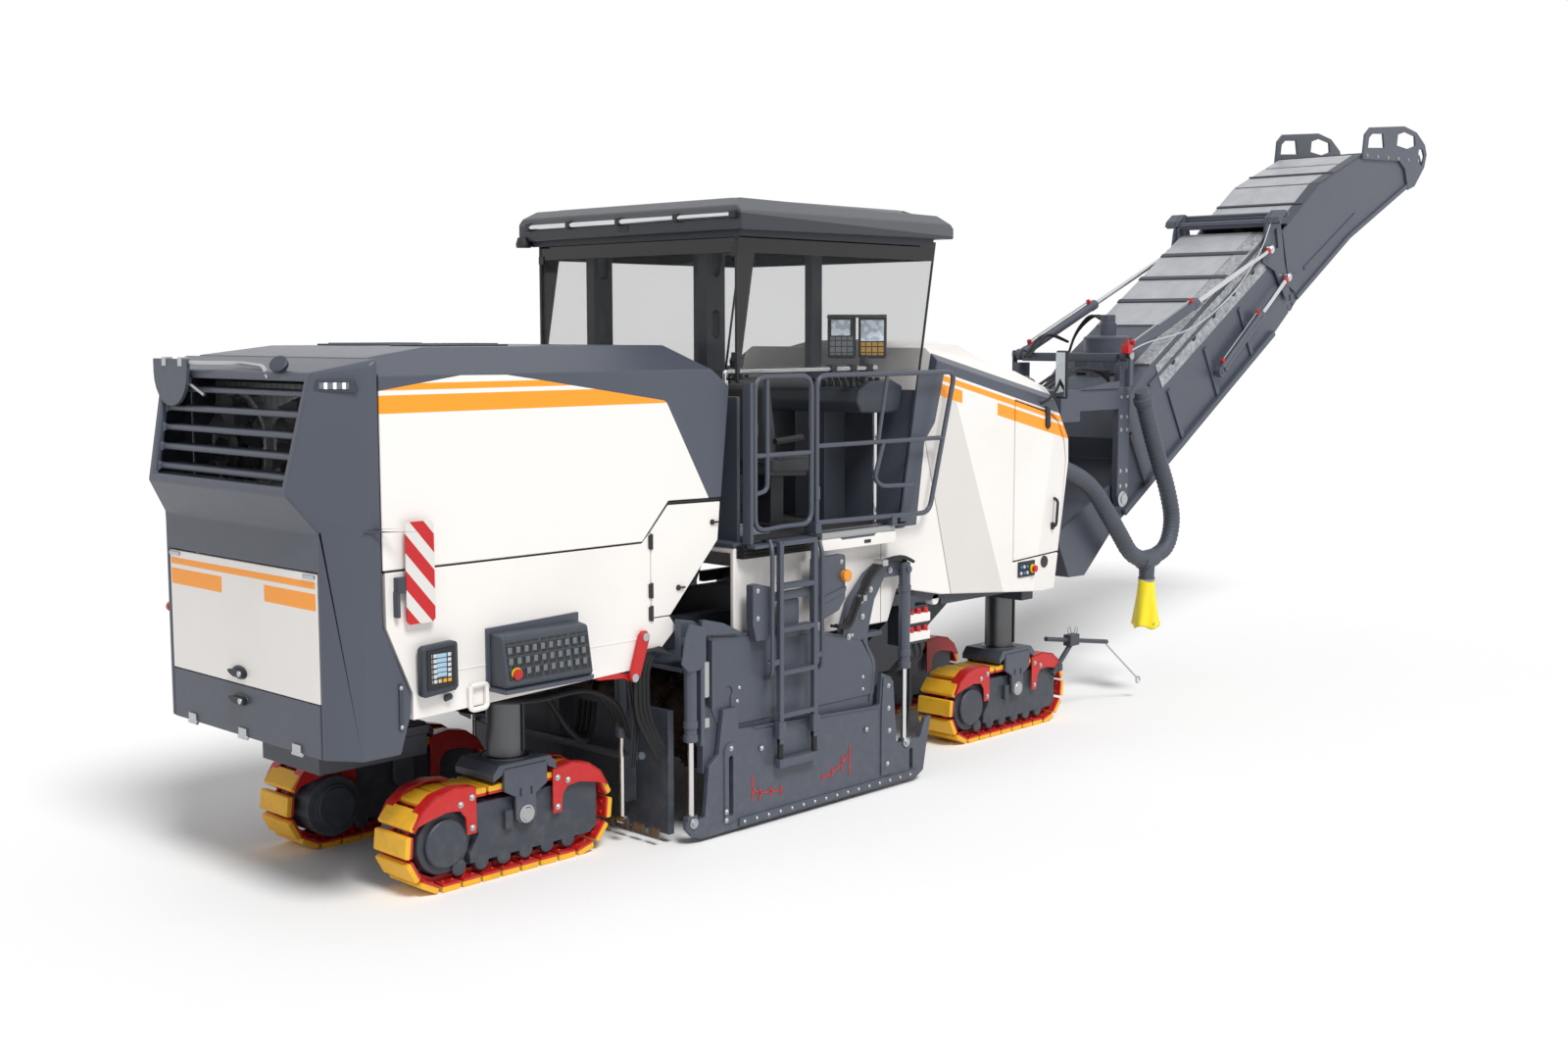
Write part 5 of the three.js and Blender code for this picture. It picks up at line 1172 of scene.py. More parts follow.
# Barrel collars, the upright guides beside the rear cylinder, hoses over the arch with clamps.
collars = []
for x, low, high in ((2.56, 0.7, 1.4), (4.76, 0.89, 1.69)):
    for z in (low + 0.0, low + 0.09, high - 0.22):
        collars.append(turned("collar", (x, -1.19, z), (x, -1.19, z + 0.05),
                [(0, 0.046), (0.004, 0.05), (0.046, 0.05), (0.05, 0.046)], 20))
    collars.append(turned("boss", (x, -1.245, high - 0.05), (x, -1.15, high - 0.05),
            [(0, 0.02), (0.006, 0.028), (0.09, 0.028)], 18))
collars.append(block("post", (2.625, -1.225, 0.66), (2.66, -1.165, 1.36), 0.006))
collars.append(block("post", (2.73, -1.222, 0.9), (2.755, -1.17, 1.36), 0.006))
collars.append(cut("gusset",
        [(2.44, 1.24), (2.48, 1.42), (2.52, 1.5), (2.66, 1.46), (2.66, 1.24), (2.6, 1.18),
            (2.5, 1.18)], -1.24, -1.225, 0.004))
collars.append(cut("shelf",
        [(2.66, 1.4), (3.02, 1.37), (3.02, 1.385), (2.86, 1.46), (2.7, 1.5), (2.66, 1.5)], -1.2,
        -1.165, 0.004))
both(join("right_lift_fittings", *collars), grey)
slides = [block("slide", (2.672, -1.212, 0.98), (2.716, -1.17, 1.22), 0.006),
    block("slide", (2.672, -1.212, 0.775), (2.716, -1.17, 0.84), 0.006)]
both(join("right_guide_slides", *slides), alloy)
arch_top = [(3.98, -1.17, 1.3), (4.12, -1.17, 1.27), (4.2, -1.17, 1.42), (4.36, -1.17, 1.63),
    (4.48, -1.17, 1.71), (4.72, -1.17, 1.735), (4.83, -1.17, 1.69), (4.845, -1.18, 1.3),
    (4.82, -1.18, 0.96)]
lines = []
for i, (dy, dz) in enumerate(((0.012, 0.0), (-0.018, 0.006), (-0.048, 0.0))):
    lines.append(
        tube("line", [(x + dz * 2, y + dy, z + dz) for x, y, z in arch_top[:7 if i else 9]],
            0.013, 0.12, 8))
both(join("right_arch_hoses", *lines), rubber)
clamps = [block("clamp", (4.245, -1.235, 1.455), (4.285, -1.14, 1.5), 0.005),
    block("clamp", (4.46, -1.235, 1.69), (4.52, -1.14, 1.735), 0.005)]
clamps.append(
    bolts("studs", [(4.16, 1.2), (4.31, 1.33), (4.3, 1.45), (4.4, 1.52), (4.62, 1.64)], -1.165,
        -0.1, 0.015))
both(join("right_arch_clamps", *clamps), zinc)
for side, y in (("right", -1.19), ("left", 1.19)):
    guard_hose = tube(side + "_rod_guard", upright(y, (4.825, 1.0), (4.83, 0.6), (4.8, 0.42)),
        0.014, 0.1, 8)
    paint(guard_hose, rubber)
    side + "_side_plate"
    at(4.825, y, 1.0)
    at(4.80, y, 0.42)
    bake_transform(guard_hose)

# Valve bank behind the front cylinder: white blocks with red solenoids on a dark manifold.
valves = [block("bank", (4.95, -1.0, 1.0), (5.28, -0.86, 1.30), 0.01)]
whites, reds = [], []
for i in range(2):
    whites.append(
        block("white", (4.93, -1.03, 1.03 + i * 0.14), (5.27, -0.99, 1.1 + i * 0.14), 0.006))
    for k in range(4):
        reds.append(turned("coil", (4.97 + k * 0.085, -1.01, 1.1 + i * 0.14),
                (4.97 + k * 0.085, -1.01, 1.15 + i * 0.14),
                [(0, 0.024), (0.03, 0.024), (0.04, 0.016)], 12))
gauge = turned("gauge", (5.33, -0.95, 1.33), (5.33, -1.03, 1.33),
    [(0, 0.04), (0.06, 0.045), (0.08, 0.04)], 20)
loops = [
    tube("loop", [(4.98 + k * 0.07, -0.98, 1.0), (4.98 + k * 0.07, -1.02, 0.9), (4.9, -1.0, 0.82),
            (4.8, -0.9, 0.8)], 0.012, 0.1, 8) for k in range(4)]
fit(join("right_valve_bank", *valves), dark)
fit(join("right_valve_blocks", *whites, gauge), white)
fit(join("right_valve_coils", *reds), red)
fit(join("right_valve_hoses", *loops), rubber)

# ---- ladders ----
# Each ladder is a frame of steel tubes bolted below the platform, beside two boxed covers, with
# pressed rungs and a folding foot step that hangs on rubber straps. A post carries the gate.
stiles = []
for x in (3.345, 3.69):
    stiles.append(block("stile", (x - 0.02, -1.28, 0.56), (x + 0.02, -1.24, 1.96), 0.006))
for i in range(1, 6):
    z = 0.44 + i * 0.3
    back = -1.2 if i > 1 else -1.229
    stiles.append(cut("rung",
            [(-1.243, z), (-1.277, z), (-1.279, z + 0.034), (back, z + 0.036), (back, z + 0.03),
                (-1.243, z + 0.028)], 3.36, 3.675, 0.003, plane="yz"))
stiles.append(block("top", (3.325, -1.275, 1.955), (3.71, -1.1, 1.975), 0.005))
stiles.append(block("foot", (3.12, -1.245, 1.935), (3.345, -1.16, 1.96), 0.005))
stiles.append(block("post", (3.12, -1.2, 1.96), (3.15, -1.12, 3.06), 0.006))
for x, high in ((3.262, 1.98), (3.765, 1.93)):
    stiles.append(
        tube("handle", [(x + 0.02, -1.22, high), (x, -1.265, high - 0.06), (x, -1.265, 1.06),
                (x + 0.02, -1.18, 1.02)], 0.017, 0.05, 10))
for x in (3.262, 3.765):
    stiles.append(block("bracket", (min(x, x + 0.08 if x < 3.5 else x - 0.08), -1.275, 1.12),
            (max(x, x + 0.08 if x < 3.5 else x - 0.08), -1.25, 1.16), 0.004))
hinge = [block("hinge", (x - 0.035, -1.287, 0.6), (x + 0.035, -1.236, 0.72), 0.008)
    for x in (3.345, 3.69)]
boxes = [cut("box",
        [(3.106, 1.42), (3.106, 1.69), (3.16, 1.695), (3.3, 1.66), (3.3, 1.42), (3.26, 1.3),
            (3.14, 1.3)], -1.235, -1.165, 0.008), cut("box",
        [(3.74, 1.36), (3.74, 1.81), (4.035, 1.82), (4.048, 1.805), (4.048, 1.5), (3.98, 1.42),
            (3.78, 1.36)], -1.235, -1.165, 0.008),
    block("bar", (3.29, -1.24, 1.56), (3.75, -1.2, 1.62), 0.006),
    cut("ledge", [(3.78, 1.48), (4.04, 1.55), (4.046, 1.57), (4.046, 1.59), (3.78, 1.53)], -1.245,
        -1.23, 0.004), block("lid", (3.42, -1.2, 1.28), (3.6, -1.165, 1.55), 0.01)]
both(join("right_ladder_frame", *stiles, *hinge, *boxes), grey, "chassis", "right_ladder")
straps = [block("strap", (x - 0.02, -1.272, 0.44), (x + 0.02, -1.248, 0.61), 0.004)
    for x in (3.345, 3.69)]
tread = cut("right_foot_step",
    [(-1.235, 0.395), (-1.285, 0.395), (-1.287, 0.455), (-1.235, 0.458)], 3.315, 3.72, 0.004,
    plane="yz")
both(join("right_step_straps", *straps), rubber)
both(tread, grey)
both(bolts("right_ladder_bolts",
        [(3.15, 1.65), (3.15, 1.46), (3.79, 1.77), (4.0, 1.77), (3.262, 1.14), (3.765, 1.14),
            (3.345, 0.66), (3.69, 0.66)], -1.234, -0.1, 0.011), zinc)
amber = Finish("amber_lens")
place = amber.place()
x, y, z = amber.split(place)
ribs = (z * 420.0).wave()
amber.set(Base_Color=amber.mix(ribs * 0.3 + 0.3, "f59a12", "c96f05"),
    Roughness=ribs * 0.05 + 0.25, Normal=amber.bump(ribs, 0.0006, 0.5), Coat_Weight=0.6)
both(turned("right_amber_lamp", (4.03, -1.23, 1.669), (4.03, -1.29, 1.669),
        [(0, 0.04), (0.02, 0.045), (0.045, 0.043), (0.055, 0.03)], 24), amber)

# Hoses, a cross pipe and the scraper's own lift cylinders fill the space behind the housing.
cross = [
    tube("pipe", [(2.3, -1.0, 0.62), (2.33, -0.8, 0.58), (2.33, 0.8, 0.58), (2.3, 1.0, 0.62)],
        0.028, 0.1, 10)]
teeth = [block("tooth", (2.375, -1.06 + i * 0.152, 0.05), (2.4, -0.97 + i * 0.152, 0.12), 0.004)
    for i in range(14)]
fit(join("scraper_teeth", *teeth), steel, "scraper")
for y in (-0.82, 0.82):
    cross.append(turned("barrel", (2.28, y, 0.72), (2.28, y, 1.28),
            [(0, 0.035), (0.01, 0.042), (0.5, 0.042), (0.52, 0.035)], 20))
    cross.append(block("lug", (2.24, y - 0.04, 1.12), (2.36, y + 0.04, 1.22), 0.008))
fit(join("scraper_cylinders", *cross), grey)
stems = [rod("stem", (2.28, y, 0.16), (2.28, y, 0.80), 0.018, 16) for y in (-0.82, 0.82)]
stems += [
    turned("eye", (2.28, y - 0.03, 0.16), (2.28, y + 0.03, 0.16), [(0, 0.028), (0.06, 0.028)], 16)
    for y in (-0.82, 0.82)]
fit(join("scraper_stems", *stems), chrome, "scraper")
bundle = []
for i in range(4):
    d = i * 0.035
    bundle.append(tube("hose",
            [(2.42, -1.12 - d * 0.3, 1.3), (2.36 - d, -1.1, 1.36), (2.28 - d, -1.08, 1.22),
                (2.3 - d, -1.06, 0.9), (2.42, -1.08 + d * 0.3, 0.66 - d)], 0.014, 0.12, 8))
bundle += [tube("hose",
        [(1.75 + i * 0.05, -0.7 + i * 0.06, 1.05), (1.95, -0.72 + i * 0.06, 0.75 + i * 0.04),
            (2.2, -0.6 + i * 0.05, 0.66), (2.32, -0.5 + i * 0.05, 0.9)], 0.016, 0.15, 8)
    for i in range(4)]
both(join("right_rear_hoses", *bundle), rubber)

# ---- platform ----
# The driver's platform lies across the machine between hood and front body: a welded tub with a
# rubber mat, two seats, a desk across its front, tube rails and a swing gate on each side.
shell("platform_tub", grey, 0.006)
mat_rubber = Finish("ribbed_mat")
place = mat_rubber.place()
x, y, z = mat_rubber.split(place)
rib = (y * 210.0).wave() * 0.5 + 0.5
grit = mat_rubber.noise(place, 60.0, 4.0)
mat_rubber.set(Base_Color=mat_rubber.mix(grit, "191a1c", "2e2d2c"), Roughness=grit * 0.2 + 0.65,
    Normal=mat_rubber.bump(rib, 0.003, 0.8))
fit(block("platform_mat", (3.2, -1.06, 1.962), (4.82, 1.06, 1.974), 0.003), mat_rubber)
both(cut("right_sill",
        [(-1.04, 1.955), (-1.175, 1.93), (-1.18, 1.955), (-1.175, 1.978), (-1.04, 1.978)], 3.86,
        4.66, 0.004, plane="yz"), alloy)
both(cut("right_white_sill",
        [(3.848, 1.85), (4.64, 1.85), (4.66, 1.87), (4.66, 1.93), (4.45, 1.935), (4.43, 1.915),
            (4.06, 1.915), (4.05, 1.93), (3.848, 1.93)], -1.19, -1.082, 0.006), white)
both(join("right_sill_clips", block("clip", (4.3, -1.196, 1.873), (4.37, -1.186, 1.897), 0.003),
        block("latch", (4.4, -1.17, 1.93), (4.56, -1.12, 1.965), 0.01)), black)
folds = [block("fold", (3.1, -1.145 - 0.008 * (i % 2), 1.86 + i * 0.013),
        (3.78, -1.06, 1.871 + i * 0.013), 0.003) for i in range(7)]
both(join("right_step_bellows", *folds), rubber)
panel_paint = enamel("pale_grey_panel", "8f95a3", 0.4)
inner = [
    cut("wall", [(3.2, 1.99), (3.52, 1.99), (3.56, 2.3), (3.5, 2.75), (3.3, 2.86), (3.2, 2.86)],
        0.9, 0.94, 0.02),
    cut("step", [(3.2, 1.975), (3.62, 1.975), (3.62, 2.0), (3.5, 2.045), (3.2, 2.045)], -0.9, 0.9,
        0.02)]
fit(join("inner_panels", *inner), panel_paint)
wall = cut("right_front_wall",
    [(4.84, 1.975), (5.03, 1.975), (5.1, 2.55), (5.24, 2.71), (5.34, 3.07), (5.05, 3.11),
        (4.96, 2.6)], -1.079, -1.056, 0.006)
both(wall, grey)

fabric = Finish("seat_fabric", slot="seat_fabric")
place = fabric.place()
x, y, z = fabric.split(place)
weave = (x * 900.0).wave() * (y * 900.0).wave() + (z * 900.0).wave() * 0.5
cloud = fabric.noise(place, 8.0, 3.0)
fabric.set(Base_Color=fabric.mix(cloud, "1d1e21", "303236"), Roughness=weave * 0.04 + 0.8,
    Normal=fabric.bump(weave, 0.0008, 0.6), Sheen_Weight=0.3)
cushions, frames = [], []
for s in (-1, 1):
    y = s * 0.59
    seat = cut("seat",
        [(3.72, 2.4), (4.12, 2.38), (4.155, 2.42), (4.15, 2.47), (4.11, 2.5), (3.95, 2.485),
            (3.74, 2.49)], y - 0.22, y + 0.22, 0.04, 5)
    back = cut("back",
        [(3.7, 2.47), (3.78, 2.46), (3.8, 2.6), (3.745, 2.98), (3.71, 3.03), (3.66, 3.02),
            (3.645, 2.98)], y - 0.2, y + 0.2, 0.035, 5)
    bolsters = [
        cut("bolster", [(3.76, 2.48), (4.12, 2.47), (4.12, 2.53), (3.8, 2.54)], y + t - 0.035,
            y + t + 0.035, 0.024, 4) for t in (-0.19, 0.19)]
    cushions.append(join("seat_cushion_" + "lr"[s < 0], seat, back, *bolsters))
    frames += [block("box", (3.85, y - 0.09, 2.0), (3.99, y + 0.09, 2.38), 0.01),
        cut("pan", [(3.71, 2.37), (4.12, 2.35), (4.12, 2.39), (3.72, 2.41)], y - 0.2, y + 0.2,
            0.01), tube("arm", [(3.74, y - 0.24, 2.62), (4.02, y - 0.24, 2.64)], 0.024, 0.0, 10),
        tube("arm", [(3.74, y + 0.24, 2.62), (4.02, y + 0.24, 2.64)], 0.024, 0.0, 10)]
for cushion in cushions:
    fit(cushion, fabric)
frames.append(block("rail", (3.78, -0.8, 1.966), (4.06, 0.8, 2.015), 0.006))
fit(join("seat_frames", *frames), black, "chassis", "seat_pair")

# Desk with a sloping key field on each wing, two levers, a rail and a pair of screens on it.
desk = [cut("desk",
        [(4.48, 2.875), (4.53, 2.8), (4.84, 2.79), (4.96, 2.8), (5.005, 2.99), (4.88, 3.04),
            (4.62, 3.03), (4.5, 2.965)], -0.96, 0.96, 0.02, 3),
    block("pedestal", (4.56, -0.56, 1.97), (4.8, -0.25, 2.81), 0.015),
    block("pedestal", (4.56, 0.25, 1.97), (4.8, 0.56, 2.81), 0.015),
    block("foot", (4.6, -0.93, 3.0), (4.64, -0.87, 3.21), 0.006)]
fit(join("driver_desk", *desk), dark, "chassis", "platform_console", slot="grey_paint")
pads_out, knobs = [], []
for s in (-1, 1):
    for i in range(4):
        for j in range(7):
            knob = turned("knob", (4.56 + i * 0.07, s * 0.9 - s * j * 0.07, 3.0 + i * 0.008),
                (4.56 + i * 0.07, s * 0.9 - s * j * 0.07, 3.06),
                [(0, 0.02), (0.03, 0.02), (0.034, 0.015)], 12)
            knobs.append(knob)
    pads_out.append(rod("lever", (4.6, s * 0.42, 3.0), (4.56, s * 0.42, 3.13), 0.012, 10))
    pads_out.append(turned("grip", (4.562, s * 0.42, 3.1), (4.55, s * 0.42, 3.22),
            [(0, 0.012), (0.01, 0.024), (0.07, 0.028), (0.1, 0.016)], 14))
fit(join("desk_keys", *knobs, *pads_out), black)
turn = about(4.62, -0.83, 3.36, "Z", 38)
body_parts, faces = [], []
for i, (low, high) in enumerate(((-1.05, -0.84), (-0.82, -0.61))):
    body_parts.append(block("case", (4.59, low, 3.2), (4.65, high, 3.52), 0.02))
    faces.append(block("glass", (4.584, low + 0.02, 3.225), (4.592, high - 0.02, 3.5), 0.003))
hood_lip = cut("lip", [(4.5, 3.5), (4.62, 3.525), (4.65, 3.52), (4.62, 3.51)], -1.05, -0.61,
    0.003)
cases = join("screen_cases", *body_parts, hood_lip)
cases.data.transform(turn)
glasses = join("screen_faces", *faces)
glasses.data.transform(turn)
fit(cases, black)
picture = Finish("screen_picture")
place = picture.place()
x, y, z = picture.split(place)
u = ((x - REAR - 4.62) * 0.616 - (y + 0.83) * 0.788) * -1.0
left = u.between(0.02, 0.22)
key = (u - 0.02).remainder(0.045).step(0.006,
    0.008) * (z - 3.24).remainder(0.045).step(0.006, 0.008)
sky_part = z.between(3.33, 3.485) * (1 - left) * u.between(-0.2, -0.03)
small = z.between(3.37, 3.485) * left * u.between(0.05, 0.19)
noise = picture.noise(picture.stretch(place, (24, 24, 24)), 1.0, 0.0)
shown = picture.mix(noise > 0.5, "b9c6d4", "e3ecf2")
face = picture.mix(key * left * (z < 3.36), "131416", "777c82")
face = picture.mix(key * (1 - left) * (z < 3.32), face, "c79a3b")
face = picture.mix(sky_part.most(small), face, shown)
picture.set(Base_Color=face, Roughness=noise * 0.1 + 0.15, Normal=picture.bump(key, 0.0008, 0.3),
    Emission_Color=picture.mix(sky_part.most(small), "000000", shown), Emission_Strength=0.25)
fit(glasses, picture)
fit(join("chrome_grab_rail", rod("rail", (3.19, -0.93, 3.13), (4.72, -0.93, 3.13), 0.02, 20),
        tube("end", upright(-0.93, (3.19, 3.13), (3.15, 3.13), (3.15, 2.94)), 0.02, 0.03, 12)),
    chrome)
holders = [block("holder", (x, -0.96, 3.1), (x + 0.06, -0.9, 3.16), 0.008)
    for x in (4.2, 4.42, 4.6)]
holders.append(block("stand", (4.44, -0.945, 3.0), (4.47, -0.915, 3.11), 0.004))
fit(join("grab_rail_holders", *holders), black)
post = join("chrome_post", rod("post", (4.70, -0.94, 1.97), (4.70, -0.94, 2.80), 0.018, 16))
fit(post, chrome)

R = 0.019
rails = [tube("rail",
        upright(-1.18, (3.798, 1.985), (3.798, 3.095), (5.35, 3.095), (5.056, 2.04), (3.8, 2.06)),
        R, 0.09, 12), tube("rail", [(3.798, -1.18, 2.6), (5.205, -1.18, 2.6)], R * 0.9, 0, 12),
    tube("rail", [(4.56, -1.18, 3.09), (4.46, -1.18, 2.602)], R * 0.8, 0, 12),
    tube("rail", upright(-1.18, (4.86, 2.262), (4.5, 2.275), (4.42, 2.33), (4.52, 2.6)), R * 0.9,
        0.05, 12), block("bracket", (3.768, -1.203, 1.985), (3.828, -1.086, 2.06), 0.006),
    block("bracket", (4.6, -1.203, 1.976), (4.66, -1.086, 2.055), 0.006),
    block("hinge", (3.775, -1.2, 2.22), (3.82, -1.16, 2.32), 0.01)]
both(join("right_railing", *rails), grey, "chassis", "right_guard_rail")
swing = [tube("loop",
        upright(-1.18, (3.46, 2.06), (3.743, 2.06), (3.743, 3.095), (3.18, 3.095), (3.18, 2.045),
            (3.46, 2.06)), R, 0.1, 12),
    tube("bar", [(3.18, -1.18, 2.56), (3.743, -1.18, 2.56)], R * 0.9, 0, 12),
    tube("bar", upright(-1.18, (3.3, 3.08), (3.3, 2.32), (3.18, 2.3)), R * 0.9, 0.05, 12),
    block("catch", (3.16, -1.195, 2.7), (3.2, -1.165, 2.78), 0.008)]
both(join("right_swing_gate", *swing), grey, "right_gate", "right_gate")

# ---- canopy ----
# A steel roof on four masts that slide down for transport. Panes of safety glass with black
# printed edges hang under it, and a chrome tube with a lamp cup crosses its rear edge.
def roof_colours(finish, place, base):
    x, y, z = finish.split(place)
    # Painted shade: below a line along the roof's edge, from z 4.18 at the rear to 4.11 at the
    # front, the paint turns dark 2f333a where the recess under the rim lies in shade.
    painted_recess_shade = over(finish, x, z, (3.1, 4.18), (5.25, 4.11)) > 0.0
    return finish.mix(painted_recess_shade, base, "2f333a")


roof_paint = enamel("roof_enamel", "54575c", 0.42, roof_colours)
shell("canopy_roof", roof_paint, 0.012, 3)
raised = cut("roof_panel", [(-0.98, 4.275), (-0.92, 4.302), (0.92, 4.302), (0.98, 4.275)], 3.22,
    5.0, 0.008, plane="yz")
lip = cut("roof_lip", [(3.052, 4.235), (3.14, 4.288), (3.22, 4.3), (3.22, 4.25)], -0.9, 0.9,
    0.008)
fore = cut("roof_fore", [(5.0, 4.3), (5.2, 4.268), (5.305, 4.175), (5.2, 4.2), (5.0, 4.25)],
    -0.95, 0.95, 0.008)
fit(join("roof_panels", raised, lip, fore), roof_paint, "canopy")
under_paint = enamel("roof_underside", "33363c", 0.6, slot="dark_paint")
ceiling = block("roof_lining", (3.12, -1.12, 4.10), (5.16, 1.12, 4.112), 0.004)
valance = [block("valance", (3.1, -1.1, 4.03), (3.125, 1.1, 4.1), 0.004),
    block("valance", (3.1, -1.125, 4.035), (5.15, -1.1, 4.1), 0.004),
    block("valance", (3.1, 1.1, 4.035), (5.15, 1.125, 4.1), 0.004)]
fit(join("roof_underside", ceiling, *valance), under_paint, "canopy")
fit(rod("roof_tube", (3.035, -1.12, 4.17), (3.035, 1.05, 4.17), 0.019, 18), chrome, "canopy")
grips = [block("grip", (3.012, y, 4.145), (3.062, y + 0.05, 4.2), 0.008)
    for y in (-1.15, -0.6, 0.0, 0.55, 1.02)]
grips.append(block("notch", (3.046, -0.06, 4.10), (3.056, 0.06, 4.19), 0.004))
fit(join("roof_tube_clamps", *grips), black, "canopy")
fit(turned("roof_lamp_cup", (3.05, 1.13, 4.1), (3.05, 1.13, 4.02),
        [(0, 0.045), (0.05, 0.06), (0.075, 0.055)], 24), black, "canopy")
mast_paint = enamel("mast_enamel", "2c3037", 0.5, slot="dark_paint")
masts = []
for s in (-1, 1):
    wide = cut("mast", [(3.25, 2.56), (3.43, 2.56), (3.43, 4.2), (3.25, 4.2)], s * 0.6 - 0.045,
        s * 0.6 + 0.045, 0.0)
    for z0, z1 in ((3.35, 3.55), (3.78, 3.98)):
        hole(wide,
            cut("slot", slot_outline(3.34, z0, z1, 0.035), s * 0.6 - 0.1, s * 0.6 + 0.1, 0.0))
    soften(wide, 0.006)
    thin = block("mast", (4.33, s * 0.6 - 0.035, 3.06), (4.45, s * 0.6 + 0.035, 4.2), 0.008)
    masts += [wide, thin,
        block("beam", (3.25, s * 0.6 - 0.035, 4.085), (4.45, s * 0.6 + 0.035, 4.2), 0.006),
        block("guide", (3.235, s * 0.6 - 0.06, 3.0), (3.445, s * 0.6 + 0.06, 3.12), 0.01)]
masts += [block("cross", (3.3, -1.0, 4.09), (3.38, 1.0, 4.2), 0.006),
    block("cross", (4.35, -1.0, 4.09), (4.43, 1.0, 4.2), 0.006)]
fit(join("canopy_frame", *masts), mast_paint, "canopy", "canopy_masts")


def pane_finish(name, u_low, u_high, axis):
    """Clear tinted glass with a black printed border on its edges and along its top."""
    finish = Finish(name, "glazing")
    place = finish.place()
    x, y, z = finish.split(place)
    across = y if axis == "y" else x - REAR - (z - 3.07) * 0.18
    border = ((across < u_low + 0.014) * (z > 0.0)).most(across > u_high - 0.014)
    border = border.most(z < 3.084).most(z > 3.93)
    smear = finish.noise(finish.stretch(place, (1, 1, 0.3)), 6.0, 3.0)
    finish.set(Base_Color=finish.mix(border, "44484b", "17181a"), Alpha=border * 0.86 + 0.12,
        Roughness=smear * 0.05 + 0.02, Normal=finish.bump(smear, 0.0002, 0.2))
    return finish


rear_glass = pane_finish("rear_glass", -1.05, 1.05, "y")
fit(block("rear_pane", (3.14, -1.05, 3.07), (3.152, 1.05, 4.075), 0.002), rear_glass, "canopy",
    "canopy_glass")
sides_glass = pane_finish("side_glass", 3.145, 5.09, "x")
both(cut("right_pane", [(3.156, 3.075), (5.088, 3.075), (5.1, 3.11), (5.27, 4.06), (5.268, 4.072),
            (3.156, 4.072)], -1.05, -1.038, 0.002), sides_glass, "canopy")
fit(cut("front_pane", [(5.075, 3.075), (5.087, 3.075), (5.268, 4.072), (5.256, 4.072)], -1.036,
        1.036, 0.002), rear_glass, "canopy")
clips = [block("clip", (3.132, s * 1.03 - 0.03, z), (3.154, s * 1.03 + 0.03, z + 0.06), 0.005)
    for s in (-1, 1) for z in (3.2, 3.9)]
clips += [
    block("strip", (3.136, s * 1.046 - 0.012, 3.07), (3.154, s * 1.046 + 0.012, 4.075), 0.003)
    for s in (-1, 1)]
fit(join("pane_clips", *clips), black, "canopy")

# ---- front body ----
# White sheet steel panels cover the water tank and the primary conveyor. A grey strip runs along
# the shoulder over two orange bands. The side's shallow facets behind the door and by the grip
# are
# not modelled: their darker look is painted shade, with a painted dark crease line along the
# fold.


def body_colours(finish, place, base):
    x, y, z = finish.split(place)
    x = x - REAR
    side = y.size() > 1.0
    slope = z + (x - 5.5) * 0.235
    edge = (x - (z - 1.98) * 0.147).least(9.0) < 5.03
    upper = (x - (z - 2.572) * 0.89 < 5.117) * (z > 2.572) * (z < 2.71)
    upper = upper.most((x - (z - 2.71) * 0.286 < 5.24) * (z > 2.71))
    wall = side * (edge * (z > 1.94) * (z < 2.573)).most(upper)
    # Painted shade: the facet behind the door is painted darker, toward 8e8780, because the real
    # side turns away from the light there. The facet itself is not modelled.
    fold = side * (x - (2.572 - z) * 0.277 > 5.117) * (x - (2.75 - z) * 0.41 < 5.55) * (z < 2.9)
    # Painted shade: a thin dark line along the edge of the unmodelled fold stands in for the
    # crease's shade.
    painted_crease_shade = (x - (2.572 - z) * 0.277 > 5.117) * (x - (2.572 - z) * 0.277 < 5.13) * (z < 2.9) * side
    # Painted shade: the strip of the side by the grip is painted slightly darker, because the
    # real side turns away from the light there.
    nose = side * (x - (z - 1.5) * 0.2 > 6.6)
    shade = finish.mix(fold * 0.28 + nose * 0.1, base, "8e8780")
    seam = side * x.between(4.612, 4.618) * (z < 1.86)
    # The seam is a dark panel joint. The crease line mixed in with it here is painted shade.
    shade = finish.mix(seam.most(painted_crease_shade * 0.5), shade, "3a3733")
    gap = x.between(5.578, 6.031)
    thick = slope.between(2.863, 2.961) * (1 - gap)
    bands = thick.most(slope.between(2.983, 3.029)) * side * (x > 5.27)
    shade = finish.mix(bands, shade, ORANGE)
    grey_edge = (slope > 3.05) * (y.size() > 1.0) * (x > 5.2)
    return finish.mix(grey_edge.most(wall), shade, GREY)


body_paint = enamel("front_body_enamel", WHITE, 0.36, body_colours, slot="white_paint")
shell("front_body", body_paint, 0.012, 3)
shell("right_front_door", body_paint, 0.006)
shell("left_front_door", body_paint, 0.006)
grip = tube("right_front_grip",
    [(6.83, -1.082, 2.02), (6.815, -1.13, 2.0), (6.795, -1.13, 1.8), (6.8, -1.082, 1.78)], 0.013,
    0.03, 10)
foot = block("foot", (6.785, -1.092, 1.76), (6.83, -1.078, 1.82), 0.006)
both(join("right_front_grip", grip, foot), black, "right_front_door")
both(cut("right_nose_latch",
        [(6.68, 2.79), (6.735, 2.775), (6.745, 2.62), (6.715, 2.6), (6.685, 2.625)], -1.098,
        -1.079, 0.006), black, "right_front_door")
fit(block("right_switch_plate", (6.33, -1.092, 1.4), (6.56, -1.079, 1.53), 0.008), black)
dots, blues = [], []
for i in range(3):
    for j in range(2):
        spot = (6.36 + i * 0.042, -1.09, 1.435 + j * 0.05)
        made = turned("dot", spot, (spot[0], -1.12, spot[2]),
            [(0, 0.014), (0.01, 0.014), (0.014, 0.009)], 12)
        (blues if (i + j) % 2 else dots).append(made)
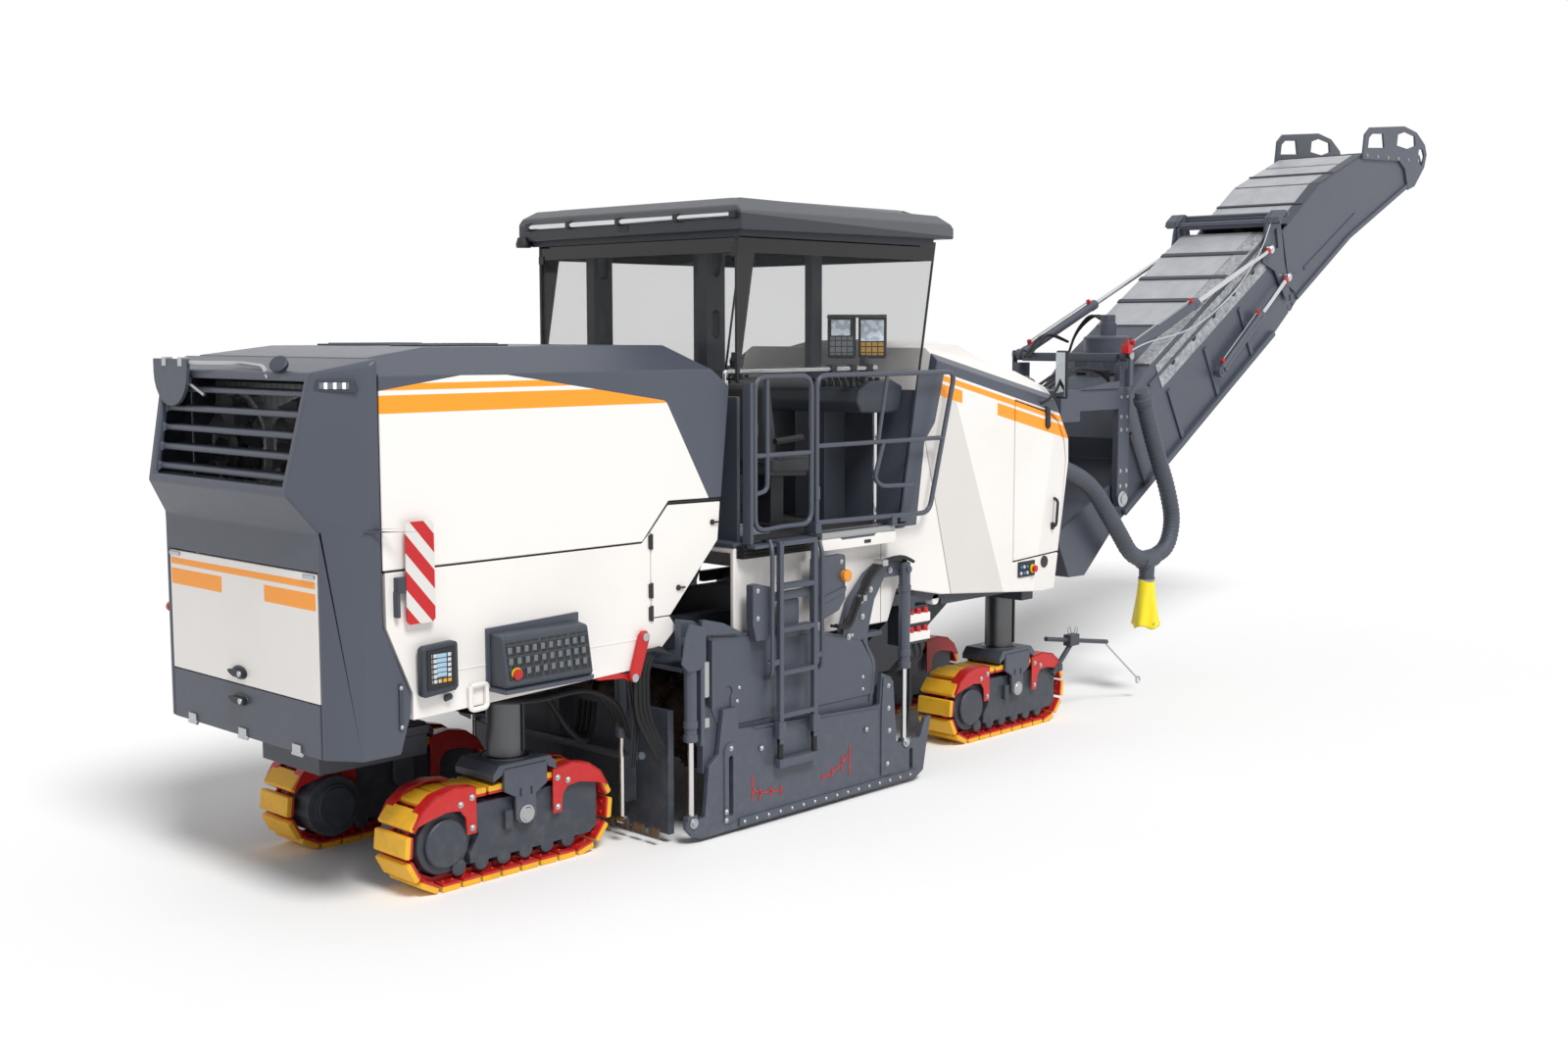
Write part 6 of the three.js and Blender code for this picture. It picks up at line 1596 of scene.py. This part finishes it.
fit(join("right_white_switches", *dots), plastic("ivory_keys", "c9cbcd", 0.4))
fit(join("right_blue_switches", *blues), plastic("blue_keys", "2c6bb3", 0.4))
fit(turned("right_stop_ring", (6.52, -1.09, 1.462), (6.52, -1.13, 1.462),
        [(0, 0.036), (0.012, 0.036), (0.016, 0.03)], 22), yellow)
fit(turned("right_stop_knob", (6.52, -1.1, 1.462), (6.52, -1.15, 1.462),
        [(0, 0.018), (0.014, 0.018), (0.016, 0.028), (0.028, 0.029), (0.034, 0.02)], 22), red)
fit(turned("right_round_port", (6.7, -1.078, 1.5), (6.7, -1.086, 1.5),
        [(0, 0.05), (0.006, 0.05), (0.007, 0.03)], 28), black)
cover = cut("nose_cover",
    [(5.5, 3.338), (6.3, 3.31), (6.78, 3.17), (6.93, 3.07), (6.9, 3.04), (6.3, 3.28),
        (5.5, 3.31)], -0.27, 0.27, 0.006)
side_cover = [
    cut("flap", [(5.6, 3.2), (6.2, 3.12), (6.62, 2.985), (6.62, 3.0), (6.2, 3.137), (5.6, 3.217)],
        s * 0.62, s * 0.84, 0.004) for s in (-1, 1)]
fit(join("nose_covers", cover, *side_cover), white)
glass_face = bare("mirror_glass", "aeb6bd", 0.06, (1, 1, 1), 0.0, slot="chrome_rod")
for s, side in ((-1, "right"), (1, "left")):
    turn = about(6.79, s * 1.17, 3.045, "Z", s * 30)
    back = block("back", (6.775, s * 1.17 - 0.1, 2.85), (6.80, s * 1.17 + 0.1, 3.245), 0.02)
    back.data.transform(turn)
    holder = tube("arm", [(6.6, s * 0.96, 2.79), (6.62, s * 1.12, 2.82), (6.72, s * 1.15, 2.9),
            (6.8, s * 1.17, 3.05)], 0.013, 0.06, 8)
    fit(join(side + "_mirror", back, holder), black)
    face = block("face", (6.768, s * 1.17 - 0.086, 2.865), (6.776, s * 1.17 + 0.086, 3.23), 0.003)
    face.data.transform(turn)
    fit(face, glass_face).name = side + "_mirror_glass"

# ---- primary conveyor and nose ----
# The primary conveyor is a dark belt box under the nose. A welded portal on the chassis rails
# holds the slewing bearing above its head.
shell("primary_conveyor", dark, 0.006)
shell("nose_console", dark, 0.008)


def plank(name, a, b, near, far, low, high, soft=0.003):
    """A flat bar along the line from a to b in x and z, at a height over that line."""
    run = Vector(b) - Vector(a)
    up = Vector((-run.y, run.x)).normalized()
    a, b = Vector(a), Vector(b)
    outline = [tuple(a + up * low), tuple(b + up * low), tuple(b + up * high),
        tuple(a + up * high)]
    return cut(name, outline, near, far, soft)


ribs = [plank("rib", (7.1, 1.85), (7.14, 1.875), -0.40, 0.40, 0.19, 0.205)]
ribs += [plank("edge", (6.9, 1.726), (7.74, 2.244), s * 0.38, s * 0.4, 0.1, 0.125)
    for s in (-1, 1)]
ribs += [plank("stiffener", (x, 0.56 + (x - 5.01) * 0.617), (x + 0.03, 0.56 + (x - 4.98) * 0.617),
        s * 0.394, s * 0.402, -0.1, 0.15) for s in (-1, 1) for x in (5.6, 6.2, 6.8, 7.3)]
fit(join("primary_conveyor_ribs", *ribs), dark)
fit(plank("belt_cover_strap", (7.15, 1.88), (7.42, 2.046), -0.401, -0.36, 0.14, 0.2, 0.004),
    white)
fit(cut("belt_apron",
        [(7.66, 2.12), (7.74, 2.2), (7.83, 2.1), (7.86, 1.9), (7.84, 1.9), (7.81, 2.08),
            (7.73, 2.15)], -0.37, 0.37, 0.004), rubber)

# ---- slewing frame ----
# A crosshead turns on the bearing, and its arms reach to two cheeks that hold the discharge
# conveyor. A drum-shaped fan with its motor sits behind the cheeks and draws dust.
shell("slewing_frame", grey, 0.008)
extras = [turned("bearing", (7.75, 0, 2.6), (7.75, 0, 2.7),
        [(0, 0.25), (0.02, 0.26), (0.08, 0.26), (0.1, 0.25)], 40),
    turned("cap", (7.75, 0, 2.88), (7.75, 0, 3.0),
        [(0, 0.19), (0.03, 0.2), (0.09, 0.16), (0.12, 0.1)], 32),
    cut("rib", [(7.9, 2.88), (8.5, 2.88), (8.5, 2.95), (8.2, 2.93)], -0.62, -0.58, 0.006),
    cut("rib", [(7.9, 2.88), (8.5, 2.88), (8.5, 2.95), (8.2, 2.93)], 0.58, 0.62, 0.006),
    block("bar", (8.56, -0.53, 3.12), (8.64, 0.53, 3.2), 0.01)]
fit(join("slewing_ribs", *extras), grey, "slewing_frame")
nuts = []
for s in (-1, 1):
    for z in (1.98, 2.12, 2.5, 2.62, 2.8):
        for x in (8.56, 8.66):
            nuts.append(bolt("nut", (x, s * 0.60, z), (x, s * 0.7, z), 0.013))
    nuts.append(turned("pivot", (8.6, s * 0.6, 1.86), (8.6, s * 0.66, 1.86),
            [(0, 0.07), (0.01, 0.075), (0.02, 0.05), (0.03, 0.05)], 24))
    nuts.append(turned("pin", (8.62, s * 0.655, 3.18), (8.62, s * 0.7, 3.18),
            [(0, 0.036), (0.012, 0.036), (0.016, 0.024)], 20))
ring = [bolt("nut",
        (7.75 + 0.225 * math.cos(a * math.pi / 8), 0.225 * math.sin(a * math.pi / 8), 2.685),
        (7.75 + 0.225 * math.cos(a * math.pi / 8), 0.225 * math.sin(a * math.pi / 8), 2.72),
        0.012) for a in range(16)]
fit(join("slewing_bolts", *nuts), zinc, "slewing_frame")
fit(join("bearing_bolts", *ring), zinc, "slewing_frame")
supply = [tube("supply", [(7.62 + i * 0.04, -0.3 - i * 0.05, 2.9), (7.9, -0.42 - i * 0.04, 3.08),
            (8.3, -0.5 - i * 0.02, 3.05), (8.5, -0.5, 2.95 + i * 0.03)], 0.014, 0.2, 8)
    for i in range(4)]
supply += [
    tube("supply", [(8.5, 0.45 - i * 0.05, 3.16), (8.75, 0.42 - i * 0.05, 3.4), (9.0, 0.3, 3.3)],
        0.014, 0.2, 8) for i in range(2)]
fit(join("slewing_hoses", *supply), rubber, "slewing_frame")
fit(join("red_valve", block("valve", (8.5, -0.7, 3.2), (8.58, -0.62, 3.28), 0.01),
        rod("stem", (8.54, -0.66, 3.27), (8.54, -0.66, 3.33), 0.02, 12)), red, "slewing_frame")

# ---- discharge conveyor ----
# Two welded sections joined by a hinge: deep side walls round a rubber belt, pale cover sheets
# on top, a portal with two tubes at the fold and thick guard plates at the head.
shell("lower_conveyor", grey, 0.006)
pale = Finish("cover_sheet", slot="grey_paint")
place = pale.place()
cloud = pale.noise(place, 5.0, 4.0)
grain = pale.noise(pale.stretch(place, (1, 6, 1)), 40.0, 3.0)
pale.set(Base_Color=pale.mix(cloud, "9a9da3", "c3c5c9"), Metallic=0.25,
    Roughness=grain * 0.2 + 0.35, Normal=pale.bump(grain, 0.0008, 0.4))
foil = Finish("insulating_foil", slot="grey_paint")
place = foil.place()
wrinkle = foil.noise(place, 22.0, 6.0, 0.75)
foil.set(Base_Color=foil.mix(wrinkle.step(0.35, 0.65), "7d8087", "c5c8cc"), Metallic=0.55,
    Roughness=wrinkle * 0.3 + 0.25, Normal=foil.bump(wrinkle, 0.012, 0.9))
belt = Finish("conveyor_belt", slot="hose_rubber")
place = belt.place()
dusty = belt.noise(place, 6.0, 5.0, 0.6)
belt.set(Base_Color=belt.mix(dusty, "1c1c1d", "3d3a36"), Roughness=dusty * 0.2 + 0.7,
    Normal=belt.bump(dusty, 0.004, 0.6))
low_a, low_b = (9.1, 3.04), (11.4, 4.42)


def along(a, b, share):
    return tuple(Vector(a) * (1 - share) + Vector(b) * share)


sheets = [
    plank("sheet", along(low_a, low_b, 0.3 + i * 0.175), along(low_a, low_b, 0.465 + i * 0.175),
        -0.33, 0.5, 0.0, 0.016) for i in range(4)]
fit(join("lower_cover_sheets", *sheets), pale, "lower_conveyor")
strips = [
    plank("strip", along(low_a, low_b, t), along(low_a, low_b, t + 0.022), -0.5, 0.5, 0.012, 0.03)
    for t in (0.46, 0.63, 0.81)]
fit(join("lower_cross_strips", *strips), dark, "lower_conveyor")
fit(plank("lower_foil_strip", along(low_a, low_b, 0.03), along(low_a, low_b, 0.97), -0.514, -0.34,
        0.0, 0.02, 0.004), foil, "lower_conveyor")
fit(plank("lower_wall_foil", (9.3, 3.0), (11.25, 4.17), -0.524, -0.513, -0.16, 0.09, 0.003), foil,
    "lower_conveyor")
rings = []
for i in range(5):
    x = 9.55 + i * 0.37
    z = 3.0 + (x - 9.3) * 0.6 - 0.03
    rings.append(
        turned("ring", (x, -0.522, z), (x, -0.55, z), [(0, 0.035), (0.01, 0.035), (0.012, 0.02)],
            18))
fit(join("lower_grommets", *rings), rubber, "lower_conveyor")
sides = []
for s in (-1, 1):
    sides += [plank("rail", (8.75, 1.69), (11.5, 3.36), s * 0.514, s * 0.56, 0.0, 0.06, 0.008),
        plank("rail", (9.15, 2.88), (11.2, 4.11), s * 0.514, s * 0.535, 0.0, 0.03, 0.004)]
    for x in (9.1, 9.75, 10.4, 11.05):
        z = 1.69 + (x - 8.75) * 0.607
        sides.append(
            plank("rib", (x, z + 0.06), (x + 0.05, z + 0.09), s * 0.514, s * 0.535, 0.0, 0.55,
                0.004))
fit(join("lower_side_rails", *sides), grey, "lower_conveyor")
run = plank("belt_run", (8.95, 2.1), (11.55, 3.86), -0.47, 0.47, 0.0, 0.02)
fit(run, belt, "lower_conveyor")
portal = [tube("tube", [(11.34, -0.66, 4.52), (11.34, 0.66, 4.52)], 0.03, 0, 14),
    tube("tube", [(11.45, -0.66, 4.6), (11.45, 0.66, 4.6)], 0.022, 0, 14)]
for s in (-1, 1):
    post = cut("post",
        [(11.2, 4.1), (11.26, 4.44), (11.3, 4.56), (11.42, 4.64), (11.52, 4.62), (11.6, 4.36),
            (11.66, 4.12), (11.8, 3.8), (11.72, 3.72), (11.46, 4.02)], s * 0.528, s * 0.548, 0.0)
    hole(post,
        cut("gap", [(11.34, 4.22), (11.38, 4.42), (11.47, 4.46), (11.52, 4.26)], s * 0.5, s * 0.6,
            0.0))
    portal.append(soften(post, 0.004))
    portal.append(
        cut("cap", [(11.28, 4.5), (11.3, 4.56), (11.42, 4.64), (11.52, 4.62), (11.5, 4.57),
                (11.42, 4.58), (11.33, 4.53)], s * 0.5, s * 0.66, 0.006))
fit(join("fold_portal", *portal), grey, "lower_conveyor")
fan = [turned("fan", (9.23, 0, 2.98), (9.23, 0, 3.6),
        [(0, 0.2), (0.02, 0.226), (0.05, 0.226), (0.06, 0.232), (0.1, 0.232), (0.11, 0.226),
            (0.32, 0.226), (0.33, 0.232), (0.36, 0.232), (0.38, 0.2), (0.385, 0.08), (0.5, 0.08),
            (0.51, 0.06), (0.58, 0.055)], 40),
    block("mount", (9.02, -0.24, 3.0), (9.1, 0.24, 3.2), 0.01)]
fit(join("dust_fan", *fan), grey, "lower_conveyor")
fan_hoses = [
    tube("hose", [(9.23 + 0.05 * i, 0.05, 3.5), (9.3 + 0.05 * i, 0.25, 3.58), (9.3, 0.42, 3.4),
            (9.2, 0.46, 3.1)], 0.013, 0.15, 8) for i in range(3)]
fit(join("dust_fan_hoses", *fan_hoses), rubber, "lower_conveyor")

# Upper section, rebuilt as side walls, sheets, belt, end drum and looped guard plates.
side_outline = [(11.905, 3.64), (12.11, 3.8), (13.158, 4.417), (14.65, 5.085), (14.774, 5.139),
    (14.96, 5.33), (14.88, 5.44), (13.446, 5.34), (12.44, 4.96), (11.76, 4.5), (11.665, 4.42),
    (11.865, 3.79)]
top_line = [(11.76, 4.50), (12.44, 4.96), (13.446, 5.34), (14.80, 5.432)]
foot_line = [(12.0, 3.735), (13.158, 4.417), (14.65, 5.085)]
hull_parts = []
for s in (-1, 1):
    hull_parts.append(cut("wall", side_outline, s * 0.487, s * 0.513, 0.005))
    guard = cut("guard",
        [(13.38, 5.29), (13.42, 5.56), (13.54, 5.645), (14.4, 5.728), (14.726, 5.685),
            (14.96, 5.56), (15.015, 5.45), (14.96, 5.3), (14.72, 5.07), (14.55, 5.02),
            (14.45, 5.25), (14.3, 5.33), (13.7, 5.3)], s * 0.515, s * 0.539, 0.0)
    hole(guard,
        cut("gap", [(13.5, 5.42), (13.52, 5.53), (13.6, 5.58), (13.86, 5.6), (13.9, 5.45)],
            s * 0.4, s * 0.7, 0.0))
    hole(guard,
        cut("gap", [(14.22, 5.5), (14.24, 5.62), (14.42, 5.665), (14.68, 5.635), (14.7, 5.53),
                (14.5, 5.48)], s * 0.4, s * 0.7, 0.0))
    hole(guard, cut("gap", [(14.78, 5.35), (14.8, 5.5), (14.9, 5.5), (14.95, 5.43), (14.9, 5.31)],
            s * 0.4, s * 0.7, 0.0))
    hull_parts.append(soften(guard, 0.005))
    hull_parts.append(
        cut("horn", [(11.622, 3.94), (11.637, 4.0), (11.96, 4.0), (12.04, 3.91), (11.96, 3.8)],
            s * 0.523, s * 0.536, 0.004))
    for a, b in zip(foot_line, foot_line[1:]):
        hull_parts.append(plank("rail", a, b, s * 0.512, s * 0.535, 0.0, 0.05, 0.004))
    hull_parts.append(
        plank("rib", (12.15, 4.05), (13.3, 4.68), s * 0.512, s * 0.525, 0.0, 0.03, 0.003))
for a, b in zip(foot_line, foot_line[1:]):
    hull_parts.append(plank("floor", a, b, -0.488, 0.488, 0.0, 0.03))
hull_parts.append(rod("knuckle", (11.87, -0.513, 3.67), (11.87, 0.513, 3.67), 0.058, 24))
hull_parts.append(
    cut("web", [(11.86, 3.625), (11.93, 3.655), (12.0, 3.75), (11.9, 3.83), (11.865, 3.79)], -0.5,
        0.5, 0.004))
fit(join("upper_conveyor_body", *hull_parts), grey, "upper_conveyor", "upper_conveyor")
covers, darks = [], []
for a, b, n in ((top_line[0], top_line[1], 2), (top_line[1], top_line[2], 3)):
    for i in range(n):
        covers.append(
            plank("sheet", along(a, b, i / n + 0.01), along(a, b, (i + 1) / n - 0.02), -0.4, 0.5,
                0.0, 0.016))
fit(join("upper_cover_sheets", *covers), pale, "upper_conveyor")
darks.append(plank("plate", (13.47, 5.345), (14.15, 5.392), -0.49, 0.49, 0.0, 0.02))
darks.append(
    plank("strip", along(top_line[0], top_line[1], 0.47), along(top_line[0], top_line[1], 0.51),
        -0.5, 0.5, 0.014, 0.03))
darks.append(
    plank("strip", along(top_line[1], top_line[2], 0.32), along(top_line[1], top_line[2], 0.35),
        -0.5, 0.5, 0.014, 0.03))
for a, b in zip(top_line, top_line[1:3]):
    darks.append(plank("strip", a, b, -0.513, -0.40, 0.0, 0.02))
fit(join("upper_dark_plates", *darks), dark, "upper_conveyor")
end_drum = [turned("drum", (14.72, -0.46, 5.27), (14.72, 0.46, 5.27),
        [(0, 0.11), (0.02, 0.135), (0.9, 0.135), (0.92, 0.11)], 28)]
upper_run = [plank("run", (12.02, 4.1), (13.4, 4.95), -0.47, 0.47, 0.0, 0.02),
    plank("run", (13.4, 4.95), (14.7, 5.405), -0.47, 0.47, 0.0, 0.02)]
fit(join("upper_belt", *end_drum, *upper_run), belt, "upper_conveyor")
rivets = []
for i in range(6):
    x = 13.48 + i * 0.26
    rivets += [
        bolt("head", (x, s * 0.538, 5.335 + i * 0.006), (x, s * 0.6, 5.335 + i * 0.006), 0.012)
        for s in (-1, 1)]
fit(join("upper_head_bolts", *rivets), zinc, "upper_conveyor")

# Hydraulic cylinders: grey barrels with red fitting blocks and a thin pipe, chromed rods.
for side, s in (("right", -1), ("left", 1)):
    for kind, low, high, share, start, body in (
        ("lift", (8.62, 3.18), (11.282, 4.233), 0.47, 0.26, "lift"),
        ("fold", (10.347, 3.003), (11.667, 3.96), 0.6, 0.3, "fold"),
    ):
        y = s * 0.584
        long = (Vector(high) - Vector(low)).length

        def spot(share, up=0.0):
            run = (Vector(high) - Vector(low)).normalized()
            place = Vector(low) * (1 - share) + Vector(high) * share + Vector(
                (-run.y, run.x)) * up
            return (place.x, y, place.y)

        def tilted(name, a, b, profile, sides=24):
            return turned(name, spot(a), spot(b), profile, sides)

        end = long * share
        barrel = tilted("barrel", 0, 1,
            [(0.03, 0.03), (0.04, 0.048), (0.1, 0.05), (0.11, 0.044), (end - 0.09, 0.044),
                (end - 0.08, 0.05), (end - 0.01, 0.05), (end, 0.046), (end, 0.026),
                (end - 0.05, 0.026)], 32)
        eye = turned("eye", (low[0], y - 0.03, low[1]), (low[0], y + 0.03, low[1]),
            [(0, 0.05), (0.004, 0.055), (0.056, 0.055), (0.06, 0.05)], 24)
        fit(join(f"{side}_{kind}_cylinder", barrel, eye), grey, f"{side}_{kind}_barrel",
            f"{side}_{kind}_barrel")
        pipe = tube("pipe", [spot(0.06, 0.04), spot(0.07, 0.068), spot(share - 0.04, 0.068),
                spot(share - 0.03, 0.045)], 0.008, 0.02, 8)
        fit(pipe, zinc, f"{side}_{kind}_barrel").name = f"{side}_{kind}_pipe"
        ports = [turned("port", spot(t, 0.03), spot(t, 0.09),
                [(0, 0.022), (0.05, 0.022), (0.055, 0.015)], 12) for t in (0.06, share - 0.035)]
        fit(join(f"{side}_{kind}_ports", *ports), red, f"{side}_{kind}_barrel")
        piston = tilted("piston", 0, 1,
            [(long * start, 0.02), (long * start + 0.005, 0.0245), (long - 0.03, 0.0245),
                (long - 0.02, 0.02)], 24)
        far_eye = turned("eye", (high[0], y - 0.028, high[1]), (high[0], y + 0.028, high[1]),
            [(0, 0.038), (0.004, 0.042), (0.052, 0.042), (0.056, 0.038)], 24)
        pin = turned("pin", (high[0], s * 0.536, high[1]), (high[0], s * 0.618, high[1]),
            [(0, 0.02), (0.004, 0.024), (0.08, 0.024)], 18)
        fit(join(f"{side}_{kind}_piston", piston, far_eye, pin), chrome, f"{side}_{kind}_rod",
            f"{side}_{kind}_rod")
        boot = turned("boot", spot(1 - 0.075 / long * 1.0), spot(1.0),
            [(0, 0.028), (0.005, 0.034), (0.028, 0.034), (0.032, 0.028)], 16)
        fit(boot, red, f"{side}_{kind}_rod").name = f"{side}_{kind}_rod_block"

# ---- dust hose ----
# A ribbed hose carries dust from the housing down to a branch piece and up to the slewing frame.
# A bright sleeve of coated cloth hangs from the branch and ends in a loose hem.


def ribbed(name, points, radius, pitch):
    """A corrugated hose along a smooth path."""
    path = bent(points, 0.6, 10)
    spots = [path[0]]
    for a, b in zip(path, path[1:]):
        steps = max(1, round((b - a).length / (pitch / 3)))
        spots += [a.lerp(b, (i + 1) / steps) for i in range(steps)]
    return swept(name, spots, radius, 3, 60, (0.92, 1.0, 0.98))


hose_grey = plastic("dust_hose_rubber", "484d57", 0.55, slot="hose_rubber")
S = -0.715
hose = ribbed("dust_hose_run",
    upright(S, (7.044, 2.3), (7.45, 2.22), (7.9, 2.06), (8.3, 1.66), (8.58, 1.36), (8.8, 1.28)),
    0.08, 0.045)
paint(hose, hose_grey, "dust_hose")
at(7.06, S, 2.3)
at(8.1, S, 1.9)
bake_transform(hose)
fit(ribbed("dust_hose_riser",
        upright(S, (8.94, 1.285), (9.22, 1.36), (9.31, 1.62), (9.2, 1.92), (8.95, 2.35),
            (8.74, 2.78)), 0.08, 0.045), hose_grey, "slewing_frame")
fit(join("hose_branch", turned("run", (8.76, S, 1.28), (9.0, S, 1.29),
            [(0, 0.078), (0.01, 0.086), (0.2, 0.086), (0.24, 0.078)], 28),
        turned("drop", (8.87, S, 1.28), (8.87, S, 1.06),
            [(0, 0.078), (0.16, 0.07), (0.165, 0.078), (0.2, 0.078), (0.205, 0.07),
                (0.22, 0.068)], 28), turned("collar", (8.76, S, 2.74), (8.7, S, 2.86),
            [(0, 0.085), (0.01, 0.09), (0.06, 0.09), (0.07, 0.07), (0.13, 0.06)], 28)), hose_grey,
    "slewing_frame")
sleeve_cloth = Finish("coated_sleeve_cloth", slot="sleeve_cloth")
place = sleeve_cloth.place()
x, y, z = sleeve_cloth.split(place)
weave = (x * 1400.0).wave() * (z * 1400.0).wave()
crumple = sleeve_cloth.noise(sleeve_cloth.stretch(place, (1, 1, 0.35)), 18.0, 4.0)
sleeve_cloth.set(Base_Color=sleeve_cloth.mix(crumple, "f7dd0c", "ffee2a"),
    Roughness=weave * 0.05 + 0.6, Normal=sleeve_cloth.bump(crumple + weave * 0.05, 0.01, 0.7),
    Sheen_Weight=0.2)
rest()
bpy.ops.mesh.primitive_cylinder_add(vertices=48, radius=1, depth=1, end_fill_type="NOTHING")
sleeve = bpy.context.object
sleeve.name = "dust_sleeve_cloth"
LEVELS = 16
edit(sleeve)
for i in range(1, LEVELS):
    bpy.ops.mesh.select_all(action="SELECT")
    bpy.ops.mesh.bisect(plane_co=(0, 0, -0.5 + i / LEVELS), plane_no=(0, 0, 1))
rest()
for vertex in sleeve.data.vertices:
    angle = math.atan2(vertex.co.y, vertex.co.x)
    fall = 0.5 - vertex.co.z
    flare = 0.073 + 0.05 * fall**1.3
    fold = 1 + 0.16 * fall * math.sin(angle * 4 + 1.2) + 0.05 * fall * math.sin(
        angle * 7 + fall * 3)
    hem = 0.016 * fall * math.sin(angle * 4 + 0.4)
    vertex.co = at(8.87 + math.cos(angle) * flare * fold * 1.05,
        S + math.sin(angle) * flare * fold, 1.098 - fall * 0.448 + hem)
outward(sleeve)
modify(sleeve, "SOLIDIFY", thickness=0.002, offset=0)
take(sleeve)
bpy.ops.object.shade_smooth()
fit(sleeve, sleeve_cloth, "slewing_frame", "dust_sleeve")
fit(turned("sleeve_band", (8.87, S, 1.1), (8.87, S, 1.07),
        [(0, 0.074), (0.002, 0.078), (0.018, 0.078), (0.02, 0.074)], 32), zinc, "slewing_frame")
eyelets = [turned("eyelet", (8.87 + dx, S - 0.118, 0.69), (8.87 + dx, S - 0.126, 0.69),
        [(0, 0.012), (0.003, 0.012), (0.004, 0.006)], 14) for dx in (-0.04, 0.05)]
fit(join("sleeve_eyelets", *eyelets), zinc, "slewing_frame")
fit(tube("slack_cable",
        [(8.56, -0.68, 3.22), (8.9, -0.64, 3.3), (9.8, -0.62, 3.42), (10.6, -0.62, 3.82),
            (11.1, -0.6, 4.25), (11.3, -0.57, 4.5)], 0.007, 0.5, 8),
    plastic("pale_cable", "b8bcc1", 0.45, slot="hose_rubber"), "lower_conveyor")
